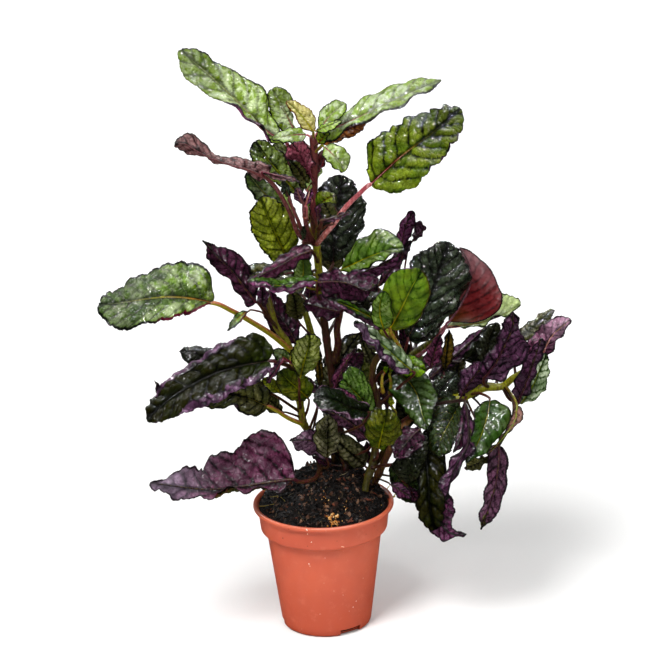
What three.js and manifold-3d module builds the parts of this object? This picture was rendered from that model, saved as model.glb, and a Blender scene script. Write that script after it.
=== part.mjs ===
import * as THREE from 'three';
import * as BufferGeometryUtils from 'three/addons/utils/BufferGeometryUtils.js';
import Module from 'manifold-3d';

// Potted purple waffle plant. Millimetres, +Z up, the front faces -Y.
// The origin is the centre of the pot's flat underside.

// ---- pot
const RIM_RADIUS = 45;          // outside of the lip, a 9 cm pot
const LIP_UNDER_RADIUS = 42.3;
const BAND_FOOT_RADIUS = 40.5;  // foot of the wide rim band
const BODY_TOP_RADIUS = 37.2;   // body just under the band
const BASE_RADIUS = 28.7;
const POT_HEIGHT = 83;
const BAND_HEIGHT = 18;
const LIP_HEIGHT = 2.6;
const WALL = 1.2;
const FLOOR = 1.6;
const POT_SIDES = 32;
const NOTCH_WIDTH = 15;         // drain notches cut into the corner of the base
const NOTCH_HEIGHT = 4.5;
const NOTCH_ANGLES = [-58, 62, 182];

// ---- soil
const SOIL_EDGE_HEIGHT = 80;
const SOIL_CROWN = 24;          // height of the mound above the soil's edge
const SOIL_CROWN_AT = [5, 8];   // the mound's top lies off the pot's axis
const SOIL_RADIUS = 41.3;
const SOIL_TOP_RADIUS = 43.2;

// ---- leaves and fit
const LEAF_THICKNESS = 0.9;
const PETIOLE_RADIUS = 1.15;
const GAP = 0.35;               // clearance kept between neighbouring pieces

const wasm = await Module();
wasm.setup();

function toManifold(geometry) {
  const g = new THREE.BufferGeometry();
  g.setAttribute('position', geometry.getAttribute('position').clone());
  if (geometry.index) g.setIndex(geometry.index.clone());
  const m = BufferGeometryUtils.mergeVertices(g, 1e-4);
  const mesh = new wasm.Mesh({
    numProp: 3,
    vertProperties: Float32Array.from(m.getAttribute('position').array),
    triVerts: Uint32Array.from(m.index.array),
  });
  return new wasm.Manifold(mesh);
}

function toGeometry(solid) {
  const mesh = solid.getMesh();
  const g = new THREE.BufferGeometry();
  g.setAttribute('position', new THREE.BufferAttribute(Float32Array.from(mesh.vertProperties), 3));
  g.setIndex(new THREE.BufferAttribute(Uint32Array.from(mesh.triVerts), 1));
  const flat = g.toNonIndexed();
  flat.computeVertexNormals();
  return flat;
}

function largest(solid) {
  const bodies = solid.decompose();
  let best = bodies[0];
  for (const b of bodies) if (b.volume() > best.volume()) best = b;
  return best;
}

function standard(color, roughness, metalness) {
  return new THREE.MeshStandardMaterial({ color, roughness, metalness });
}

function indexed(points, faces) {
  const g = new THREE.BufferGeometry();
  g.setAttribute('position', new THREE.BufferAttribute(Float32Array.from(points.flat()), 3));
  g.setIndex(faces.flat());
  return g;
}

function vec(p) {
  return new THREE.Vector3(p[0], p[1], p[2]);
}

// A round bar along a smooth line, its section tapering from the foot to the top.
function bar(line, foot, top, sides, steps) {
  const curve = new THREE.CatmullRomCurve3(line.map(vec), false, 'centripetal');
  const shape = new THREE.Shape();
  for (let i = 0; i < sides; i++) {
    const a = (2 * Math.PI * i) / sides;
    if (i === 0) shape.moveTo(Math.cos(a) * foot, Math.sin(a) * foot);
    else shape.lineTo(Math.cos(a) * foot, Math.sin(a) * foot);
  }
  shape.closePath();
  const g = new THREE.ExtrudeGeometry(shape, { steps, bevelEnabled: false, extrudePath: curve });
  if (top !== foot) {
    // taper: draw each ring in towards the line
    const pos = g.getAttribute('position');
    const rings = [];
    for (let i = 0; i <= steps; i++) rings.push(curve.getPointAt(i / steps));
    const p = new THREE.Vector3();
    for (let k = 0; k < pos.count; k++) {
      p.fromBufferAttribute(pos, k);
      let best = 0;
      let dist = Infinity;
      for (let i = 0; i <= steps; i++) {
        const d = Math.abs(p.distanceTo(rings[i]) - foot);
        if (d < dist - 1e-4) { dist = d; best = i; }
      }
      const s = 1 + (top / foot - 1) * (best / steps);
      p.sub(rings[best]).multiplyScalar(s).add(rings[best]);
      pos.setXYZ(k, p.x, p.y, p.z);
    }
  }
  return g;
}

// ---- pot: a thin shell with a wide rim band and a rolled lip
function potSolid() {
  const h = POT_HEIGHT;
  const pts = [
    [0, 0], [BASE_RADIUS - 1.2, 0], [BASE_RADIUS, 1.4],
    [BODY_TOP_RADIUS, h - BAND_HEIGHT], [BAND_FOOT_RADIUS, h - BAND_HEIGHT + 0.8],
    [LIP_UNDER_RADIUS, h - LIP_HEIGHT - 0.4], [RIM_RADIUS, h - LIP_HEIGHT],
    [RIM_RADIUS, h - 0.6], [RIM_RADIUS - 0.7, h],
    [LIP_UNDER_RADIUS - WALL + 2.9, h], [LIP_UNDER_RADIUS - WALL + 0.6, h - 1.6],
    [BAND_FOOT_RADIUS - WALL, h - BAND_HEIGHT + 1.6],
    [BODY_TOP_RADIUS - WALL, h - BAND_HEIGHT - 0.4],
    [BASE_RADIUS - WALL, FLOOR], [0, FLOOR],
  ];
  const shell = new THREE.LatheGeometry(pts.map((p) => new THREE.Vector2(p[0], p[1])), POT_SIDES);
  shell.rotateX(Math.PI / 2);
  let solid = toManifold(shell);
  if (solid.volume() < 0) throw new Error('pot is inside out');
  for (const deg of NOTCH_ANGLES) {
    const box = new THREE.BoxGeometry(8, NOTCH_WIDTH, NOTCH_HEIGHT * 2);
    box.translate(BASE_RADIUS + 0.9, 0, 0);
    box.rotateZ((deg * Math.PI) / 180);
    solid = solid.subtract(toManifold(box));
  }
  return solid;
}

function potInnerRadius(z) {
  const zb = POT_HEIGHT - BAND_HEIGHT - 0.4;
  if (z < zb) return BASE_RADIUS - WALL + ((BODY_TOP_RADIUS - BASE_RADIUS) * (z - FLOOR)) / (zb - FLOOR);
  return BAND_FOOT_RADIUS - WALL;
}

function soilTop(r) {
  const q = Math.max(0, 1 - (r / 44) ** 2);
  return SOIL_EDGE_HEIGHT + SOIL_CROWN * q ** 1.1;
}

function soilSolid() {
  const zb = POT_HEIGHT - BAND_HEIGHT;
  const c = 0.4;
  const edge = 40.2;
  const pts = [
    [0, FLOOR + c], [BASE_RADIUS - WALL - c - 0.6, FLOOR + c],
    [BODY_TOP_RADIUS - WALL - c - 0.3, zb - 0.8], [BAND_FOOT_RADIUS - WALL - c - 0.2, zb + 2.6],
    [edge, SOIL_EDGE_HEIGHT - 1.0], [34, soilTop(34) - 0.5], [24, soilTop(24)], [12, soilTop(12)], [0, soilTop(0)],
  ];
  const g = new THREE.LatheGeometry(pts.map((p) => new THREE.Vector2(p[0], p[1])), POT_SIDES);
  g.rotateX(Math.PI / 2);
  const pos = g.getAttribute('position');
  for (let i = 0; i < pos.count; i++) {
    const x = pos.getX(i);
    const y = pos.getY(i);
    if (pos.getZ(i) < SOIL_EDGE_HEIGHT) continue;
    const q = Math.max(0, 1 - (x * x + y * y) / SOIL_RADIUS ** 2);
    pos.setXYZ(i, x + SOIL_CROWN_AT[0] * q, y + SOIL_CROWN_AT[1] * q, pos.getZ(i));
  }
  return toManifold(g);
}

// ---- stems: each line starts inside the soil and ends at the growing tip
const STEMS = [
  { name: 'stem_main', color: '#6e3a2c', foot: 2.6, top: 1.3, line: [[16.3,1,92.6],[15,3,102.3],[12.4,7,121.6],[8.9,8,155.5],[5.8,8,182.6],[3.4,7,208.5],[1.4,6,226.9],[1.6,5,234.5],[1.2,4,242.7],[0.3,3,256.9],[-0.6,2,267.7],[0.2,1,297.1],[0.8,0,316],[0.5,0,325.5]] },
  { name: 'stem_left', color: '#6a5a2a', foot: 2.4, top: 1.0, line: [[0.9,7,93.7],[-1,6,103.5],[-4.8,4,123.4],[-10.8,1,135.7],[-13.4,1,154.8],[-16.7,3,171.8],[-17.5,4,183.5],[-19.8,4,190.3],[-26.4,3,201.6],[-29.2,4,212],[-32,6,222.7]] },
  { name: 'stem_back', color: '#8a8426', foot: 2.2, top: 1.6, line: [[8.8,14.1,93.1],[8,16,102.9],[6.3,20,123.5],[2.5,20,151.1],[-1.8,16,180],[-4.6,12,193.6],[-7.9,10,207.8]] },
  { name: 'stem_front', color: '#4a3a20', foot: 2.2, top: 1.4, line: [[24.5,-13.3,83.8],[26.6,-10.8,93.3],[28.1,-9,100.1],[31.5,-7,108.1],[33.8,-3,121.5],[36.9,-3,145.2],[35.8,-3,153.4],[33,-4,168.7],[35.7,-5,179.8],[42.1,-7,187],[47.7,-9,191.5]] },
  { name: 'stem_mid', color: '#4a3a20', foot: 2.2, top: 1.2, line: [[22.5,16.7,85.9],[28,15,94.1],[41.1,11,113.5],[47.8,8,133.7],[50.7,6,154.9],[52.1,2,171.2],[58.6,1,180.8],[66.2,1,185.9],[72.6,2,189.4]] },
  { name: 'stem_right', color: '#8a8426', foot: 2.3, top: 1.3, line: [[28.9,8,82.2],[33,7,91.3],[44.8,4,117.6],[51.3,2,130.5],[61.7,2,141.8],[75.7,1,147.8],[90.3,0,151.1],[104.1,-2,158.2],[115.6,-1,158.1],[121.3,-1,162.7],[127.6,-1,166.5]] },
];

function stemSolid(s, extra) {
  return toManifold(bar(s.line.map((p) => p.slice()), s.foot + extra, s.top + extra, 6, 9));
}

// ---- leaves: a midrib line and two margins, base to tip, and the line of the petiole
const LEAVES = [
  { name: 'leaf_89', color: '#5a3a55', fine: true, bow: 1.5, petiole: [[-1,6,103.5],[-5.5,-10,102.3],[-17.5,-22,107.1]],
    mid: [[-17.5,-22,107.1],[-23.7,-23.8,107.2],[-43.2,-28.9,107.2],[-67.9,-35.1,107.5],[-92.1,-40.6,113],[-108.2,-44,117.2]],
    left: [[-18.1,-22.8,106.2],[-23.8,-26.5,107.4],[-43.8,-35.8,106.9],[-68.9,-43,106.3],[-93.9,-46.2,108.3],[-108.4,-44.5,116.7]],
    right: [[-16.9,-21.2,108],[-18.7,-19.5,115.2],[-31.8,-18.7,139.1],[-60.9,-23.2,127.7],[-87.9,-32.3,121.8],[-108,-43.5,117.7]] },
  { name: 'leaf_87', color: '#28331a', fine: true, bow: 1.5, petiole: [[-16.5,2.9,170.4],[-19.6,-8,178.7],[-25,-21.7,186],[-31.6,-33,191.7]],
    mid: [[-31.6,-33,191.7],[-37.1,-35.4,191.9],[-54.9,-42.7,191.1],[-76.1,-50.2,185.4],[-95.3,-56.1,174.7],[-107,-59,165.3]],
    left: [[-31.5,-32.3,192.8],[-30.4,-32,199.6],[-48.5,-34.1,208.2],[-74.9,-40.3,196.2],[-98.5,-49.1,180.5],[-107.2,-58.5,165.8]],
    right: [[-31.7,-33.7,190.6],[-31.8,-39,188],[-46.7,-51.2,181],[-68.6,-60.2,173.6],[-91.7,-63,166.9],[-106.8,-59.5,164.8]] },
  { name: 'leaf_17', color: '#55661c', fine: true, bow: 1.5, petiole: [[0.5,3.1,255],[2.8,-2,259.1],[12.4,-6.9,272],[18.8,-9.8,281.8],[26.9,-12.7,290.8],[35,-15.7,298.5]],
    mid: [[35,-15.7,298.5],[38.5,-16.8,302.1],[49.9,-19.8,313.6],[65.4,-21.9,326],[80.6,-22.4,338],[90.2,-21.7,346.5]],
    left: [[35.6,-16.4,297.6],[39.9,-19.6,296.4],[57.5,-26.6,297.3],[74.9,-29.9,314.3],[89.3,-27.9,332.4],[90.6,-22.1,346.1]],
    right: [[34.4,-15,299.4],[34.6,-14,304.1],[34.2,-12.9,322.7],[53.6,-14,336],[75.3,-16.9,344.9],[89.8,-21.3,346.9]] },
  { name: 'leaf_22', color: '#6e8560', fine: true, bow: 1.5, petiole: [[-17.8,4,184.7],[-27.2,-2,196.1],[-42.2,-12,210.8],[-52.9,-20,220.6],[-64.7,-28,229]],
    mid: [[-64.7,-28,229],[-69.2,-30.2,231],[-83.6,-36.6,236.2],[-102.2,-43.1,238.2],[-120.7,-47.8,237.6],[-133.1,-50,237.6]],
    left: [[-64.1,-27.1,229.7],[-63.6,-26,235],[-72.6,-26.4,252.9],[-97.7,-31.1,253.6],[-120.7,-39.5,244.8],[-132.9,-49.5,238.1]],
    right: [[-65.3,-28.9,228.3],[-69.3,-34.4,228.8],[-85,-46.8,227.3],[-105.7,-55,225.4],[-126.4,-56,226.5],[-133.3,-50.5,237.1]] },
  { name: 'leaf_56', color: '#1c2a1a', fine: true, bow: 1.5, petiole: [[51.3,2.7,168.2],[53.4,-3.6,182.7],[56,-7,194.5]],
    mid: [[56,-7,194.5],[58.1,-6.3,198.4],[64.8,-4,210.6],[72.8,-1.1,226.2],[78.7,1.7,242.8],[81.8,3.7,254]],
    left: [[56.8,-6.6,193.6],[61.8,-3.6,190.4],[77.9,2.4,196.8],[91.8,6.4,216.6],[93.5,6.9,240.7],[82.4,3.9,253.7]],
    right: [[55.2,-7.4,195.4],[53.8,-7.5,199.6],[56.2,-7.1,216.1],[57.9,-4.7,236.7],[68.6,-0.8,251.9],[81.2,3.5,254.3]] },
  { name: 'leaf_back_04', color: '#5a6a3c', fine: true, bow: 1.5, petiole: [[-12.9,0.8,151.4],[-16.1,5.5,152],[-19.2,10.3,152.2],[-22.4,15.2,152.2]],
    mid: [[-22.4,15.2,152.2],[-24.8,19,151.9],[-32.5,30.6,149.3],[-41.6,44.4,142.2],[-49.2,56.1,130.8],[-53.2,62,121.2]],
    left: [[-21.3,15.9,151.9],[-18.4,23.1,151.9],[-17.8,40.2,149.3],[-26.4,54.4,142.2],[-40.2,61.9,130.8],[-52.6,62.3,121.1]],
    right: [[-23.5,14.5,152.5],[-30.8,15.4,155.1],[-46.9,23.6,156.5],[-57.5,38.7,148.8],[-59.2,53.5,133.9],[-53.8,61.7,121.3]] },
  { name: 'leaf_back_11', color: '#55661c', fine: true, bow: 1.5, petiole: [[59.7,0.9,181.8],[61.8,7.3,186.7],[63.9,13.8,191.1],[66.1,20.9,195.2]],
    mid: [[66.1,20.9,195.2],[67.4,24.9,197.1],[71.6,38,201.7],[77.1,55.3,203.8],[82.6,72.8,201.2],[86.1,83.6,196.8]],
    left: [[67.3,20.4,195.4],[73.8,21.8,199.5],[86.3,31.9,207.4],[92.8,50.5,209.9],[92.2,70.7,204.8],[86.8,83.4,196.9]],
    right: [[64.9,21.4,195],[60.2,26.9,197.7],[55.3,42.8,203.2],[60.4,60.7,205.3],[72.7,76.1,202.1],[85.4,83.8,196.7]] },
  { name: 'leaf_01', color: '#9bb487', fine: true, bow: 1.5, petiole: [[0.3,0.9,299.6],[-8.1,1.1,306.3],[-13.3,0.1,315.7],[-17.4,0.9,322.7]],
    mid: [[-17.4,0.9,322.7],[-22.5,0.7,325.4],[-35.9,0.4,337.8],[-51.4,1.1,355],[-67.7,3,370.8],[-78.1,4.9,381.6]],
    left: [[-16.9,1.9,323.4],[-20,4.2,327.7],[-26,8.9,346.3],[-42.9,11,362.9],[-65,9.8,376.2],[-77.7,5.4,381.9]],
    right: [[-17.9,-0.1,322],[-23.7,-2.5,323],[-37.8,-7.3,337.5],[-57.6,-7.8,352.9],[-76.5,-3.3,367.8],[-78.5,4.4,381.3]] },
  { name: 'leaf_back_02', color: '#55661c', fine: false, bow: 1.5, petiole: [[48.2,5,109.7],[45.2,13.6,111.8],[42.1,22.4,113.5],[39,31.4,114.7]],
    mid: [[39,31.4,114.7],[37.5,35.6,115.1],[32.9,48.6,115.2],[27.2,65,113.1],[21.6,81,108.5],[18.1,91.1,103.8]],
    left: [[40.2,31.8,114.6],[44.1,37.7,115.8],[47.9,53.9,117],[42.6,70.8,115],[30.7,84.6,109.5],[18.8,91.3,103.7]],
    right: [[37.8,31,114.8],[31.3,33.2,117.3],[18.7,43.8,120.3],[12.1,60.8,118.3],[12.5,78.9,111.3],[17.4,90.9,103.9]] },
  { name: 'leaf_back_08', color: '#5b8034', fine: false, bow: 1.5, petiole: [[5.1,20.5,129.8],[5.7,26.1,130.8],[6.4,31.7,131.6],[7.1,37.6,132.2]],
    mid: [[7.1,37.6,132.2],[7.6,41.7,132.3],[9.1,54.8,132],[10.9,71.1,129.2],[12.7,86.5,123.2],[13.9,96,117.4]],
    left: [[8.3,37.5,131.8],[14.1,40.9,131.6],[23.9,52.8,130.2],[26.4,68.7,127.3],[21.9,84.9,122.1],[14.5,95.8,117.2]],
    right: [[5.9,37.7,132.6],[1.9,42.2,135.9],[-3.6,56.9,140.2],[-1.9,74.9,137.2],[5.2,89.6,127.6],[13.3,96.2,117.6]] },
  { name: 'leaf_18', color: '#28331a', fine: false, bow: 1.5, petiole: [[1.6,4.9,235],[7.3,20,230.6],[10.7,30,233.7]],
    mid: [[10.7,30,233.7],[11,31,237.3],[12,33.6,248.8],[14.2,36.5,263.4],[16.6,38.8,278.1],[18,40,288]],
    left: [[12,30.2,233.5],[15.1,33.7,234.2],[26,40.5,242.6],[32.3,44.4,259.8],[27.3,44.3,278],[18.7,40.1,287.8]],
    right: [[9.4,29.8,233.9],[6.5,32.3,235.5],[-0.6,37.1,246.2],[-0.6,40.4,265.4],[6.7,41.5,282.7],[17.3,39.9,288.2]] },
  { name: 'leaf_09', color: '#9bb487', fine: false, bow: 1.5, petiole: [[0.8,-0,316.1],[2.8,2.9,321.4],[6,5.3,325.1]],
    mid: [[6,5.3,325.1],[11,5.3,327.2],[27,5.9,333.7],[46.9,7.7,342.4],[67,10.6,350.1],[80.6,13.3,354.9]],
    left: [[6,4.4,324.2],[8.2,2.2,321.9],[25.1,-1.9,330.8],[46.3,-1.2,340.4],[67.8,4.4,348.1],[80.7,12.7,354.6]],
    right: [[6,6.2,326],[8.3,9.9,329.2],[23,17,338],[43.4,20.6,348],[65.7,19.6,354.1],[80.5,13.9,355.2]] },
  { name: 'leaf_57', color: '#5d1a20', fine: false, bow: 1.5, petiole: [[52.8,1.7,172.8],[62.1,-4.6,180.8],[70.5,-1.3,187.3],[78.4,3.1,194.1],[82.4,5.7,200.4]],
    mid: [[82.4,5.7,200.4],[84.5,7.4,202.7],[91.1,12.6,210.4],[96.8,18.8,221.8],[95.1,24.4,234.5],[90.4,27.7,241.9]],
    left: [[81.5,5.3,201.2],[82.1,6.7,203.5],[83.2,11,212.8],[89.1,16.9,223.3],[92,23,234.4],[89.8,27.4,241.9]],
    right: [[83.3,6.1,199.6],[88.3,9.5,198],[106.9,17.8,196.3],[116.1,24.8,214.2],[103.9,28.5,233.9],[91,28,241.9]] },
  { name: 'leaf_back_10', color: '#3b4a33', fine: false, bow: 1.5, petiole: [[2.4,20,151.7],[4.5,25.7,152.8],[6.7,31.5,153.6],[8.9,37.5,154]],
    mid: [[8.9,37.5,154],[10.2,41.1,154],[14.4,52.6,153.1],[19.6,66.8,149.2],[24.4,79.8,142.2],[27.2,87.5,135.7]],
    left: [[10.1,37.1,153.8],[15.8,39.1,154.4],[27.1,48.1,154],[32.8,62.2,150],[32.3,77.2,142.5],[27.8,87.2,135.6]],
    right: [[7.7,37.9,154.2],[5,43.1,156.2],[2.8,57.7,158.1],[8,73,154.1],[17.7,84.1,144.7],[26.6,87.8,135.8]] },
  { name: 'leaf_53', color: '#4d7d1c', fine: false, bow: 1.5, petiole: [[52.8,1.7,172.8],[50.7,-11.4,189.6],[46.9,-18.3,198.9],[44.4,-25.1,208]],
    mid: [[44.4,-25.1,208],[45.8,-26.7,211],[50.2,-31.1,220.4],[55,-35.7,232.3],[60.1,-39.1,243.5],[63.6,-40.8,250.6]],
    left: [[45.4,-24.6,207.3],[48,-24.9,206.9],[58.5,-26.8,209.9],[66.8,-30.8,223.8],[68.7,-35.7,240.3],[64.1,-40.6,250.2]],
    right: [[43.4,-25.6,208.7],[41.2,-28.3,211.8],[37,-35.3,226.1],[41.8,-40.6,243.3],[53.7,-42.5,253.2],[63.1,-41,251]] },
  { name: 'leaf_74', color: '#3c2440', fine: false, bow: 1.5, petiole: [[106.6,-1.9,158.3],[103,-10.7,163.6],[102.5,-19.4,171]],
    mid: [[102.5,-19.4,171],[104.4,-21.5,174.3],[109.9,-27.1,184.8],[115.3,-32.2,198.4],[119.8,-34.9,211.5],[119.8,-35.4,220.4]],
    left: [[101.5,-19.5,171.8],[100.8,-19.4,174],[102.6,-22,185],[109.2,-26.2,198.4],[114.3,-30.7,212.2],[119.2,-35.5,220.7]],
    right: [[103.5,-19.3,170.2],[106.8,-18.7,169.5],[119,-20.3,174.1],[131.2,-24.2,188.8],[124.5,-29.4,207],[120.4,-35.3,220.1]] },
  { name: 'leaf_back_05', color: '#28331a', fine: false, bow: 1.5, petiole: [[4.7,7.6,194.6],[-0.1,15,201.5],[-5.3,23,207.3],[-11.1,31.9,211.8]],
    mid: [[-11.1,31.9,211.8],[-13,35,212.9],[-19.6,45,214.9],[-27.9,57.8,213.8],[-35.6,69.9,208.7],[-40.3,77,203]],
    left: [[-10.1,32.6,211.6],[-8.3,38,213],[-8.8,51.9,215.2],[-16.8,65,214.2],[-29.1,74.2,208.8],[-39.7,77.3,202.9]],
    right: [[-12.1,31.2,212],[-17.1,31.7,215.1],[-29.2,38.4,220],[-38.5,52.1,219],[-42.5,67.2,211.4],[-40.9,76.7,203.1]] },
  { name: 'leaf_back_09', color: '#28331a', fine: false, bow: 1.5, petiole: [[110.7,-1.5,157.8],[111.8,2.7,159.5],[112.9,7,161.2],[114.1,11.4,162.7]],
    mid: [[114.1,11.4,162.7],[115,14.7,163.7],[117.7,25.5,166.1],[121.3,39.4,167.2],[125,53.2,165.8],[127.3,62.3,163.4]],
    left: [[115.3,11,162.9],[119.9,12.8,165.8],[129.3,21.7,170.9],[133.5,36.2,172.3],[132.4,52,168.8],[128,62.1,163.5]],
    right: [[112.9,11.8,162.5],[109.3,16.1,164],[105.1,28.6,166.8],[108.3,42.8,168],[117.2,55.4,166.3],[126.6,62.5,163.3]] },
  { name: 'leaf_back_13', color: '#28331a', fine: false, bow: 1.5, petiole: [[-0.3,1.3,285.8],[-2.6,6.2,287.8],[-5,11.2,289.5],[-7.4,16.4,291.1]],
    mid: [[-7.4,16.4,291.1],[-8.9,19.5,291.8],[-13.7,29.7,293.2],[-19.7,42.6,292.6],[-25.6,55.2,289.1],[-29.3,63,285.3]],
    left: [[-6.3,17,290.9],[-4,21.8,292.1],[-2.5,34.9,293.8],[-8.2,48.1,293.2],[-18.8,58.6,289.6],[-28.7,63.3,285.2]],
    right: [[-8.5,15.8,291.3],[-13.3,17.1,293.8],[-23.9,24.6,297.8],[-30.7,38.2,297.3],[-32.4,53.1,291.8],[-29.9,62.7,285.4]] },
  { name: 'leaf_26', color: '#4d7d1c', fine: false, bow: 1.5, petiole: [[1.6,5.1,233.5],[-7.1,2.2,237],[-16.9,0.5,244.5]],
    mid: [[-16.9,0.5,244.5],[-18.1,-0.6,247.7],[-22,-4,257.8],[-26.3,-8.3,270.8],[-30.5,-12.6,283.7],[-33.1,-15.5,292.3]],
    left: [[-15.8,1,245.1],[-14.7,0.8,247.6],[-11.1,-0.6,259.7],[-14,-4.4,276],[-23.6,-9.9,289.2],[-32.5,-15.3,292.5]],
    right: [[-18,0,243.9],[-20.6,-2,244.2],[-30.4,-7.5,252.2],[-38.1,-12.3,267.4],[-39.2,-15.4,284],[-33.7,-15.7,292.1]] },
  { name: 'leaf_back_07', color: '#28331a', fine: false, bow: 1.5, petiole: [[5,7.8,190.6],[8,13.1,194.8],[11.1,18.7,198.5],[14.5,24.8,201.7]],
    mid: [[14.5,24.8,201.7],[16.1,27.7,202.9],[21.4,37.1,205.5],[28.1,49.4,205.7],[34.8,61.3,202.2],[38.8,68.5,197.9]],
    left: [[15.6,24.3,201.4],[20.6,25.2,202.8],[31.6,31.4,205.3],[38.7,43.5,205.5],[41.1,57.7,202.1],[39.4,68.1,197.7]],
    right: [[13.4,25.3,202],[11.8,29.4,205],[11.8,41.6,210.5],[18.9,55.2,211],[29.7,65.4,205.2],[38.2,68.9,198.1]] },
  { name: 'leaf_84', color: '#5b4058', fine: false, bow: 1.5, petiole: [[116.6,-1,158.7],[121.6,-12.8,150.3],[116.9,-25.2,137.9],[110.8,-30.2,129.2]],
    mid: [[110.8,-30.2,129.2],[110.6,-31.8,126],[109.5,-36.5,115.6],[106.3,-40.8,102],[101.6,-43.4,88.1],[98.2,-44.2,78.5]],
    left: [[112.1,-30.2,129],[114.4,-28.7,126.1],[116.6,-28.8,112.8],[114.2,-31.9,96.6],[106.4,-37.2,83.6],[98.9,-44.2,78.3]],
    right: [[109.5,-30.2,129.4],[107.3,-28.7,127.1],[104,-28.8,115.3],[101,-31.9,100.4],[97.4,-37.2,86.4],[97.5,-44.2,78.7]] },
  { name: 'leaf_back_06', color: '#55661c', fine: false, bow: 1.5, petiole: [[50.8,5.7,156.6],[52.1,11.7,158.9],[53.4,17.9,160.6],[54.8,24.4,161.7]],
    mid: [[54.8,24.4,161.7],[55.5,27.7,161.9],[57.7,38.1,161.2],[60.3,50.6,156.6],[62.4,61,148.2],[63.5,65.9,140.7]],
    left: [[56.1,24.1,161.6],[60.5,26.6,162.5],[69.2,36,162.4],[72.4,48.7,157.8],[69.7,60,148.7],[64.2,65.7,140.7]],
    right: [[53.5,24.7,161.8],[50.6,28.6,163.7],[46.9,41.1,165],[49.4,54.9,160.2],[56.1,64.1,149.7],[62.8,66.1,140.7]] },
  { name: 'leaf_64', color: '#4d7d1c', fine: false, bow: 1.5, petiole: [[35.2,-3.1,156.2],[41.8,1.3,162.4],[51.4,3,165.5]],
    mid: [[51.4,3,165.5],[53.6,0.4,164.8],[59,-6.9,160.9],[62.5,-14.7,153],[65,-20.7,144.2],[67.5,-23.7,138.2]],
    left: [[50.2,3.1,165],[48,0.9,165.3],[42.7,-6,160],[51,-13.6,150.7],[59.6,-19.9,141.6],[66.9,-23.6,137.8]],
    right: [[52.6,2.9,166],[54.6,0.1,168.4],[65.7,-7.8,171],[73.7,-15.7,160.8],[69.9,-21.4,147.7],[68.1,-23.8,138.6]] },
  { name: 'leaf_72', color: '#28331a', fine: false, bow: 1.5, petiole: [[46.4,8.7,128.3],[58.8,-6.1,140.3],[67.5,-7.6,132.5]],
    mid: [[67.5,-7.6,132.5],[66.9,-10.8,129.2],[65.5,-19.3,118.1],[66.3,-26.5,102.6],[67.6,-29.6,85.4],[70,-29.4,73]],
    left: [[66.2,-7.7,132.5],[63.2,-11.2,130.8],[58.9,-20.3,119.6],[59.7,-27.6,101.6],[60.4,-30.4,81.9],[69.3,-29.5,72.9]],
    right: [[68.8,-7.5,132.5],[71.3,-10.4,130.5],[77,-18.4,120.1],[76.9,-25.4,102.7],[76.3,-28.8,84],[70.7,-29.3,73.1]] },
  { name: 'leaf_05', color: '#6b5353', fine: false, bow: -1.0, petiole: [[0.5,3.1,255],[-9.4,-8,264],[-15.1,-14,281],[-20.7,-20,295.2],[-25.9,-25,304.5],[-31.1,-30,310]],
    mid: [[-31.1,-30,310],[-34.4,-31.5,312.5],[-45.6,-35.8,318.3],[-60,-40.9,324.9],[-73.1,-45.3,334.2],[-82.5,-48,337]],
    left: [[-32.1,-30,309.1],[-32.4,-28.6,307.5],[-44.1,-29,314.2],[-59.4,-32.9,321],[-74.8,-39.8,327.6],[-82.6,-48,336.3]],
    right: [[-30.1,-30,310.9],[-26.2,-28.6,313.2],[-37,-29,320.1],[-57.3,-32.9,325.9],[-71.9,-39.8,341.2],[-82.4,-48,337.7]] },
  { name: 'leaf_back_03', color: '#28331a', fine: false, bow: 1.5, petiole: [[50.9,4.7,160.7],[48.8,10.4,164.7],[46.5,16.4,168.3],[44.1,22.9,171.2]],
    mid: [[44.1,22.9,171.2],[43,25.9,172.2],[39.4,35.8,174.3],[34.6,48.5,173.7],[30.2,60.5,169.3],[27.6,67.7,164.4]],
    left: [[45.3,23.3,171.4],[47.5,27,174.1],[49.3,39,178.6],[44.5,53,178.2],[35.8,64,171.7],[28.2,68,164.5]],
    right: [[42.9,22.5,171],[38.3,24.1,172.4],[28.8,31.8,174.8],[23.7,44.6,174.2],[23.6,58.3,169.6],[27,67.4,164.3]] },
  { name: 'leaf_back_01', color: '#28331a', fine: false, bow: 1.5, petiole: [[60.3,8.2,122.4],[62.1,13.3,123.8],[63.9,18.6,124.8],[65.9,24,125.2]],
    mid: [[65.9,24,125.2],[66.9,26.9,125.2],[70.2,36.1,123.8],[74,46.9,119.2],[77.2,55.8,111.1],[78.7,60.1,104.3]],
    left: [[67.1,23.6,125.2],[71.8,25.2,126.4],[81.3,32.8,126.5],[85.8,44.2,121.5],[84.4,54.6,112.2],[79.4,59.9,104.3]],
    right: [[64.7,24.4,125.2],[62.1,28.7,126.3],[59.3,40.5,126.3],[63,52.2,121.4],[70.8,59.3,112.2],[78,60.3,104.3]] },
  { name: 'leaf_31', color: '#5b8034', fine: false, bow: 1.5, petiole: [[1.4,6.2,224.8],[7,-4,232.1],[15.3,-10,241.8]],
    mid: [[15.3,-10,241.8],[17.8,-12.3,243.6],[25.9,-18.9,249.3],[36,-24.9,255.9],[46.6,-28.8,259.9],[53.9,-30,261.4]],
    left: [[15.6,-11.1,241.2],[17.8,-15.1,242.1],[26.7,-25.7,245.7],[37.2,-32.9,252.8],[47.9,-34.3,257.9],[53.9,-30.6,261]],
    right: [[15,-8.9,242.4],[16.2,-8.8,245.2],[23.1,-10.3,256.1],[34.6,-15,268],[48.5,-21.9,267.5],[53.9,-29.4,261.8]] },
  { name: 'leaf_82', color: '#5a6a3c', fine: false, bow: 1.5, petiole: [[94.3,-0.6,153.1],[101.7,-11.4,157.2],[106.1,-20.3,155.8]],
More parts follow.
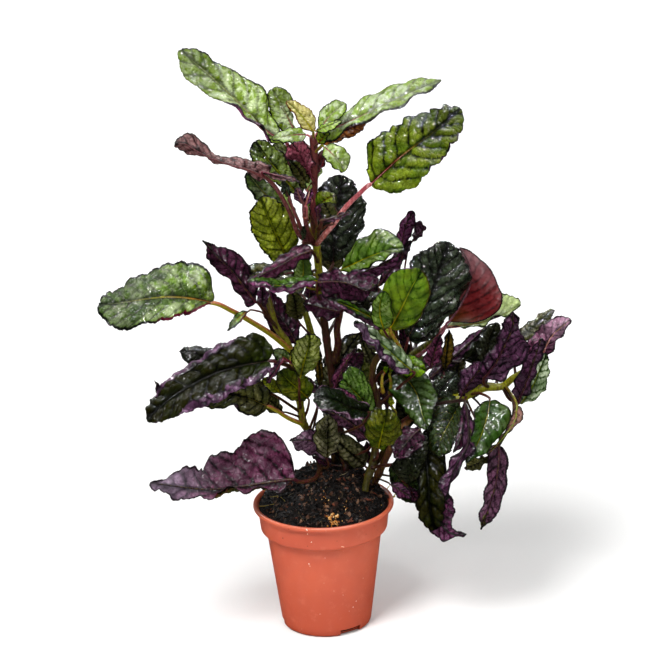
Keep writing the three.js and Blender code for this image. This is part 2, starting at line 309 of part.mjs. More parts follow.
    mid: [[106.1,-20.3,155.8],[105.4,-22.7,153.8],[103,-29.7,147.2],[98.9,-37,138.8],[93.3,-42.6,130.4],[89.3,-45.3,124.7]],
    left: [[104.9,-20.7,155.9],[102.8,-24.1,156.7],[95.8,-33.1,153.8],[91.9,-40.9,144.3],[89.1,-45.2,133.2],[88.8,-45.6,125]],
    right: [[107.3,-19.9,155.7],[110.2,-21.4,156.2],[118.7,-26.4,149.3],[111,-33.1,136.7],[99.1,-39.9,127.4],[89.8,-45,124.4]] },
  { name: 'leaf_23', color: '#3c2440', fine: false, bow: 1.5, petiole: [[-26.6,3,202],[-31,-6.1,211],[-38,-15.6,224.4]],
    mid: [[-38,-15.6,224.4],[-39.9,-16.1,227.5],[-46.1,-17.8,237.5],[-54.4,-20.6,249.7],[-63.8,-24,261],[-69.2,-26.5,269.4]],
    left: [[-38.8,-15.5,223.4],[-41.8,-13.9,222.2],[-48.5,-12.5,230.3],[-58.4,-14.3,242.8],[-66.7,-19.6,257.1],[-69.7,-26.5,268.9]],
    right: [[-37.2,-15.7,225.4],[-37.3,-14.2,228],[-38.4,-13,240.2],[-46.5,-15,254.8],[-59.9,-20.1,263.6],[-68.7,-26.5,269.9]] },
  { name: 'leaf_70', color: '#1c2a1a', fine: false, bow: 1.5, petiole: [[88.5,0.2,150.6],[87.6,-1.6,148.4],[87.6,-1.7,146.5]],
    mid: [[87.6,-1.7,146.5],[86.3,-4.8,145.4],[82.4,-13.5,141.8],[77.3,-21.9,136.2],[74.1,-27.4,128.8],[73.9,-29.4,122.7]],
    left: [[87,-0.7,147.1],[85.2,-1.7,149.8],[74.1,-5.9,151.8],[67.9,-13.1,140.7],[68.7,-21.2,128.1],[73.4,-28.9,122.7]],
    right: [[88.2,-2.7,145.9],[88.8,-7.8,146.4],[89.7,-21.1,143],[86.2,-30.7,135.5],[80.3,-33.5,127.2],[74.4,-29.9,122.7]] },
  { name: 'leaf_71', color: '#3c2440', fine: false, bow: 1.5, petiole: [[65.6,1.8,144.1],[80.9,-24.3,157.5],[89.4,-40.1,163.3]],
    mid: [[89.4,-40.1,163.3],[90.2,-41.8,159.4],[91.4,-46.9,146.7],[86.2,-52.2,131.6],[78.9,-56.4,116.4],[75.9,-58.5,105.1]],
    left: [[90.7,-40.4,163.5],[91.8,-39.9,159.1],[94.4,-42.4,144.9],[91.1,-47,128.6],[80.7,-52.8,114.8],[76.6,-58.7,105.1]],
    right: [[88.1,-39.8,163.1],[87.8,-39.1,158.5],[89.1,-40.2,143.7],[81.3,-44.5,128.7],[73,-51,114.7],[75.2,-58.3,105.1]] },
  { name: 'leaf_back_12', color: '#28331a', fine: false, bow: 1.5, petiole: [[1.5,19.4,158.6],[-0.2,24.3,160],[-1.9,29.3,161.2],[-3.7,34.4,162.2]],
    mid: [[-3.7,34.4,162.2],[-4.8,37.4,162.7],[-8.1,46.9,163.4],[-12.2,58.9,162.7],[-16.4,70.7,159.9],[-19,78.2,156.8]],
    left: [[-2.5,34.8,162.6],[-0.9,38.5,165.2],[0.7,49.9,169.2],[-3.5,62.8,168.5],[-11.4,73.6,163.3],[-18.4,78.5,157]],
    right: [[-4.9,34,161.8],[-9.3,35.8,162.1],[-18.3,43.4,162.1],[-22.8,55.1,161.4],[-22.6,68.3,159.2],[-19.6,77.9,156.6]] },
  { name: 'leaf_88', color: '#28331a', fine: false, bow: 1.5, petiole: [[-10.7,1.1,135.3],[-20.7,-8,143.7],[-27.4,-14,151],[-33.5,-20,156.9]],
    mid: [[-33.5,-20,156.9],[-35.9,-21.5,158.7],[-43.7,-25.8,164.1],[-53.9,-30.9,169.4],[-64.4,-35.3,171.8],[-71.2,-38,170.4]],
    left: [[-32.9,-19.3,157.8],[-31.9,-19.4,160.4],[-35,-20.8,172.5],[-49.1,-24.9,175.3],[-63.1,-31.2,173.3],[-71,-37.6,170.9]],
    right: [[-34.1,-20.7,156],[-35.2,-23.5,155.4],[-44.1,-31,154.4],[-54.5,-36.9,163.8],[-67.9,-39.5,163.7],[-71.4,-38.4,169.9]] },
  { name: 'leaf_33', color: '#2a1c2e', fine: false, bow: 1.5, petiole: [[2.4,6.7,216.2],[-0,-11,228.2],[0.8,-22,238.5]],
    mid: [[0.8,-22,238.5],[3.4,-23.6,239.2],[11.6,-27.7,240.7],[21.8,-31.3,239.5],[31.4,-33.2,236.2],[37.4,-33.5,239.9]],
    left: [[0.9,-22.1,239.8],[1.8,-20.9,241.3],[9.7,-21.3,245.8],[21.2,-23.9,243.1],[33.3,-28.1,244.2],[37.4,-33.5,240.6]],
    right: [[0.7,-21.9,237.2],[1.2,-20.5,234.4],[8.8,-20.4,228],[21.3,-22.8,223.8],[33.6,-27.3,229.9],[37.4,-33.5,239.2]] },
  { name: 'leaf_79', color: '#6a4055', fine: false, bow: 1.5, petiole: [[127.6,-1,166.5],[132.8,0.3,163.2],[136.5,-0.3,165.3]],
    mid: [[136.5,-0.3,165.3],[137.3,-0.9,168.4],[140.1,-2.8,178],[144.7,-4.7,189.6],[152.2,-5.9,198.6],[158.1,-6.4,203.6]],
    left: [[135.3,-0.3,165.8],[132.9,1.1,166.9],[128.6,2.1,177.9],[136.1,1,193],[148.3,-2,203.7],[157.7,-6.4,204.2]],
    right: [[137.7,-0.3,164.8],[140,1.3,164.2],[144.3,2.6,170.6],[148.9,1.6,182.9],[155.7,-1.6,194.2],[158.5,-6.4,203]] },
  { name: 'leaf_65', color: '#55661c', fine: false, bow: 1.5, petiole: [[32.4,-5.9,111.5],[35.2,-26.2,128.1]],
    mid: [[35.2,-26.2,128.1],[35.6,-28.3,130.7],[36.8,-34.2,138.9],[38.3,-40.2,148.4],[39.8,-44.4,157.2],[40.9,-46.3,162.7]],
    left: [[36.3,-25.7,127.6],[37.7,-27.2,129.1],[44.9,-31.5,133.9],[49.7,-37,145.3],[46.7,-42.2,157.6],[41.5,-46.1,162.4]],
    right: [[34.1,-26.7,128.6],[33.2,-29.4,131.2],[27.9,-37,140.7],[27.4,-43.4,153.9],[34.4,-46.6,162.6],[40.3,-46.5,163]] },
  { name: 'leaf_51', color: '#3b4a33', fine: false, bow: 1.5, petiole: [[11.4,7.8,130.7],[11.1,10.5,142.2],[7.6,10.9,153]],
    mid: [[7.6,10.9,153],[8.1,11,155.9],[9.8,11.6,165.1],[14.7,12.2,175.8],[21,12.7,185.5],[25.7,13.1,191.6]],
    left: [[8.7,11.1,152.4],[11.1,11.8,152.1],[18.8,13.4,155.7],[22.7,14.3,169.4],[25.3,14.3,183.1],[26.2,13.3,191.2]],
    right: [[6.5,10.7,153.6],[4.3,10.3,155.4],[0,9.7,165.7],[7.3,10,178.4],[17,11.2,189.1],[25.2,12.9,192]] },
  { name: 'leaf_57b', color: '#a9bd6c', fine: false, bow: 1.5, petiole: [[54.4,1.4,175.8],[68.9,4.7,185.2],[80.5,7.2,196]],
    mid: [[80.5,7.2,196],[84,9.4,195.3],[95.1,16.4,193.4],[108.8,24.7,193.3],[121.8,32.3,196.1],[130,37.2,199.2]],
    left: [[80.6,6,195.5],[84,8.3,195.1],[95.4,13.8,192.4],[109.2,21.7,193],[123,30.3,194.8],[130,36.8,198.6]],
    right: [[80.4,8.4,196.5],[83.6,12.2,196.6],[94.5,23.3,198.6],[107.5,32.6,204.1],[122.1,37.9,205.5],[130,37.6,199.8]] },
  { name: 'leaf_60', color: '#5a6a3c', fine: false, bow: 1.5, petiole: [[36.6,-3,148.1],[50.3,-10.3,163.8],[57.5,-23.8,178.7]],
    mid: [[57.5,-23.8,178.7],[55,-24.6,181.2],[47.3,-26.5,188.9],[38,-27.8,199.1],[28.3,-28,208.1],[22.2,-27.5,214.2]],
    left: [[58.2,-22.8,179.2],[58.3,-21.4,181.5],[52.1,-18.7,189.5],[41.9,-18.9,199.6],[31.1,-21.8,209.8],[22.5,-26.9,214.3]],
    right: [[56.8,-24.8,178.2],[54.2,-27.4,178.6],[44,-33.4,184.8],[33.9,-35.8,196.4],[24.8,-33.6,206.9],[21.9,-28.1,214.1]] },
  { name: 'leaf_06', color: '#28331a', fine: false, bow: 1.5, petiole: [[0.5,3.1,255],[-1.7,-0.8,273.1],[-8.7,-3.5,287.8]],
    mid: [[-8.7,-3.5,287.8],[-10.6,-3.8,290.2],[-16.6,-4.8,298.1],[-24,-6.2,308.3],[-31,-7.5,318.6],[-35,-8.4,325.9]],
    left: [[-7.6,-2.8,288.1],[-7,-2.1,290.9],[-5.5,-0.8,301.5],[-15,-1.5,312.9],[-26.2,-4.3,322.8],[-34.4,-8.1,326.1]],
    right: [[-9.8,-4.2,287.5],[-11.9,-5.1,289.7],[-21.4,-8,296.2],[-32.6,-9.8,305.2],[-38.6,-10.1,317.8],[-35.6,-8.7,325.7]] },
  { name: 'leaf_80', color: '#3c2440', fine: false, bow: 1.5, petiole: [[115.3,-1,158],[119.7,-4.2,149.8],[124.5,-8.1,149.1]],
    mid: [[124.5,-8.1,149.1],[125.6,-9,152.3],[129,-11.7,162.4],[133,-14,174.8],[136.4,-15.1,186.9],[138.6,-15.2,194.8]],
    left: [[123.2,-8,149.3],[122.2,-6.8,151.2],[122.2,-6.1,160.6],[127,-7.5,174.1],[132.8,-10.6,187.1],[137.9,-15.1,194.9]],
    right: [[125.8,-8.2,148.9],[127.3,-7.1,150.4],[133.5,-7,158],[137.4,-8.6,171.5],[140.8,-11.3,185.4],[139.3,-15.3,194.7]] },
  { name: 'leaf_48', color: '#6f5574', fine: false, bow: 1.5, petiole: [[15,3,102.3],[12.6,1,110.2],[10.3,-0,117.6]],
    mid: [[10.3,0,117.6],[8.3,-1.6,119.1],[1.9,-6,123.8],[-6.2,-10,128.3],[-14.7,-12.2,130.1],[-20.5,-12.7,129.9]],
    left: [[10,0.1,116.3],[8.6,0.3,115.5],[1.8,-1.4,113.2],[-8.1,-4.6,116.1],[-16.4,-8.5,122.9],[-20.6,-12.7,129.2]],
    right: [[10.6,-0.1,118.9],[9.8,-0,120.7],[6.8,-2.1,129.9],[-4,-5.3,134],[-14.6,-9,133.1],[-20.4,-12.7,130.6]] },
  { name: 'leaf_81', color: '#6e8560', fine: false, bow: 1.5, petiole: [[115.3,-1,158],[120.7,0.5,149.3],[126.3,-1,145.6]],
    mid: [[126.3,-1,145.6],[127.7,-1.1,147.7],[132.2,-1.5,154.7],[136.6,-2.6,164.5],[140.2,-4.3,174.9],[142.4,-5.7,181.9]],
    left: [[127.3,-0.4,144.9],[129.1,0.2,145.7],[137.4,1.6,148.9],[143.1,1,159.3],[144,-1.8,172.5],[142.9,-5.4,181.5]],
    right: [[125.3,-1.6,146.3],[124.7,-2.4,148.8],[124.1,-4.6,158.4],[129.2,-6.3,169.3],[136.7,-6.8,177.6],[141.9,-6,182.3]] },
  { name: 'leaf_40', color: '#5a6a3c', fine: false, bow: 1.5, petiole: [[-12.6,0.5,145.5],[-13.2,-12.8,162.8],[-12.9,-22.3,175.1]],
    mid: [[-12.9,-22.3,175.1],[-12.3,-23.5,177.6],[-10.5,-27,185.1],[-8.1,-31,194.5],[-6,-34.3,203.7],[-5.7,-36.3,209.8]],
    left: [[-12,-21.6,174.5],[-10.5,-22.1,176.2],[-4.1,-23.6,181.9],[0.4,-27,193],[0.2,-31.6,205.7],[-5.1,-36,209.7]],
    right: [[-13.8,-23,175.7],[-13.8,-24.9,178.4],[-16.7,-30.5,188],[-17.1,-34.9,199.3],[-11.7,-37.1,208.5],[-6.3,-36.6,209.9]] },
  { name: 'leaf_73', color: '#3c2440', fine: false, bow: 1.5, petiole: [[65.6,1.8,144.1],[76.3,-3,116.6],[78.2,-12.7,102.7],[77.7,-18.9,94.3]],
    mid: [[77.7,-18.9,94.3],[77,-20.5,92.3],[74.9,-24.7,85.3],[74.7,-28,75.3],[83,-28.9,69.1],[90.2,-28.3,69.1]],
    left: [[79,-18.9,94.5],[79.5,-19.5,92.9],[82.8,-22.1,87.1],[81.8,-25.1,78.1],[84.3,-26.9,70.6],[90.5,-28.3,69.7]],
    right: [[76.4,-18.9,94.1],[75,-19.4,92],[67.4,-22.2,83.3],[68.5,-25,69.2],[81.2,-26.8,64.8],[89.9,-28.3,68.5]] },
  { name: 'leaf_46', color: '#5b4058', fine: false, bow: 1.5, petiole: [[13.9,4.8,110.2],[30.6,-2.4,119.3],[31.3,-7.5,126.1]],
    mid: [[31.3,-7.5,126.1],[29.4,-8.2,128.3],[23.5,-9.5,135.1],[15.6,-9.8,142.7],[6.3,-8.2,147],[-0.4,-6.2,148.4]],
    left: [[30.8,-6.8,125.2],[28.7,-5.1,125.3],[20.8,-2.1,126.6],[12.7,-1.1,133.5],[4.9,-2.2,141.8],[-0.5,-5.8,147.9]],
    right: [[31.8,-8.2,127],[31,-8.5,129.7],[27.2,-10.3,139.1],[18.1,-10.6,147],[7.2,-8.8,150.4],[-0.3,-6.6,148.9]] },
  { name: 'leaf_45', color: '#28331a', fine: false, bow: 1.5, petiole: [[12,7.4,125.1],[28.1,-27.9,148.6],[28.7,-38.3,158]],
    mid: [[28.7,-38.3,158],[26.4,-40.2,159.3],[19.3,-45.7,163.6],[11,-51.1,170],[2.3,-54.8,174.7],[-3.8,-56.3,175.3]],
    left: [[29,-37.3,158.8],[29.2,-37.4,161.1],[21.9,-38.8,166.3],[11.6,-43.2,174.6],[0.4,-49.3,179.5],[-3.7,-55.8,175.8]],
    right: [[28.4,-39.3,157.2],[27.5,-43,156.8],[19.9,-52.5,159.1],[9.9,-59.1,167.1],[-0.9,-60.3,169.9],[-3.9,-56.8,174.8]] },
  { name: 'leaf_50', color: '#5b8034', fine: false, bow: 1.5, petiole: [[36.7,-2.8,138],[30.4,-8.8,146.4]],
    mid: [[30.4,-8.8,146.4],[29.5,-10.2,148.6],[26.5,-14.4,155.4],[22.2,-18.6,163.2],[17.6,-21.7,170.1],[14.5,-23.1,174.6]],
    left: [[31.5,-8.1,146.3],[32.9,-8.9,149],[33.2,-11.2,160.1],[28,-14.8,174.3],[17,-19,181.3],[14.8,-22.8,175.2]],
    right: [[29.3,-9.5,146.5],[29.1,-11.6,149.3],[24.4,-17.7,156.6],[17.3,-22.4,163.1],[11.9,-24.3,170.3],[14.2,-23.4,174]] },
];

function leafSolid(leaf, extra) {
  const n = leaf.mid.length;
  const half = LEAF_THICKNESS / 2 + extra;
  const columns = leaf.fine ? [-1, -0.5, 0, 0.5, 1] : [-1, 0, 1];
  const rows = [];
  for (let i = 0; i < n; i++) {
    const m = vec(leaf.mid[i]);
    const l = vec(leaf.left[i]);
    const r = vec(leaf.right[i]);
    const along = vec(leaf.mid[Math.min(i + 1, n - 1)]).sub(vec(leaf.mid[Math.max(i - 1, 0)])).normalize();
    const across = r.clone().sub(l).normalize();
    const up = along.clone().cross(across).normalize();
    rows.push({ m, l, r, up });
  }
  const top = [];
  const low = [];
  for (const { m, l, r, up } of rows) {
    for (const c of columns) {
      const edge = c < 0 ? l : r;
      const q = Math.abs(c);
      const p = m.clone().lerp(edge, q);
      const swell = q > 0 && q < 1 ? leaf.bow * Math.min(1, edge.distanceTo(m) / 12) : 0;
      top.push(p.clone().addScaledVector(up, swell + half));
      low.push(p.clone().addScaledVector(up, swell - half));
    }
  }
  const w = columns.length;
  const points = [...top, ...low].map((p) => [p.x, p.y, p.z]);
  const off = top.length;
  const faces = [];
  for (let i = 0; i < n - 1; i++) {
    for (let k = 0; k < w - 1; k++) {
      const a = i * w + k;
      const b = a + 1;
      const c = a + w;
      const d = c + 1;
      faces.push([a, c, b], [b, c, d], [off + a, off + b, off + c], [off + b, off + d, off + c]);
    }
  }
  const rim = [];
  for (let k = 0; k < w; k++) rim.push(k);
  for (let i = 1; i < n; i++) rim.push(i * w + w - 1);
  for (let k = w - 2; k >= 0; k--) rim.push((n - 1) * w + k);
  for (let i = n - 2; i > 0; i--) rim.push(i * w);
  for (let j = 0; j < rim.length; j++) {
    const a = rim[j];
    const b = rim[(j + 1) % rim.length];
    faces.push([a, b, off + a], [b, off + b, off + a]);
  }
  let blade = toManifold(indexed(points, faces));
  if (blade.volume() < 0) {
    blade = toManifold(indexed(points, faces.map((f) => [f[0], f[2], f[1]])));
  }
  if (leaf.petiole.length > 1) {
    const into = vec(leaf.mid[0]).lerp(vec(leaf.mid[1]), 0.75);
    const line = leaf.petiole.concat([[into.x, into.y, into.z]]);
    const tube = toManifold(bar(line, PETIOLE_RADIUS + extra, PETIOLE_RADIUS + extra, 4, Math.min(4, line.length)));
    blade = blade.add(tube);
  }
  return blade;
}

const plant = new THREE.Group();
plant.name = 'potted_purple_waffle_plant';
function addPiece(name, solid, material) {
  const mesh = new THREE.Mesh(toGeometry(solid), material);
  mesh.name = name;
  plant.add(mesh);
}

const pot = potSolid();
addPiece('pot', pot, standard('#de6a4b', 0.45, 0));

const stems = [];
for (const s of STEMS) {
  let body = stemSolid(s, 0);
  for (const other of stems) body = largest(body.subtract(other.wide));
  stems.push({ body, wide: stemSolid(s, GAP), spec: s });
}

let soil = soilSolid();
for (const s of stems) soil = soil.subtract(s.wide);
addPiece('soil', largest(soil), standard('#1d1612', 0.95, 0));
for (const s of stems) addPiece(s.spec.name, s.body, standard(s.spec.color, 0.5, 0));

function boxesMeet(a, b) {
  const p = a.boundingBox();
  const q = b.boundingBox();
  for (let i = 0; i < 3; i++) if (p.max[i] < q.min[i] || q.max[i] < p.min[i]) return false;
  return true;
}

const soilWide = (() => {
  const g = new THREE.LatheGeometry([[0, 40], [41, 40], [41.2, SOIL_EDGE_HEIGHT - 0.4], [34, soilTop(34)], [24, soilTop(24) + 0.5], [12, soilTop(12) + 0.5], [0, soilTop(0) + 0.5]].map((p) => new THREE.Vector2(p[0], p[1])), POT_SIDES);
  g.rotateX(Math.PI / 2);
  const pos = g.getAttribute('position');
  for (let i = 0; i < pos.count; i++) {
    const x = pos.getX(i);
    const y = pos.getY(i);
    if (pos.getZ(i) < SOIL_EDGE_HEIGHT) continue;
    const q = Math.max(0, 1 - (x * x + y * y) / SOIL_RADIUS ** 2);
    pos.setXYZ(i, x + SOIL_CROWN_AT[0] * q, y + SOIL_CROWN_AT[1] * q, pos.getZ(i));
  }
  return toManifold(g);
})();

const placed = [];
for (const leaf of LEAVES) {
  let body = leafSolid(leaf, 0);
  const before = body.volume();
  for (const s of stems) if (boxesMeet(body, s.wide)) body = largest(body.subtract(s.wide));
  for (const other of placed) if (boxesMeet(body, other.wide)) body = largest(body.subtract(other.wide));
  if (boxesMeet(body, soilWide)) body = largest(body.subtract(soilWide));
  if (boxesMeet(body, pot)) body = largest(body.subtract(pot));
  placed.push({ leaf, body, wide: leafSolid(leaf, GAP), kept: body.volume() / before });
}
placed.sort((a, b) => (a.leaf.name < b.leaf.name ? -1 : 1));
for (const p of placed) addPiece(p.leaf.name, p.body, standard(p.leaf.color, 0.45, 0));

export default plant;
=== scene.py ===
import math
import bpy
import numpy as np
from mathutils import Matrix, Vector


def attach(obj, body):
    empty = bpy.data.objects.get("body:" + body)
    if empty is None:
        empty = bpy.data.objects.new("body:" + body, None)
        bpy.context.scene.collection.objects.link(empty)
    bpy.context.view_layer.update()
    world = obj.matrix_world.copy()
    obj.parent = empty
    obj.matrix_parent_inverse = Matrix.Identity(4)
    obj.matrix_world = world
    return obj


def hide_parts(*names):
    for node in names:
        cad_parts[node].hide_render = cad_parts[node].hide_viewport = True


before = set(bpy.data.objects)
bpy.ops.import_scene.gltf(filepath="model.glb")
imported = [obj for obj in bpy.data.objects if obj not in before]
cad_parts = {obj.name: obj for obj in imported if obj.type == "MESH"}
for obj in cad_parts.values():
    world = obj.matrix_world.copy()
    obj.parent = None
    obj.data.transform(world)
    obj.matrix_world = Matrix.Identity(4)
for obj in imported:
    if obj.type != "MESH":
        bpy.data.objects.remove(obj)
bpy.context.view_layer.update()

# Potted purple waffle plant. Lengths in the tables are millimetres in the part's frame.
MM = 0.001
SC = bpy.context.scene

# ---------------------------------------------------------------- tables
# stems: name, line from the soil to the growing tip, foot radius, top radius
STEMS = {
    'stem_main': ([[15.0, 3.0, 102.3], [12.4, 7.0, 121.6], [8.9, 8.0, 155.5], [5.8, 8.0, 182.6], [3.4, 7.0, 208.5], [1.4, 6.0, 226.9], [1.6, 5.0, 234.5], [1.2, 4.0, 242.7], [0.3, 3.0, 256.9], [-0.6, 2.0, 267.7], [0.2, 1.0, 297.1], [0.8, 0.0, 316.0], [0.5, 0.0, 325.5]], 2.6, 1.3),
    'stem_left': ([[-1.0, 6.0, 103.5], [-4.8, 4.0, 123.4], [-10.8, 1.0, 135.7], [-13.4, 1.0, 154.8], [-16.7, 3.0, 171.8], [-17.5, 4.0, 183.5], [-19.8, 4.0, 190.3], [-26.4, 3.0, 201.6], [-29.2, 4.0, 212.0], [-32.0, 6.0, 222.7]], 2.4, 1.0),
    'stem_back': ([[8.0, 16.0, 102.9], [6.3, 20.0, 123.5], [2.5, 20.0, 151.1], [-1.8, 16.0, 180.0], [-4.6, 12.0, 193.6], [-7.9, 10.0, 207.8]], 2.2, 1.6),
    'stem_front': ([[26.6, -10.8, 93.3], [28.1, -9.0, 100.1], [31.5, -7.0, 108.1], [33.8, -3.0, 121.5], [36.9, -3.0, 145.2], [35.8, -3.0, 153.4], [33.0, -4.0, 168.7], [35.7, -5.0, 179.8], [42.1, -7.0, 187.0], [47.7, -9.0, 191.5]], 2.2, 1.4),
    'stem_mid': ([[28.0, 15.0, 94.1], [41.1, 11.0, 113.5], [47.8, 8.0, 133.7], [50.7, 6.0, 154.9], [52.1, 2.0, 171.2], [58.6, 1.0, 180.8], [66.2, 1.0, 185.9], [72.6, 2.0, 189.4]], 2.2, 1.2),
    'stem_right': ([[33.0, 7.0, 91.3], [44.8, 4.0, 117.6], [51.3, 2.0, 130.5], [61.7, 2.0, 141.8], [75.7, 1.0, 147.8], [90.3, 0.0, 151.1], [104.1, -2.0, 158.2], [115.6, -1.0, 158.1], [121.3, -1.0, 162.7], [127.6, -1.0, 166.5]], 2.3, 1.3),
}
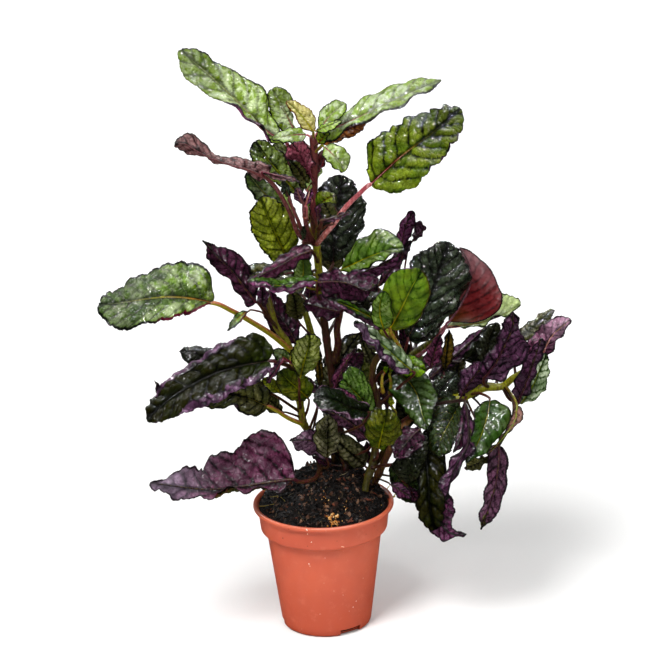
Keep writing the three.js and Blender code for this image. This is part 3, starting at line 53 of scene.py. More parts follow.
# leaves: kind of upper face, kind of underside, face towards the front, roll of the left and right margin (mm),
# CAD node it stands for, petiole line, then midrib, left margin and right margin from base to tip
LEAVES = {
    'leaf_01': dict(face='U', cls='silverolive', und='purple', petc='pink', slot='leaf_silver_green', node='leaf_01', bow=1.5, rnd=0.568, opt={'roll': (0.0, 1.6), 'span': ((0, 1), (0.0, 0.55)), 'amp': 0.45, 'lobe': 0.5},
        pet=[[0.3, 0.9, 299.6], [-8.1, 1.1, 306.3], [-13.3, 0.1, 315.7], [-17.4, 0.9, 322.7]],
        M=[[-17.4, 0.9, 322.7], [-24.9, 0.6, 326.9], [-31.4, 0.4, 332.5], [-37.0, 0.4, 339.1], [-42.7, 0.6, 345.6], [-48.5, 0.9, 351.9], [-54.3, 1.3, 358.0], [-60.3, 2.0, 364.0], [-66.4, 2.8, 369.7], [-72.7, 3.7, 375.3], [-78.1, 4.9, 381.6]],
        L=[[-17.4, 0.9, 322.7], [-21.3, 5.5, 330.3], [-25.7, 7.7, 338.4], [-26.3, 9.2, 348.1], [-30.5, 10.2, 355.5], [-38.8, 10.9, 360.5], [-47.0, 11.0, 365.3], [-55.3, 10.8, 370.0], [-63.3, 10.0, 375.1], [-71.5, 8.7, 380.1], [-78.1, 4.9, 381.6]],
        R=[[-17.4, 0.9, 322.7], [-26.5, -3.9, 323.9], [-32.7, -6.1, 331.6], [-39.1, -7.5, 338.9], [-46.1, -8.2, 345.2], [-53.6, -8.1, 350.6], [-61.6, -7.4, 355.1], [-69.1, -5.9, 360.0], [-75.4, -3.8, 366.4], [-79.6, -0.7, 374.0], [-78.1, 4.9, 381.6]]),
    'leaf_02': dict(face='U', cls='silverolive', und='purple', petc='pink', slot='leaf_silver_green', node=None, bow=1.5, rnd=0.429, opt={'amp': 0.5},
        pet=[[0.8, -0.0, 316.1], [-5.2, 6.0, 319.5], [-9.4, 7.8, 323.6]],
        M=[[-9.4, 7.8, 323.6], [-10.8, 8.6, 326.4], [-12.1, 9.4, 329.3], [-13.5, 10.3, 332.2], [-14.9, 11.1, 335.0], [-16.3, 11.9, 337.8], [-17.8, 12.7, 340.6], [-19.2, 13.5, 343.4], [-20.8, 14.3, 346.2], [-22.3, 15.1, 349.0], [-23.9, 15.9, 351.7]],
        L=[[-9.4, 7.8, 323.6], [-10.1, 10.6, 326.8], [-10.8, 12.3, 330.3], [-11.4, 13.8, 333.9], [-11.9, 14.9, 337.5], [-11.7, 15.9, 341.4], [-11.7, 16.5, 345.2], [-13.5, 17.0, 348.6], [-16.5, 17.2, 351.3], [-20.1, 17.1, 352.6], [-23.9, 15.9, 351.7]],
        R=[[-9.4, 7.8, 323.6], [-13.2, 7.7, 324.8], [-16.9, 8.0, 326.1], [-19.9, 8.5, 328.4], [-22.4, 9.1, 331.5], [-24.4, 9.9, 334.9], [-25.6, 10.8, 338.4], [-26.4, 11.7, 342.2], [-27.1, 12.9, 346.0], [-26.8, 14.1, 349.5], [-23.9, 15.9, 351.7]]),
    'leaf_03': dict(face='U', cls='young', und='purple', petc='yellow', slot='leaf_dark_green', node=None, bow=1.5, rnd=0.509,
        pet=[[0.6, -0.0, 322.8], [0.5, 8.0, 325.8]],
        M=[[0.5, 8.0, 325.8], [-0.8, 8.4, 327.9], [-2.1, 8.8, 330.1], [-3.4, 9.2, 332.2], [-4.9, 9.6, 334.2], [-6.5, 10.0, 336.1], [-8.2, 10.4, 338.0], [-9.9, 10.8, 339.8], [-11.7, 11.2, 341.6], [-13.6, 11.6, 343.3], [-15.5, 12.0, 344.9]],
        L=[[0.5, 8.0, 325.8], [2.0, 9.9, 328.1], [2.4, 11.0, 331.1], [1.9, 11.9, 334.1], [0.8, 12.5, 336.8], [-1.2, 13.0, 339.1], [-3.8, 13.3, 341.1], [-6.6, 13.4, 342.8], [-9.4, 13.4, 344.3], [-12.4, 13.1, 345.2], [-15.5, 12.0, 344.9]],
        R=[[0.5, 8.0, 325.8], [-2.1, 7.4, 326.7], [-4.7, 7.4, 327.5], [-6.6, 7.5, 329.2], [-8.0, 7.7, 331.6], [-9.1, 8.0, 334.1], [-10.5, 8.5, 336.4], [-11.9, 9.0, 338.6], [-13.8, 9.8, 340.6], [-15.3, 10.6, 342.6], [-15.5, 12.0, 344.9]]),
    'leaf_04': dict(face='U', cls='silver', und='purple', petc='pink', slot='leaf_silver_green', node=None, bow=1.5, rnd=0.48, opt={'amp': 0.5},
        pet=[[0.6, -0.0, 322.8], [-3.8, -1.4, 326.7]],
        M=[[-3.8, -1.4, 326.7], [-6.0, -2.5, 327.1], [-8.1, -3.6, 327.5], [-10.3, -4.5, 327.8], [-12.4, -5.4, 327.9], [-14.5, -6.2, 327.8], [-16.7, -6.9, 327.6], [-18.8, -7.5, 327.5], [-20.9, -8.1, 327.4], [-23.1, -8.6, 327.2], [-25.2, -8.9, 327.0]],
        L=[[-3.8, -1.4, 326.7], [-5.3, -0.5, 328.7], [-6.9, -0.6, 330.7], [-9.1, -0.9, 331.6], [-11.8, -1.4, 331.7], [-14.3, -2.1, 331.5], [-16.8, -2.9, 330.9], [-19.1, -3.9, 330.1], [-21.3, -5.1, 329.2], [-23.4, -6.5, 328.1], [-25.2, -8.9, 327.0]],
        R=[[-3.8, -1.4, 326.7], [-5.0, -4.6, 325.3], [-6.3, -6.5, 323.9], [-8.4, -8.1, 323.6], [-11.0, -9.4, 324.0], [-13.5, -10.3, 324.5], [-15.9, -10.9, 324.8], [-18.3, -11.1, 325.3], [-20.7, -11.1, 325.8], [-23.0, -10.6, 326.4], [-25.2, -8.9, 327.0]]),
    'leaf_05': dict(face='D', cls='dark', und='brown', petc='brown', slot='underside_brown', node='leaf_05', bow=-1, rnd=0.492, opt={'crumple': 0.9, 'pet_r': 1.45},
        pet=[[0.5, 3.1, 255.0], [-9.4, -8.0, 264.0], [-15.1, -14.0, 281.0], [-20.7, -20.0, 295.2], [-25.9, -25.0, 304.5], [-31.1, -30.0, 310.0]],
        M=[[-31.1, -30.0, 310.0], [-36.1, -32.2, 313.6], [-41.3, -34.2, 316.5], [-46.7, -36.2, 318.7], [-52.1, -38.2, 321.1], [-57.4, -40.0, 323.5], [-62.6, -41.8, 326.5], [-67.4, -43.4, 329.8], [-72.2, -45.0, 333.4], [-77.0, -46.6, 336.9], [-82.5, -48.0, 337.0]],
        L=[[-31.1, -30.0, 310.0], [-33.4, -28.2, 307.2], [-39.5, -28.4, 312.3], [-45.3, -29.2, 314.6], [-51.1, -30.4, 316.7], [-56.7, -32.0, 319.5], [-62.2, -34.0, 322.4], [-67.9, -36.4, 325.1], [-73.7, -39.2, 327.0], [-78.8, -42.6, 330.9], [-82.5, -48.0, 337.0]],
        R=[[-31.1, -30.0, 310.0], [-25.0, -28.2, 314.7], [-30.1, -28.4, 318.1], [-38.7, -29.2, 320.6], [-46.1, -30.4, 322.7], [-53.6, -32.0, 324.6], [-60.6, -34.0, 327.7], [-65.5, -36.4, 334.3], [-70.6, -39.2, 340.7], [-77.6, -42.6, 341.0], [-82.5, -48.0, 337.0]]),
    'leaf_06': dict(face='U', cls='wetbright', und='purple', petc='maroon', slot='leaf_dark_green', node='leaf_06', bow=1.5, rnd=0.52,
        pet=[[0.5, 3.1, 255.0], [-1.7, -0.8, 273.1], [-8.7, -3.5, 287.8]],
        M=[[-8.7, -3.5, 287.8], [-11.6, -4.0, 291.4], [-14.4, -4.4, 295.1], [-17.2, -4.9, 298.9], [-19.9, -5.4, 302.6], [-22.6, -5.9, 306.4], [-25.3, -6.4, 310.2], [-28.0, -6.9, 313.9], [-30.5, -7.4, 317.8], [-32.8, -7.9, 321.8], [-35.0, -8.4, 325.9]],
        L=[[-8.7, -3.5, 287.8], [-6.3, -1.6, 292.5], [-4.6, -1.0, 297.6], [-6.0, -0.8, 302.4], [-9.4, -0.8, 306.9], [-13.1, -1.2, 311.0], [-17.0, -1.8, 314.8], [-21.0, -2.7, 318.6], [-25.3, -4.0, 322.1], [-29.9, -5.5, 325.4], [-35.0, -8.4, 325.9]],
        R=[[-8.7, -3.5, 287.8], [-13.4, -5.8, 290.7], [-17.9, -7.2, 293.6], [-22.2, -8.2, 296.9], [-26.3, -9.0, 300.3], [-30.6, -9.6, 303.5], [-34.4, -10.0, 307.1], [-37.1, -10.2, 311.7], [-38.5, -10.1, 316.8], [-38.0, -9.7, 321.9], [-35.0, -8.4, 325.9]]),
    'leaf_07': dict(face='D', cls='dark', und='magenta', petc='crimson', slot='leaf_dark_green', node=None, bow=1.5, rnd=0.447,
        pet=[[-0.8, 1.6, 274.7], [0.5, -1.0, 284.8], [-0.4, -1.5, 297.2]],
        M=[[-0.4, -1.5, 297.2], [-1.4, -3.0, 300.3], [-2.3, -4.5, 303.4], [-3.3, -6.0, 306.4], [-4.4, -7.3, 309.3], [-5.4, -8.6, 312.3], [-6.5, -9.8, 315.2], [-7.7, -10.9, 318.0], [-9.1, -11.9, 320.6], [-10.7, -12.8, 323.1], [-12.4, -13.7, 325.5]],
        L=[[-0.4, -1.5, 297.2], [-4.0, -1.7, 296.7], [-7.4, -2.6, 297.2], [-9.8, -3.6, 299.7], [-11.8, -4.7, 303.4], [-13.7, -5.9, 307.0], [-15.7, -7.2, 310.5], [-16.6, -8.5, 314.3], [-16.4, -9.9, 318.4], [-14.8, -11.5, 322.0], [-12.4, -13.7, 325.5]],
        R=[[-0.4, -1.5, 297.2], [0.1, -0.4, 300.4], [0.4, -0.7, 304.0], [0.4, -1.3, 307.7], [-0.0, -2.2, 311.4], [-0.7, -3.3, 315.2], [-1.7, -4.6, 319.1], [-3.1, -6.2, 322.8], [-5.8, -8.0, 324.8], [-9.2, -10.2, 325.4], [-12.4, -13.7, 325.5]]),
    'leaf_08': dict(face='U', cls='dark', und='purple', petc='maroon', slot='leaf_dark_green', node=None, bow=1.5, rnd=0.473,
        pet=[[-0.8, 1.7, 273.4], [-0.8, 0.1, 281.9], [-3.0, 1.1, 290.7]],
        M=[[-3.0, 1.1, 290.7], [-3.8, -1.0, 293.7], [-4.6, -3.1, 296.7], [-5.5, -5.1, 299.6], [-6.5, -7.0, 302.4], [-7.8, -8.8, 305.0], [-9.2, -10.5, 307.5], [-10.7, -12.2, 309.9], [-12.3, -13.7, 312.1], [-14.0, -15.2, 314.2], [-15.8, -16.6, 316.3]],
        L=[[-3.0, 1.1, 290.7], [-2.0, 0.3, 293.6], [-1.7, -1.2, 296.7], [-2.5, -2.8, 299.9], [-3.9, -4.4, 302.9], [-5.2, -6.2, 305.9], [-6.7, -8.0, 308.9], [-8.4, -9.9, 311.5], [-10.6, -11.8, 313.5], [-13.2, -13.9, 314.8], [-15.8, -16.6, 316.3]],
        R=[[-3.0, 1.1, 290.7], [-5.5, -2.3, 292.4], [-7.6, -5.0, 294.3], [-9.2, -7.4, 297.0], [-10.4, -9.5, 300.0], [-11.7, -11.4, 302.8], [-13.0, -13.0, 305.5], [-14.0, -14.5, 308.2], [-14.8, -15.6, 311.0], [-15.3, -16.5, 313.7], [-15.8, -16.6, 316.3]]),
    'leaf_09': dict(face='U', cls='silver', und='purple', petc='pink', slot='leaf_silver_green', node='leaf_09', bow=1.5, rnd=0.506, opt={'amp': 0.45, 'lobe': 0.5},
        pet=[[0.8, -0.0, 316.1], [2.8, 2.9, 321.4], [6.0, 5.3, 325.1]],
        M=[[6.0, 5.3, 325.1], [13.5, 5.3, 328.2], [21.0, 5.6, 331.2], [28.5, 6.0, 334.3], [35.9, 6.5, 337.5], [43.2, 7.3, 340.9], [50.6, 8.1, 343.9], [58.1, 9.2, 346.8], [65.5, 10.4, 349.6], [73.1, 11.7, 352.3], [80.6, 13.3, 354.9]],
        L=[[6.0, 5.3, 325.1], [9.9, 0.9, 321.4], [18.7, -1.0, 327.6], [26.7, -2.0, 331.5], [34.6, -2.2, 335.0], [42.4, -1.7, 338.7], [50.2, -0.6, 342.1], [58.0, 1.2, 345.3], [66.2, 3.8, 347.5], [73.9, 7.3, 350.7], [80.6, 13.3, 354.9]],
        R=[[6.0, 5.3, 325.1], [9.8, 11.8, 331.0], [16.9, 15.0, 335.1], [24.5, 17.4, 338.7], [32.0, 19.1, 342.6], [39.5, 20.3, 346.4], [47.4, 20.7, 349.4], [55.7, 20.6, 351.6], [64.0, 19.8, 353.8], [72.4, 18.2, 354.6], [80.6, 13.3, 354.9]]),
    'leaf_10': dict(face='D', cls='dark', und='rust', petc='crimson', slot='leaf_dark_green', node=None, bow=1.5, rnd=0.576,
        pet=[[0.8, 0.0, 314.7], [5.9, 9.7, 317.4]],
        M=[[5.9, 9.7, 317.4], [8.4, 10.5, 319.0], [11.0, 11.3, 320.6], [13.6, 12.1, 322.2], [16.4, 12.9, 323.5], [19.2, 13.7, 324.5], [22.1, 14.5, 325.4], [25.1, 15.3, 326.3], [28.1, 16.1, 327.0], [31.1, 16.9, 327.7], [34.1, 17.7, 328.4]],
        L=[[5.9, 9.7, 317.4], [7.4, 12.5, 319.7], [9.4, 14.2, 321.7], [12.1, 15.7, 323.4], [15.0, 16.8, 324.8], [18.0, 17.7, 325.9], [21.1, 18.4, 326.6], [24.3, 18.9, 327.3], [27.6, 19.0, 327.9], [30.8, 18.9, 328.2], [34.1, 17.7, 328.4]],
        R=[[5.9, 9.7, 317.4], [9.0, 8.6, 317.1], [12.1, 8.4, 317.5], [15.1, 8.6, 319.0], [18.1, 9.1, 320.4], [21.3, 9.7, 321.1], [24.4, 10.7, 321.7], [27.3, 11.8, 322.8], [30.0, 13.2, 324.4], [32.2, 15.0, 326.3], [34.1, 17.7, 328.4]]),
    'leaf_11': dict(face='U', cls='silver', und='purple', petc='pink', slot='leaf_silver_green', node=None, bow=1.5, rnd=0.551, opt={'amp': 0.5},
        pet=[[0.6, -0.0, 322.8], [4.8, -4.1, 329.8]],
        M=[[4.8, -4.1, 329.8], [6.1, -3.3, 331.5], [7.4, -2.5, 333.3], [8.7, -1.7, 335.1], [10.1, -0.9, 336.8], [11.6, -0.1, 338.3], [13.3, 0.7, 339.7], [15.1, 1.5, 341.0], [16.9, 2.3, 342.3], [18.8, 3.1, 343.5], [20.6, 3.9, 344.8]],
        L=[[4.8, -4.1, 329.8], [7.0, -4.8, 331.4], [9.2, -4.7, 332.7], [11.5, -4.4, 333.7], [13.8, -3.8, 334.7], [16.0, -3.1, 335.9], [18.1, -2.2, 337.3], [19.9, -1.2, 339.0], [21.2, 0.1, 340.9], [21.9, 1.6, 343.1], [20.6, 3.9, 344.8]],
        R=[[4.8, -4.1, 329.8], [4.0, -1.8, 332.1], [3.7, -0.3, 334.8], [4.0, 0.9, 337.7], [5.0, 2.0, 340.4], [6.9, 2.9, 342.4], [9.5, 3.6, 344.1], [12.2, 4.1, 345.5], [15.1, 4.5, 346.6], [17.9, 4.6, 346.1], [20.6, 3.9, 344.8]]),
    'leaf_12': dict(face='U', cls='pale', und='purple', petc='green', slot='leaf_silver_green', node=None, bow=1.5, rnd=0.449, opt={'amp': 0.5},
        pet=[[0.5, -0.0, 324.2], [2.4, -12.6, 332.3]],
        M=[[2.4, -12.6, 332.3], [4.0, -13.0, 333.0], [5.7, -13.4, 333.8], [7.3, -13.8, 334.6], [9.0, -14.2, 335.3], [10.6, -14.6, 336.1], [12.3, -15.0, 336.8], [13.9, -15.4, 337.6], [15.6, -15.8, 338.3], [17.3, -16.2, 339.1], [18.9, -16.6, 339.8]],
        L=[[2.4, -12.6, 332.3], [4.1, -14.5, 331.8], [5.9, -15.6, 331.6], [7.8, -16.4, 332.1], [9.7, -17.1, 332.9], [11.6, -17.6, 333.7], [13.3, -17.9, 334.7], [14.9, -18.0, 335.8], [16.4, -18.0, 337.1], [17.7, -17.7, 338.5], [18.9, -16.6, 339.8]],
        R=[[2.4, -12.6, 332.3], [3.5, -12.0, 333.6], [4.7, -11.9, 335.0], [6.3, -12.0, 336.0], [8.0, -12.3, 336.7], [9.9, -12.6, 337.3], [11.7, -13.1, 338.0], [13.4, -13.6, 338.6], [15.3, -14.3, 339.2], [17.1, -15.2, 339.5], [18.9, -16.6, 339.8]]),
    'leaf_13': dict(face='U', cls='olive', und='purple', petc='maroon', slot='leaf_olive', node=None, bow=1.5, rnd=0.579,
        pet=[[0.8, -0.0, 317.4], [3.4, -7.4, 322.5]],
        M=[[3.4, -7.4, 322.5], [4.2, -7.8, 323.5], [5.0, -8.1, 324.5], [5.8, -8.5, 325.5], [6.6, -8.8, 326.5], [7.3, -9.1, 327.6], [8.0, -9.5, 328.7], [8.6, -9.8, 329.9], [9.2, -10.1, 331.0], [9.7, -10.5, 332.2], [10.3, -10.8, 333.4]],
        L=[[3.4, -7.4, 322.5], [4.9, -8.8, 322.7], [6.3, -9.7, 322.9], [7.5, -10.4, 323.6], [8.4, -10.9, 324.9], [9.2, -11.3, 326.4], [9.8, -11.6, 327.9], [10.5, -11.7, 329.3], [10.8, -11.7, 330.7], [10.7, -11.5, 332.1], [10.3, -10.8, 333.4]],
        R=[[3.4, -7.4, 322.5], [2.8, -6.7, 323.8], [2.3, -6.5, 325.3], [2.3, -6.6, 326.7], [2.8, -6.7, 328.3], [3.6, -7.0, 329.9], [4.6, -7.4, 331.1], [5.8, -7.9, 332.0], [7.3, -8.6, 332.6], [8.8, -9.4, 333.1], [10.3, -10.8, 333.4]]),
    'leaf_14': dict(face='U', cls='silverolive', und='purple', petc='green', slot='leaf_bright_green', node=None, bow=1.5, rnd=0.551, opt={'amp': 0.5},
        pet=[[0.8, 0.0, 314.7], [7.0, -10.3, 321.3]],
        M=[[7.0, -10.3, 321.3], [8.4, -12.1, 320.4], [9.9, -13.7, 319.6], [11.3, -15.3, 318.6], [12.6, -16.9, 317.6], [13.9, -18.3, 316.4], [15.0, -19.7, 315.1], [16.1, -20.9, 313.8], [17.0, -22.1, 312.4], [17.8, -23.3, 310.8], [18.6, -24.3, 309.2]],
        L=[[7.0, -10.3, 321.3], [6.1, -14.0, 320.1], [5.6, -16.6, 318.7], [6.3, -18.9, 317.2], [7.7, -20.7, 315.8], [9.2, -22.3, 314.4], [10.9, -23.5, 313.2], [12.6, -24.5, 312.0], [14.4, -25.0, 310.6], [16.3, -25.2, 309.6], [18.6, -24.3, 309.2]],
        R=[[7.0, -10.3, 321.3], [9.8, -10.1, 322.3], [12.7, -10.8, 323.2], [15.5, -11.8, 322.9], [18.2, -13.0, 321.7], [20.4, -14.3, 320.0], [22.0, -15.8, 317.7], [22.6, -17.4, 315.3], [22.0, -19.2, 312.7], [20.6, -21.3, 310.6], [18.6, -24.3, 309.2]]),
    'leaf_15': dict(face='D', cls='dark', und='wine', petc='crimson', slot='underside_wine', node=None, bow=1.5, rnd=0.491,
        pet=[[0.2, 1.0, 296.8], [2.9, 2.6, 301.7]],
        M=[[2.9, 2.6, 301.7], [3.4, 2.9, 303.0], [4.0, 3.1, 304.2], [4.6, 3.4, 305.5], [5.2, 3.6, 306.9], [5.7, 3.9, 308.2], [6.2, 4.2, 309.5], [6.7, 4.4, 310.8], [7.2, 4.7, 312.2], [7.7, 5.0, 313.5], [8.2, 5.2, 314.8]],
        L=[[2.9, 2.6, 301.7], [2.4, 3.6, 303.1], [1.9, 4.2, 304.7], [1.7, 4.7, 306.3], [1.8, 5.1, 308.0], [2.1, 5.4, 309.8], [2.7, 5.6, 311.4], [3.6, 5.7, 313.0], [4.9, 5.8, 314.3], [6.4, 5.7, 314.8], [8.2, 5.2, 314.8]],
        R=[[2.9, 2.6, 301.7], [4.4, 4.1, 301.8], [5.7, 5.0, 302.5], [6.6, 5.6, 303.6], [7.3, 6.1, 305.0], [7.9, 6.4, 306.6], [8.6, 6.6, 308.1], [9.2, 6.7, 309.7], [9.4, 6.5, 311.4], [9.0, 6.2, 313.0], [8.2, 5.2, 314.8]]),
    'leaf_16': dict(face='U', cls='silver', und='purple', petc='pink', slot='leaf_silver_green', node=None, bow=1.5, rnd=0.568,
        pet=[[-0.6, 1.4, 280.3], [-4.9, -3.6, 292.2]],
        M=[[-4.9, -3.6, 292.2], [-3.9, -2.4, 293.3], [-3.0, -1.3, 294.4], [-2.0, -0.1, 295.5], [-1.1, 1.0, 296.7], [-0.2, 2.2, 297.8], [0.8, 3.3, 298.9], [1.7, 4.5, 300.0], [2.7, 5.6, 301.1], [3.8, 6.8, 302.2], [4.8, 7.9, 303.2]],
        L=[[-4.9, -3.6, 292.2], [-3.0, -0.9, 291.2], [-1.4, 0.9, 291.3], [-0.2, 2.5, 292.2], [0.8, 3.9, 293.7], [1.8, 5.2, 295.0], [2.7, 6.2, 296.4], [3.5, 7.1, 297.9], [4.1, 7.8, 299.5], [4.5, 8.3, 301.2], [4.8, 7.9, 303.2]],
        R=[[-4.9, -3.6, 292.2], [-5.8, -3.9, 294.1], [-6.0, -3.4, 295.8], [-5.2, -2.7, 297.5], [-4.1, -1.8, 299.0], [-2.9, -0.8, 300.4], [-1.8, 0.5, 301.7], [-0.4, 1.9, 302.7], [1.1, 3.5, 303.4], [2.9, 5.3, 303.5], [4.8, 7.9, 303.2]]),
    'leaf_17': dict(face='U', cls='olive', und='purple', petc='pink', slot='leaf_olive', node='leaf_17', bow=1.5, rnd=0.489, opt={'roll': (0.0, 0.8), 'span': ((0, 1), (0.35, 0.95)), 'pet_r': 1.6, 'amp': 0.9, 'veins': 7.5, 'lobe': 1.6},
        pet=[[0.5, 3.1, 255.0], [2.8, -2.0, 259.1], [12.4, -6.9, 272.0], [18.8, -9.8, 281.8], [26.9, -12.7, 290.8], [35.0, -15.7, 298.5]],
        M=[[35.0, -15.7, 298.5], [40.3, -17.3, 303.9], [45.6, -18.8, 309.3], [51.0, -20.0, 314.6], [56.6, -20.9, 319.4], [62.4, -21.7, 323.9], [68.3, -22.1, 328.1], [74.0, -22.4, 332.5], [79.5, -22.4, 337.1], [84.9, -22.1, 341.8], [90.2, -21.7, 346.5]],
        L=[[35.0, -15.7, 298.5], [42.5, -21.3, 295.6], [50.9, -24.6, 294.7], [59.0, -27.0, 298.2], [65.7, -28.7, 304.5], [71.8, -29.7, 311.1], [78.0, -29.9, 317.4], [83.9, -29.4, 323.8], [88.6, -28.2, 330.8], [91.0, -26.1, 338.9], [90.2, -21.7, 346.5]],
        R=[[35.0, -15.7, 298.5], [34.3, -13.4, 306.9], [32.7, -13.0, 315.8], [35.0, -12.9, 324.2], [42.2, -13.2, 329.2], [50.0, -13.7, 333.4], [57.3, -14.4, 338.6], [65.1, -15.3, 342.2], [73.6, -16.6, 344.4], [81.8, -18.2, 347.0], [90.2, -21.7, 346.5]]),
    'leaf_18': dict(face='U', cls='wet', und='purple', petc='maroon', slot='leaf_dark_green', node='leaf_18', bow=1.5, rnd=0.523, opt={'amp': 1.2},
        pet=[[1.6, 4.9, 235.0], [7.3, 20.0, 230.6], [10.7, 30.0, 233.7]],
        M=[[10.7, 30.0, 233.7], [11.1, 31.4, 239.1], [11.5, 32.6, 244.5], [12.1, 33.8, 249.9], [12.9, 35.0, 255.3], [13.8, 36.0, 260.7], [14.6, 37.0, 266.1], [15.5, 37.8, 271.5], [16.4, 38.6, 277.0], [17.2, 39.4, 282.5], [18.0, 40.0, 288.0]],
        L=[[10.7, 30.0, 233.7], [17.1, 35.3, 234.8], [22.4, 38.5, 238.5], [26.7, 40.9, 243.7], [29.5, 42.7, 249.7], [31.4, 44.0, 256.3], [32.8, 44.7, 263.4], [31.5, 44.9, 270.3], [28.1, 44.5, 276.8], [23.7, 43.3, 282.8], [18.0, 40.0, 288.0]],
        R=[[10.7, 30.0, 233.7], [4.6, 33.3, 236.6], [0.3, 35.5, 241.0], [-0.7, 37.4, 247.6], [-0.6, 38.8, 254.9], [-0.8, 40.0, 261.9], [-0.2, 40.8, 268.9], [1.9, 41.4, 275.7], [5.7, 41.5, 281.7], [11.1, 41.3, 286.2], [18.0, 40.0, 288.0]]),
    'leaf_19': dict(face='U', cls='olive', und='purple', petc='maroon', slot='leaf_olive', node=None, bow=1.5, rnd=0.472,
        pet=[[-0.5, 2.1, 266.4], [2.2, 0.7, 280.3]],
        M=[[2.2, 0.7, 280.3], [3.6, -0.7, 281.8], [5.1, -1.9, 283.3], [6.5, -2.9, 284.7], [8.0, -3.7, 285.9], [9.8, -4.5, 287.3], [11.4, -5.0, 288.2], [12.6, -5.4, 288.1], [13.2, -5.6, 286.7], [13.5, -5.7, 284.6], [13.9, -5.6, 282.6]],
        L=[[2.2, 0.7, 280.3], [3.3, -1.5, 280.3], [4.4, -3.1, 280.2], [5.6, -4.3, 280.5], [6.8, -5.3, 281.1], [8.1, -6.1, 281.8], [9.2, -6.6, 282.5], [10.4, -6.8, 283.3], [11.5, -6.8, 283.7], [12.7, -6.5, 283.3], [13.9, -5.6, 282.6]],
        R=[[2.2, 0.7, 280.3], [0.7, 0.6, 283.0], [-0.1, 0.1, 285.7], [0.9, -0.6, 288.7], [3.0, -1.2, 290.5], [6.0, -1.8, 291.0], [8.8, -2.4, 290.7], [11.3, -3.1, 289.5], [13.2, -3.7, 287.6], [13.9, -4.4, 285.2], [13.9, -5.6, 282.6]]),
    'leaf_20': dict(face='U', cls='dark', und='wine', petc='maroon', slot='leaf_dark_green', node=None, bow=1.5, rnd=0.542,
        pet=[[-0.0, 2.6, 260.7], [6.8, -6.5, 269.5], [11.7, -12.4, 273.8]],
        M=[[11.7, -12.4, 273.8], [11.2, -13.9, 275.6], [10.6, -15.3, 277.3], [10.0, -16.5, 279.0], [9.4, -17.5, 280.6], [8.8, -18.4, 282.1], [8.1, -19.1, 283.6], [7.5, -19.7, 285.0], [6.7, -20.1, 286.3], [6.0, -20.3, 287.5], [5.3, -20.4, 288.7]],
        L=[[11.7, -12.4, 273.8], [12.6, -12.4, 275.6], [13.5, -13.1, 277.5], [13.8, -13.8, 279.6], [13.7, -14.6, 281.9], [13.1, -15.4, 284.1], [12.1, -16.2, 285.9], [10.7, -17.0, 287.5], [9.0, -17.9, 288.5], [7.2, -18.8, 288.7], [5.3, -20.4, 288.7]],
        R=[[11.7, -12.4, 273.8], [10.2, -14.9, 275.3], [8.7, -16.7, 276.6], [7.3, -18.2, 278.0], [6.0, -19.4, 279.5], [4.9, -20.4, 281.1], [4.1, -21.0, 282.8], [3.4, -21.4, 284.7], [3.3, -21.5, 286.4], [4.1, -21.3, 287.7], [5.3, -20.4, 288.7]]),
    'leaf_21a': dict(face='D', cls='dark', und='purple', petc='maroon', slot='underside_purple', node=None, bow=1.5, rnd=0.509,
        pet=[[52.2, 1.9, 171.5], [49.7, 13.5, 189.3], [49.8, 18.8, 217.6], [54.1, 20.3, 238.3]],
        M=[[54.1, 20.3, 238.3], [54.1, 19.9, 241.7], [54.0, 19.4, 245.1], [54.1, 19.0, 248.6], [54.5, 18.6, 251.9], [55.2, 18.2, 255.2], [56.1, 17.8, 258.5], [57.2, 17.3, 261.6], [58.7, 16.9, 264.6], [60.4, 16.5, 267.5], [62.0, 16.1, 270.3]],
        L=[[54.1, 20.3, 238.3], [52.2, 22.4, 240.8], [50.8, 23.2, 243.9], [50.6, 23.5, 247.4], [51.1, 23.5, 251.3], [51.9, 23.3, 255.1], [52.7, 22.7, 259.0], [53.9, 21.8, 262.8], [55.9, 20.6, 266.2], [58.6, 19.0, 268.9], [62.0, 16.1, 270.3]],
        R=[[54.1, 20.3, 238.3], [57.4, 22.3, 238.7], [59.4, 23.0, 240.6], [59.8, 23.3, 244.0], [60.1, 23.4, 247.7], [60.8, 23.1, 251.2], [61.6, 22.5, 254.7], [62.2, 21.6, 258.3], [62.6, 20.5, 262.1], [62.6, 18.9, 266.0], [62.0, 16.1, 270.3]]),
    'leaf_21b': dict(face='D', cls='dark', und='mauve', petc='maroon', slot='underside_mauve', node=None, bow=1.5, rnd=0.526,
        pet=[[58.7, 1.0, 180.9], [56.9, 13.6, 197.8], [55.0, 22.3, 216.2], [56.0, 23.7, 231.7], [58.8, 26.1, 244.8]],
        M=[[58.8, 26.1, 244.8], [60.1, 25.6, 246.4], [61.4, 25.1, 248.0], [62.7, 24.7, 249.6], [64.0, 24.4, 251.2], [65.5, 24.1, 252.7], [67.1, 24.0, 254.1], [68.2, 23.9, 255.7], [68.3, 23.9, 257.4], [67.5, 24.0, 259.2], [66.6, 24.1, 261.1]],
        L=[[58.8, 26.1, 244.8], [59.5, 27.1, 246.3], [60.1, 27.3, 248.0], [60.7, 27.3, 249.8], [61.3, 27.3, 251.7], [61.7, 27.1, 253.6], [62.2, 26.9, 255.5], [62.6, 26.5, 257.7], [63.2, 26.1, 259.6], [64.7, 25.5, 260.5], [66.6, 24.1, 261.1]],
        R=[[58.8, 26.1, 244.8], [60.7, 27.1, 245.5], [62.5, 27.3, 246.4], [64.4, 27.3, 247.5], [66.2, 27.3, 248.6], [67.7, 27.1, 250.1], [68.7, 26.9, 252.1], [69.2, 26.5, 254.4], [68.9, 26.1, 256.6], [67.8, 25.5, 258.7], [66.6, 24.1, 261.1]]),
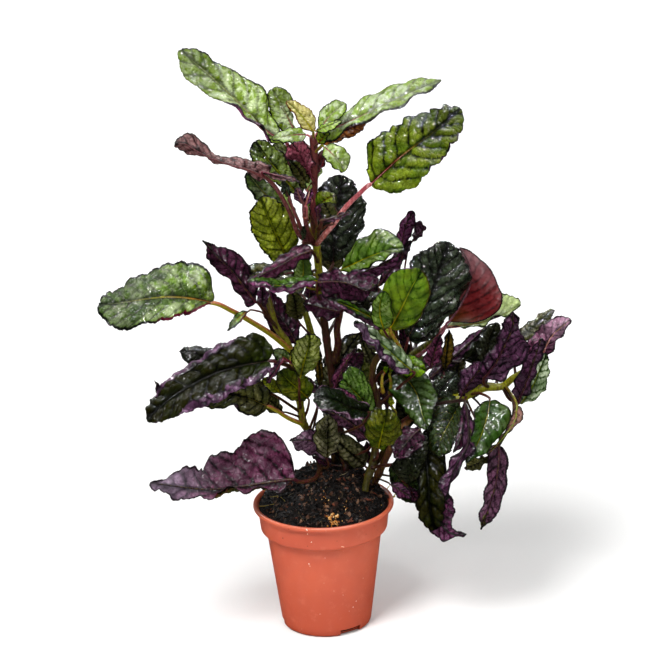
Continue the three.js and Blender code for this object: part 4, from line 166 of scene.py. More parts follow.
    'leaf_22': dict(face='U', cls='grey', und='purple', petc='yellow', slot='leaf_grey_green', node='leaf_22', bow=1.5, rnd=0.487, opt={'pet_r': 1.7, 'veins': 8, 'amp': 0.5, 'lobe': 1.3, 'teeth': 1.4},
        pet=[[-17.8, 4.0, 184.7], [-27.2, -2.0, 196.1], [-42.2, -12.0, 210.8], [-52.9, -20.0, 220.6], [-64.7, -28.0, 229.0]],
        M=[[-64.7, -28.0, 229.0], [-71.4, -31.3, 232.0], [-78.2, -34.3, 234.6], [-85.0, -37.1, 236.5], [-91.9, -39.7, 237.8], [-98.7, -42.0, 238.2], [-105.6, -44.1, 238.2], [-112.4, -45.9, 238.0], [-119.3, -47.5, 237.6], [-126.2, -48.9, 237.6], [-133.1, -50.0, 237.6]],
        L=[[-64.7, -28.0, 229.0], [-63.5, -25.3, 238.1], [-66.5, -25.6, 247.8], [-74.4, -26.6, 253.8], [-83.8, -28.0, 256.2], [-93.2, -30.0, 254.9], [-102.1, -32.4, 252.1], [-110.8, -35.4, 249.2], [-119.0, -38.8, 245.3], [-127.6, -42.9, 242.8], [-133.1, -50.0, 237.6]],
        R=[[-64.7, -28.0, 229.0], [-71.6, -37.2, 228.6], [-79.0, -43.0, 227.9], [-86.5, -47.7, 227.2], [-94.1, -51.3, 226.5], [-101.8, -54.0, 225.7], [-109.6, -55.7, 225.0], [-117.4, -56.5, 223.9], [-125.1, -56.2, 225.6], [-130.6, -54.8, 231.2], [-133.1, -50.0, 237.6]]),
    'leaf_23': dict(face='D', cls='dark', und='darkpurple', petc='maroon', slot='underside_purple', node='leaf_23', bow=1.5, rnd=0.442, opt={'crumple': 1.3},
        pet=[[-26.6, 3.0, 202.0], [-31.0, -6.1, 211.0], [-38.0, -15.6, 224.4]],
        M=[[-38.0, -15.6, 224.4], [-40.8, -16.4, 229.1], [-43.7, -17.2, 233.8], [-46.7, -18.0, 238.4], [-49.7, -19.0, 243.0], [-52.8, -20.1, 247.5], [-56.1, -21.2, 251.9], [-59.7, -22.4, 256.0], [-63.2, -23.7, 260.1], [-66.3, -25.1, 264.7], [-69.2, -26.5, 269.4]],
        L=[[-38.0, -15.6, 224.4], [-43.4, -13.2, 221.8], [-46.7, -12.6, 225.2], [-49.0, -12.5, 231.5], [-52.6, -12.9, 236.1], [-56.4, -13.7, 240.6], [-60.4, -15.0, 245.1], [-64.0, -16.8, 250.0], [-66.3, -19.1, 255.9], [-68.0, -21.9, 262.3], [-69.2, -26.5, 269.4]],
        R=[[-38.0, -15.6, 224.4], [-37.1, -13.6, 229.8], [-37.0, -13.0, 235.6], [-38.9, -13.1, 241.3], [-41.8, -13.5, 246.8], [-44.6, -14.4, 252.4], [-48.6, -15.7, 256.9], [-53.6, -17.4, 260.2], [-58.9, -19.6, 263.0], [-64.1, -22.3, 266.0], [-69.2, -26.5, 269.4]]),
    'leaf_24': dict(face='U', cls='grey', und='purple', petc='maroon', slot='leaf_grey_green', node=None, bow=1.5, rnd=0.473,
        pet=[[-25.2, 3.1, 199.3], [-31.0, -10.0, 212.4], [-36.9, -18.0, 219.3], [-43.0, -22.0, 220.9]],
        M=[[-43.0, -22.0, 220.9], [-44.4, -22.8, 220.1], [-45.9, -23.6, 219.4], [-47.4, -24.4, 218.5], [-48.7, -25.2, 217.6], [-50.1, -26.0, 216.6], [-51.3, -26.8, 215.6], [-52.6, -27.6, 214.5], [-53.8, -28.4, 213.4], [-55.0, -29.2, 212.3], [-56.2, -30.0, 211.1]],
        L=[[-43.0, -22.0, 220.9], [-45.0, -21.8, 221.0], [-46.9, -22.1, 220.9], [-48.8, -22.6, 220.4], [-50.5, -23.3, 219.5], [-51.9, -24.0, 218.4], [-53.1, -24.9, 217.0], [-54.0, -25.8, 215.4], [-54.8, -26.9, 213.9], [-55.5, -28.2, 212.4], [-56.2, -30.0, 211.1]],
        R=[[-43.0, -22.0, 220.9], [-43.6, -23.8, 219.7], [-44.4, -25.1, 218.5], [-45.7, -26.2, 217.5], [-47.1, -27.1, 216.5], [-48.5, -28.0, 215.6], [-49.9, -28.7, 214.5], [-51.3, -29.4, 213.5], [-52.8, -29.9, 212.7], [-54.5, -30.2, 212.0], [-56.2, -30.0, 211.1]]),
    'leaf_25': dict(face='U', cls='black', und='purple', petc='dark', slot='leaf_dark_green', node=None, bow=1.5, rnd=0.499,
        pet=[[-17.1, 3.9, 181.0], [-34.3, 9.0, 175.5], [-50.1, 10.0, 174.3], [-66.5, 10.0, 176.2]],
        M=[[-66.5, 10.0, 176.2], [-68.6, 10.0, 177.3], [-70.7, 10.0, 178.3], [-72.8, 10.0, 179.4], [-74.9, 10.0, 180.4], [-77.1, 10.0, 181.3], [-79.3, 10.0, 182.1], [-81.5, 10.0, 182.8], [-83.8, 10.0, 183.3], [-86.0, 10.0, 183.8], [-88.3, 10.0, 184.3]],
        L=[[-66.5, 10.0, 176.2], [-65.5, 12.0, 178.9], [-65.0, 12.9, 181.6], [-66.6, 13.5, 183.3], [-69.8, 13.9, 184.3], [-73.4, 14.0, 184.8], [-76.6, 13.9, 185.4], [-79.7, 13.5, 185.8], [-82.7, 12.9, 185.7], [-85.6, 12.0, 185.0], [-88.3, 10.0, 184.3]],
        R=[[-66.5, 10.0, 176.2], [-68.7, 8.0, 174.9], [-71.0, 7.1, 173.6], [-73.6, 6.5, 173.6], [-76.4, 6.1, 174.5], [-79.1, 6.0, 175.6], [-81.8, 6.1, 176.6], [-84.3, 6.5, 177.9], [-86.1, 7.1, 179.7], [-87.2, 8.0, 182.2], [-88.3, 10.0, 184.3]]),
    'leaf_26': dict(face='U', cls='bright', und='purple', petc='green', slot='leaf_bright_green', node='leaf_26', bow=1.5, rnd=0.42, opt={'amp': 0.7},
        pet=[[1.6, 5.1, 233.5], [-7.1, 2.2, 237.0], [-16.9, 0.5, 244.5]],
        M=[[-16.9, 0.5, 244.5], [-18.7, -1.1, 249.3], [-20.5, -2.7, 254.0], [-22.3, -4.3, 258.8], [-23.9, -5.9, 263.6], [-25.5, -7.5, 268.4], [-27.1, -9.1, 273.2], [-28.7, -10.7, 277.9], [-30.2, -12.3, 282.7], [-31.7, -13.9, 287.5], [-33.1, -15.5, 292.3]],
        L=[[-16.9, 0.5, 244.5], [-13.7, 0.8, 249.2], [-11.6, 0.2, 254.7], [-11.1, -0.8, 260.9], [-11.5, -2.1, 267.0], [-13.0, -3.5, 273.1], [-15.3, -5.3, 278.8], [-18.6, -7.2, 284.1], [-22.7, -9.4, 288.5], [-27.6, -12.0, 291.3], [-33.1, -15.5, 292.3]],
        R=[[-16.9, 0.5, 244.5], [-22.4, -3.1, 244.5], [-27.2, -5.6, 248.0], [-31.1, -7.9, 253.3], [-34.4, -9.8, 258.7], [-37.0, -11.5, 264.4], [-39.0, -13.0, 270.5], [-39.8, -14.3, 276.7], [-39.5, -15.2, 282.9], [-37.1, -15.9, 288.2], [-33.1, -15.5, 292.3]]),
    'leaf_27': dict(face='U', cls='grey', und='purple', petc='maroon', slot='leaf_grey_green', node=None, bow=1.5, rnd=0.446,
        pet=[[0.5, 3.1, 255.0], [-9.5, 8.3, 261.3], [-19.1, 12.7, 270.7]],
        M=[[-19.1, 12.7, 270.7], [-21.4, 12.4, 273.7], [-23.6, 12.1, 276.7], [-25.9, 11.7, 279.7], [-28.1, 11.2, 282.7], [-30.4, 10.7, 285.8], [-32.7, 10.0, 288.8], [-34.9, 9.3, 292.0], [-37.0, 8.5, 295.2], [-39.0, 7.6, 298.5], [-41.0, 6.7, 301.8]],
        L=[[-19.1, 12.7, 270.7], [-18.4, 13.9, 274.6], [-18.1, 14.3, 278.5], [-19.5, 14.3, 282.2], [-22.0, 14.1, 285.6], [-24.7, 13.7, 288.8], [-27.4, 12.9, 292.0], [-30.4, 11.9, 295.0], [-33.7, 10.7, 297.5], [-37.3, 9.1, 299.6], [-41.0, 6.7, 301.8]],
        R=[[-19.1, 12.7, 270.7], [-23.0, 10.9, 272.2], [-26.6, 9.9, 274.1], [-30.0, 9.1, 276.7], [-33.0, 8.3, 279.7], [-35.7, 7.7, 282.8], [-38.2, 7.1, 286.3], [-40.2, 6.7, 290.0], [-41.9, 6.3, 294.0], [-42.2, 6.1, 298.0], [-41.0, 6.7, 301.8]]),
    'leaf_28': dict(face='D', cls='dark', und='violet', petc='maroon', slot='underside_purple', node=None, bow=1.5, rnd=0.487, opt={'crumple': 0.9},
        pet=[[1.2, 4.1, 242.3], [-0.6, -5.3, 249.8], [-2.9, -12.6, 256.2]],
        M=[[-2.9, -12.6, 256.2], [-7.1, -14.3, 255.3], [-11.2, -15.9, 254.2], [-15.1, -17.4, 252.8], [-19.0, -18.9, 251.1], [-22.9, -20.3, 249.4], [-26.8, -21.5, 247.8], [-30.8, -22.7, 246.3], [-34.7, -23.9, 244.8], [-38.8, -24.9, 243.3], [-42.8, -25.9, 241.8]],
        L=[[-2.9, -12.6, 256.2], [-3.3, -11.8, 251.1], [-7.4, -12.2, 248.5], [-11.4, -13.0, 245.8], [-15.3, -14.0, 243.4], [-19.6, -15.2, 241.5], [-24.1, -16.6, 240.2], [-28.7, -18.3, 239.5], [-33.4, -20.2, 239.2], [-38.1, -22.4, 239.9], [-42.8, -25.9, 241.8]],
        R=[[-2.9, -12.6, 256.2], [-5.6, -11.9, 259.9], [-10.8, -12.4, 260.0], [-15.1, -13.1, 258.3], [-18.9, -14.1, 255.2], [-23.0, -15.3, 252.8], [-27.1, -16.8, 250.5], [-31.1, -18.4, 248.3], [-35.2, -20.3, 246.1], [-39.1, -22.5, 243.9], [-42.8, -25.9, 241.8]]),
    'leaf_28b': dict(face='U', cls='dark', und='purple', petc='maroon', slot='leaf_dark_green', node=None, bow=1.5, rnd=0.578,
        pet=[[1.5, 4.6, 237.9], [-7.1, -0.9, 237.4], [-19.5, -4.8, 238.5]],
        M=[[-19.5, -4.8, 238.5], [-22.1, -5.4, 239.4], [-24.6, -5.9, 240.3], [-27.1, -6.5, 241.1], [-29.6, -7.0, 241.5], [-32.2, -7.5, 241.6], [-34.8, -8.1, 241.4], [-37.3, -8.6, 241.2], [-39.9, -9.1, 240.8], [-42.4, -9.7, 240.3], [-44.9, -10.2, 239.8]],
        L=[[-19.5, -4.8, 238.5], [-21.8, -4.1, 240.7], [-24.1, -4.0, 243.0], [-26.9, -4.1, 244.6], [-30.0, -4.4, 245.6], [-33.2, -4.9, 246.2], [-36.5, -5.5, 246.5], [-39.9, -6.3, 246.4], [-42.3, -7.2, 245.2], [-43.7, -8.4, 242.5], [-44.9, -10.2, 239.8]],
        R=[[-19.5, -4.8, 238.5], [-22.0, -6.7, 237.9], [-24.4, -7.8, 237.1], [-26.9, -8.8, 236.4], [-29.5, -9.6, 236.1], [-32.2, -10.2, 235.9], [-34.9, -10.6, 236.1], [-37.6, -10.9, 236.6], [-40.0, -11.0, 237.5], [-42.5, -11.0, 238.8], [-44.9, -10.2, 239.8]]),
    'leaf_29': dict(face='U', cls='midgreen', und='purple', petc='maroon', slot='leaf_olive', node=None, bow=1.5, rnd=0.536, opt={'roll': (0.0, 3.0)},
        pet=[[1.5, 6.3, 223.4], [2.0, -9.0, 232.7], [0.8, -17.6, 237.6]],
        M=[[0.8, -17.6, 237.6], [-3.6, -19.5, 237.6], [-7.9, -21.2, 237.6], [-12.3, -22.9, 237.6], [-16.7, -24.5, 237.6], [-21.1, -26.0, 237.9], [-25.4, -27.5, 238.9], [-29.7, -28.8, 240.1], [-34.0, -30.1, 241.3], [-38.3, -31.3, 242.4], [-42.6, -32.4, 243.4]],
        L=[[0.8, -17.6, 237.6], [-2.4, -15.6, 240.0], [-7.0, -15.5, 239.8], [-11.6, -16.0, 239.3], [-16.1, -16.8, 239.1], [-20.6, -18.1, 239.2], [-25.1, -19.8, 240.0], [-29.5, -21.9, 241.3], [-33.9, -24.4, 242.2], [-38.3, -27.4, 242.5], [-42.6, -32.4, 243.4]],
        R=[[0.8, -17.6, 237.6], [-2.7, -22.9, 236.2], [-7.1, -26.2, 235.5], [-11.7, -29.0, 235.4], [-16.3, -31.2, 235.4], [-20.9, -32.9, 235.8], [-25.6, -34.1, 236.6], [-30.1, -34.9, 237.8], [-34.5, -35.1, 239.5], [-38.7, -34.7, 241.6], [-42.6, -32.4, 243.4]]),
    'leaf_30': dict(face='U', cls='satinlight', und='purple', petc='green', slot='leaf_bright_green', node=None, bow=1.5, rnd=0.466,
        pet=[[1.5, 6.3, 223.4], [-4.9, 1.3, 226.7], [-8.6, -3.1, 231.0]],
        M=[[-8.6, -3.1, 231.0], [-8.5, -3.5, 233.1], [-8.4, -3.9, 235.2], [-8.4, -4.3, 237.3], [-8.3, -4.7, 239.4], [-8.2, -5.1, 241.5], [-8.1, -5.5, 243.6], [-8.1, -5.9, 245.7], [-8.2, -6.3, 247.8], [-8.4, -6.7, 249.9], [-8.6, -7.1, 252.0]],
        L=[[-8.6, -3.1, 231.0], [-6.3, -2.5, 232.0], [-4.0, -2.5, 233.3], [-2.7, -2.6, 235.0], [-2.4, -2.8, 237.5], [-2.8, -3.1, 240.4], [-3.3, -3.6, 243.2], [-3.7, -4.2, 246.0], [-4.5, -4.9, 248.6], [-6.3, -5.7, 250.5], [-8.6, -7.1, 252.0]],
        R=[[-8.6, -3.1, 231.0], [-10.9, -4.5, 232.5], [-13.0, -5.4, 234.1], [-14.2, -6.1, 236.2], [-14.6, -6.7, 239.0], [-14.5, -7.1, 241.9], [-14.2, -7.5, 244.6], [-13.7, -7.7, 247.2], [-12.6, -7.8, 249.5], [-10.7, -7.7, 251.0], [-8.6, -7.1, 252.0]]),
    'leaf_31': dict(face='U', cls='satinlight', und='purple', petc='green', slot='leaf_glossy_green', node='leaf_31', bow=1.5, rnd=0.487, opt={'amp': 0.5, 'lobe': 0.4, 'teeth': 0.5},
        pet=[[1.4, 6.2, 224.8], [7.0, -4.0, 232.1], [15.3, -10.0, 241.8]],
        M=[[15.3, -10.0, 241.8], [19.1, -13.4, 244.5], [22.9, -16.6, 247.1], [26.6, -19.4, 249.8], [30.3, -21.8, 252.4], [34.1, -24.0, 254.8], [37.9, -25.8, 256.8], [41.9, -27.4, 258.4], [45.8, -28.6, 259.7], [49.9, -29.4, 260.6], [53.9, -30.0, 261.4]],
        L=[[15.3, -10.0, 241.8], [19.1, -17.4, 242.3], [23.3, -22.4, 243.9], [27.5, -26.4, 246.2], [31.4, -29.6, 249.1], [35.3, -32.0, 251.6], [39.1, -33.6, 254.0], [43.0, -34.4, 256.0], [47.1, -34.4, 257.5], [50.8, -33.4, 259.4], [53.9, -30.0, 261.4]],
        R=[[15.3, -10.0, 241.8], [16.9, -8.5, 246.9], [20.3, -9.3, 252.0], [23.8, -10.6, 257.1], [27.6, -12.1, 262.0], [32.1, -14.0, 266.2], [37.2, -16.1, 269.4], [42.6, -18.6, 269.7], [47.6, -21.3, 268.0], [51.7, -24.5, 264.9], [53.9, -30.0, 261.4]]),
    'leaf_32': dict(face='D', cls='dark', und='purple', petc='maroon', slot='underside_purple', node=None, bow=1.5, rnd=0.452,
        pet=[[1.8, 6.5, 220.5], [9.5, 1.4, 227.5], [17.0, -3.2, 234.1]],
        M=[[17.0, -3.2, 234.1], [20.9, -3.6, 235.5], [24.7, -4.0, 236.8], [28.5, -4.4, 238.2], [32.3, -4.8, 239.6], [36.1, -5.2, 241.2], [39.8, -5.6, 242.9], [43.3, -6.0, 244.9], [46.7, -6.4, 247.2], [50.0, -6.8, 249.6], [53.3, -7.2, 252.0]],
        L=[[17.0, -3.2, 234.1], [19.4, -0.6, 236.8], [22.7, 0.4, 238.6], [26.8, 0.9, 239.4], [30.9, 1.0, 240.4], [34.8, 0.8, 241.6], [38.7, 0.2, 243.0], [42.5, -0.7, 244.8], [46.0, -2.0, 247.2], [49.6, -3.8, 249.8], [53.3, -7.2, 252.0]],
        R=[[17.0, -3.2, 234.1], [20.2, -0.6, 229.5], [24.3, 0.4, 228.5], [29.2, 0.9, 229.9], [33.8, 1.0, 231.4], [38.3, 0.8, 232.9], [42.6, 0.2, 234.9], [46.5, -0.7, 237.8], [50.1, -2.0, 241.4], [52.5, -3.8, 246.1], [53.3, -7.2, 252.0]]),
    'leaf_33': dict(face='D', cls='dark', und='darkpurple', petc='maroon', slot='underside_dark_purple', node='leaf_33', bow=1.5, rnd=0.512, opt={'crumple': 1.6, 'wave': 1.8},
        pet=[[2.4, 6.7, 216.2], [-0.0, -11.0, 228.2], [0.8, -22.0, 238.5]],
        M=[[0.8, -22.0, 238.5], [4.7, -24.3, 239.5], [8.5, -26.2, 240.3], [12.4, -28.0, 240.7], [16.2, -29.5, 240.5], [19.9, -30.8, 240.0], [23.6, -31.8, 238.9], [27.2, -32.6, 237.0], [30.7, -33.1, 236.1], [34.1, -33.4, 237.6], [37.4, -33.5, 239.9]],
        L=[[0.8, -22.0, 238.5], [2.5, -20.6, 242.5], [5.9, -20.8, 245.1], [10.6, -21.4, 245.8], [14.9, -22.3, 245.0], [19.0, -23.3, 243.3], [23.4, -24.5, 243.2], [27.9, -26.0, 244.2], [32.4, -27.7, 244.3], [36.4, -29.7, 243.2], [37.4, -33.5, 239.9]],
        R=[[0.8, -22.0, 238.5], [1.6, -20.0, 232.6], [4.8, -20.0, 229.4], [9.8, -20.5, 227.7], [14.4, -21.2, 225.6], [19.0, -22.2, 223.9], [23.7, -23.5, 224.1], [28.5, -25.1, 226.0], [32.8, -26.9, 229.1], [36.3, -29.2, 233.5], [37.4, -33.5, 239.9]]),
    'leaf_34': dict(face='D', cls='dark', und='darkpurple', petc='maroon', slot='underside_dark_purple', node=None, bow=1.5, rnd=0.577, opt={'crumple': 1.6, 'wave': 1.8},
        pet=[[6.6, 8.1, 174.9], [12.2, 8.3, 185.7], [13.1, 3.8, 197.4], [14.0, -2.0, 211.4]],
        M=[[14.0, -2.0, 211.4], [11.7, -1.9, 212.0], [9.4, -1.9, 212.7], [7.1, -1.9, 213.4], [4.8, -1.8, 214.1], [2.5, -1.8, 214.7], [0.2, -1.7, 215.4], [-2.1, -1.7, 216.1], [-4.4, -1.6, 216.7], [-6.7, -1.6, 217.3], [-9.0, -1.5, 217.9]],
        L=[[14.0, -2.0, 211.4], [12.7, -1.1, 208.1], [10.7, -0.7, 206.2], [7.7, -0.4, 206.0], [4.4, -0.2, 206.7], [1.5, -0.1, 207.4], [-1.5, -0.1, 208.4], [-4.2, -0.2, 209.8], [-6.3, -0.4, 211.9], [-7.8, -0.8, 214.7], [-9.0, -1.5, 217.9]],
        R=[[14.0, -2.0, 211.4], [14.4, 0.2, 214.3], [14.5, 1.3, 217.4], [12.8, 2.0, 219.6], [9.6, 2.4, 221.0], [6.1, 2.6, 221.9], [2.8, 2.5, 222.2], [-0.6, 2.2, 221.9], [-3.7, 1.5, 221.1], [-6.4, 0.6, 219.4], [-9.0, -1.5, 217.9]]),
    'leaf_35': dict(face='U', cls='midgreen', und='mauve', petc='maroon', slot='leaf_olive', node=None, bow=1.5, rnd=0.567, opt={'roll': (0.0, 2.4)},
        pet=[[46.1, -8.4, 190.3], [47.8, -10.2, 198.6], [44.8, -12.9, 205.6]],
        M=[[44.8, -12.9, 205.6], [40.7, -15.5, 208.3], [36.7, -18.0, 210.9], [32.8, -20.4, 213.7], [29.0, -22.6, 216.6], [25.3, -24.6, 219.5], [21.5, -26.5, 222.2], [17.6, -28.2, 224.7], [13.8, -29.7, 227.1], [9.9, -31.1, 229.3], [6.0, -32.4, 231.5]],
        L=[[44.8, -12.9, 205.6], [42.0, -14.5, 209.9], [38.4, -16.5, 213.1], [34.2, -18.5, 215.7], [30.3, -20.5, 218.5], [26.5, -22.4, 221.4], [22.6, -24.4, 224.2], [18.7, -26.3, 227.0], [14.6, -28.1, 229.2], [10.3, -30.0, 230.4], [6.0, -32.4, 231.5]],
        R=[[44.8, -12.9, 205.6], [41.1, -17.1, 204.1], [36.9, -20.4, 205.7], [32.5, -23.2, 209.5], [28.3, -25.7, 212.7], [24.3, -27.8, 215.7], [20.3, -29.6, 218.8], [16.4, -31.0, 221.8], [12.7, -32.1, 224.9], [9.2, -32.7, 228.2], [6.0, -32.4, 231.5]]),
    'leaf_36': dict(face='U', cls='dark', und='purple', petc='maroon', slot='leaf_dark_green', node=None, bow=1.5, rnd=0.495,
        pet=[[-3.8, 13.0, 189.9], [-8.9, 2.7, 199.8], [-13.1, 3.1, 205.1]],
        M=[[-13.1, 3.1, 205.1], [-13.2, 1.9, 207.6], [-13.3, 0.8, 210.0], [-13.4, -0.2, 212.4], [-13.7, -1.1, 214.7], [-13.9, -2.0, 217.1], [-14.3, -2.8, 219.3], [-14.7, -3.5, 221.6], [-15.1, -4.1, 223.7], [-15.6, -4.7, 225.9], [-16.1, -5.1, 228.0]],
        L=[[-13.1, 3.1, 205.1], [-11.0, 3.6, 206.5], [-9.0, 3.3, 208.2], [-8.1, 2.8, 210.6], [-7.9, 2.2, 213.6], [-8.3, 1.4, 216.6], [-9.0, 0.5, 219.4], [-10.2, -0.5, 222.1], [-11.8, -1.7, 224.4], [-13.9, -3.0, 226.1], [-16.1, -5.1, 228.0]],
        R=[[-13.1, 3.1, 205.1], [-15.4, 0.3, 207.1], [-17.6, -1.6, 208.8], [-19.1, -3.2, 211.0], [-19.9, -4.4, 213.8], [-20.1, -5.4, 216.8], [-20.2, -6.1, 219.6], [-20.0, -6.5, 222.3], [-19.3, -6.6, 224.7], [-17.9, -6.3, 226.6], [-16.1, -5.1, 228.0]]),
    'leaf_38': dict(face='D', cls='dark', und='darkpurple', petc='maroon', slot='underside_dark_purple', node=None, bow=1.5, rnd=0.543,
        pet=[[-13.8, 1.2, 157.1], [-10.9, 9.6, 172.5], [-13.0, 11.0, 185.5]],
        M=[[-13.0, 11.0, 185.5], [-14.8, 11.4, 188.9], [-16.6, 11.8, 192.3], [-18.4, 12.2, 195.7], [-20.4, 12.6, 198.9], [-22.6, 13.0, 202.0], [-24.8, 13.4, 205.1], [-27.0, 13.8, 208.2], [-29.1, 14.2, 211.4], [-31.3, 14.6, 214.5], [-33.5, 15.0, 217.6]],
        L=[[-13.0, 11.0, 185.5], [-17.5, 13.4, 184.6], [-21.5, 14.7, 185.4], [-24.8, 15.7, 188.1], [-27.7, 16.5, 191.8], [-30.1, 17.0, 195.5], [-32.2, 17.3, 199.5], [-33.9, 17.3, 203.8], [-35.1, 17.1, 208.4], [-35.8, 16.6, 213.3], [-33.5, 15.0, 217.6]],
        R=[[-13.0, 11.0, 185.5], [-12.1, 13.4, 189.6], [-11.4, 14.7, 194.0], [-12.2, 15.7, 198.3], [-14.3, 16.5, 202.6], [-16.8, 17.0, 206.6], [-19.5, 17.3, 210.5], [-22.5, 17.3, 214.2], [-26.1, 17.1, 218.1], [-29.8, 16.6, 220.2], [-33.5, 15.0, 217.6]]),
    'leaf_40': dict(face='U', cls='greyolive', und='purple', petc='maroon', slot='leaf_grey_olive', node='leaf_40', bow=1.5, rnd=0.516, opt={'amp': 0.55, 'crumple': 0.9},
        pet=[[-12.6, 0.5, 145.5], [-13.2, -12.8, 162.8], [-12.9, -22.3, 175.1]],
        M=[[-12.9, -22.3, 175.1], [-12.0, -24.1, 178.8], [-11.2, -25.7, 182.3], [-10.3, -27.3, 185.8], [-9.4, -28.9, 189.3], [-8.5, -30.3, 192.8], [-7.7, -31.7, 196.2], [-6.8, -32.9, 199.6], [-6.1, -34.1, 203.0], [-5.8, -35.3, 206.4], [-5.7, -36.3, 209.8]],
        L=[[-12.9, -22.3, 175.1], [-9.4, -22.1, 176.8], [-6.3, -22.8, 179.3], [-3.6, -23.8, 182.6], [-1.5, -25.0, 186.6], [-0.1, -26.3, 190.7], [0.7, -27.8, 195.3], [0.8, -29.4, 199.9], [0.5, -31.2, 204.9], [-1.8, -33.3, 208.0], [-5.7, -36.3, 209.8]],
        R=[[-12.9, -22.3, 175.1], [-14.2, -26.0, 180.0], [-15.5, -28.6, 184.5], [-16.9, -30.9, 188.9], [-17.8, -32.7, 193.1], [-17.6, -34.3, 197.3], [-16.3, -35.5, 201.3], [-14.5, -36.5, 204.9], [-12.2, -37.0, 208.0], [-9.2, -37.2, 209.9], [-5.7, -36.3, 209.8]]),
    'leaf_41': dict(face='U', cls='yolive', und='purple', petc='maroon', slot='leaf_olive', node=None, bow=1.5, rnd=0.569, opt={'amp': 0.4, 'crumple': 0.6},
        pet=[[-11.6, 0.7, 138.4], [-8.0, -0.9, 147.3], [-7.7, -1.1, 154.1]],
        M=[[-7.7, -1.1, 154.1], [-9.5, -2.8, 156.6], [-11.3, -4.5, 159.1], [-13.1, -6.1, 161.6], [-14.9, -7.6, 164.0], [-16.7, -9.0, 166.4], [-18.5, -10.4, 168.7], [-20.2, -11.6, 171.1], [-21.9, -12.8, 173.4], [-23.6, -13.9, 175.8], [-25.3, -14.9, 178.1]],
        L=[[-7.7, -1.1, 154.1], [-5.5, -1.7, 157.4], [-4.3, -2.8, 161.0], [-5.0, -4.1, 165.3], [-6.7, -5.3, 169.1], [-9.2, -6.7, 172.0], [-12.4, -8.1, 174.2], [-15.6, -9.6, 176.2], [-18.9, -11.1, 178.3], [-22.2, -12.8, 179.0], [-25.3, -14.9, 178.1]],
        R=[[-7.7, -1.1, 154.1], [-11.0, -4.5, 154.2], [-14.2, -6.9, 154.5], [-17.5, -9.0, 155.9], [-20.7, -10.8, 158.1], [-23.3, -12.3, 160.9], [-25.4, -13.6, 164.2], [-26.8, -14.5, 167.8], [-27.4, -15.2, 171.6], [-27.0, -15.5, 175.2], [-25.3, -14.9, 178.1]]),
    'leaf_42': dict(face='U', cls='grey', und='purple', petc='maroon', slot='leaf_grey_green', node=None, bow=1.5, rnd=0.492,
        pet=[[-15.8, 2.4, 166.7], [-16.5, -6.4, 176.0], [-18.2, -15.9, 184.2]],
        M=[[-18.2, -15.9, 184.2], [-19.2, -16.6, 185.4], [-20.3, -17.3, 186.6], [-21.3, -18.0, 187.8], [-22.3, -18.8, 188.9], [-23.4, -19.5, 190.0], [-24.5, -20.2, 191.1], [-25.6, -20.9, 192.1], [-26.8, -21.6, 193.2], [-27.9, -22.3, 194.2], [-29.0, -23.1, 195.2]],
        L=[[-18.2, -15.9, 184.2], [-18.3, -15.2, 185.9], [-18.4, -15.2, 187.8], [-18.7, -15.5, 189.7], [-19.5, -15.9, 191.3], [-20.8, -16.6, 192.6], [-22.4, -17.4, 193.8], [-24.1, -18.3, 194.6], [-25.8, -19.5, 195.0], [-27.4, -20.9, 195.0], [-29.0, -23.1, 195.2]],
        R=[[-18.2, -15.9, 184.2], [-19.7, -18.1, 184.7], [-21.3, -19.4, 185.0], [-22.8, -20.6, 185.6], [-24.4, -21.6, 186.5], [-25.9, -22.4, 187.6], [-27.1, -23.0, 188.9], [-27.9, -23.5, 190.3], [-28.3, -23.7, 192.0], [-28.6, -23.8, 193.8], [-29.0, -23.1, 195.2]]),
    'leaf_43': dict(face='U', cls='bright', und='magenta', petc='green', slot='leaf_bright_green', node=None, bow=1.5, rnd=0.454,
        pet=[[-12.9, 0.8, 151.0], [-20.3, -5.1, 157.4], [-25.2, -11.3, 162.0]],
        M=[[-25.2, -11.3, 162.0], [-26.2, -11.7, 163.2], [-27.3, -12.1, 164.4], [-28.3, -12.5, 165.7], [-29.4, -12.8, 166.9], [-30.5, -13.2, 168.1], [-31.6, -13.6, 169.2], [-32.7, -14.0, 170.4], [-33.8, -14.4, 171.6], [-34.9, -14.8, 172.7], [-36.0, -15.2, 173.9]],
        L=[[-25.2, -11.3, 162.0], [-25.5, -10.2, 163.4], [-25.8, -9.9, 165.2], [-26.3, -9.8, 166.9], [-27.0, -9.9, 168.5], [-28.2, -10.2, 170.1], [-29.5, -10.7, 171.6], [-31.0, -11.4, 172.7], [-32.6, -12.2, 173.4], [-34.3, -13.3, 173.5], [-36.0, -15.2, 173.9]],
        R=[[-25.2, -11.3, 162.0], [-26.9, -12.7, 162.5], [-28.6, -13.5, 162.7], [-30.2, -14.2, 163.3], [-31.8, -14.8, 164.3], [-33.2, -15.3, 165.6], [-34.4, -15.6, 167.1], [-35.2, -15.8, 168.7], [-35.6, -15.9, 170.4], [-35.8, -15.8, 172.3], [-36.0, -15.2, 173.9]]),
    'leaf_44': dict(face='U', cls='dark', und='purple', petc='maroon', slot='leaf_dark_green', node=None, bow=1.5, rnd=0.531,
        pet=[[-11.9, 0.6, 140.0], [-18.2, -3.5, 144.5], [-23.8, -6.9, 147.4]],
        M=[[-23.8, -6.9, 147.4], [-25.1, -7.3, 148.8], [-26.4, -7.6, 150.1], [-27.7, -8.0, 151.5], [-29.0, -8.3, 152.8], [-30.3, -8.7, 154.2], [-31.5, -9.0, 155.6], [-32.8, -9.4, 157.1], [-34.0, -9.8, 158.5], [-35.3, -10.1, 159.9], [-36.5, -10.5, 161.4]],
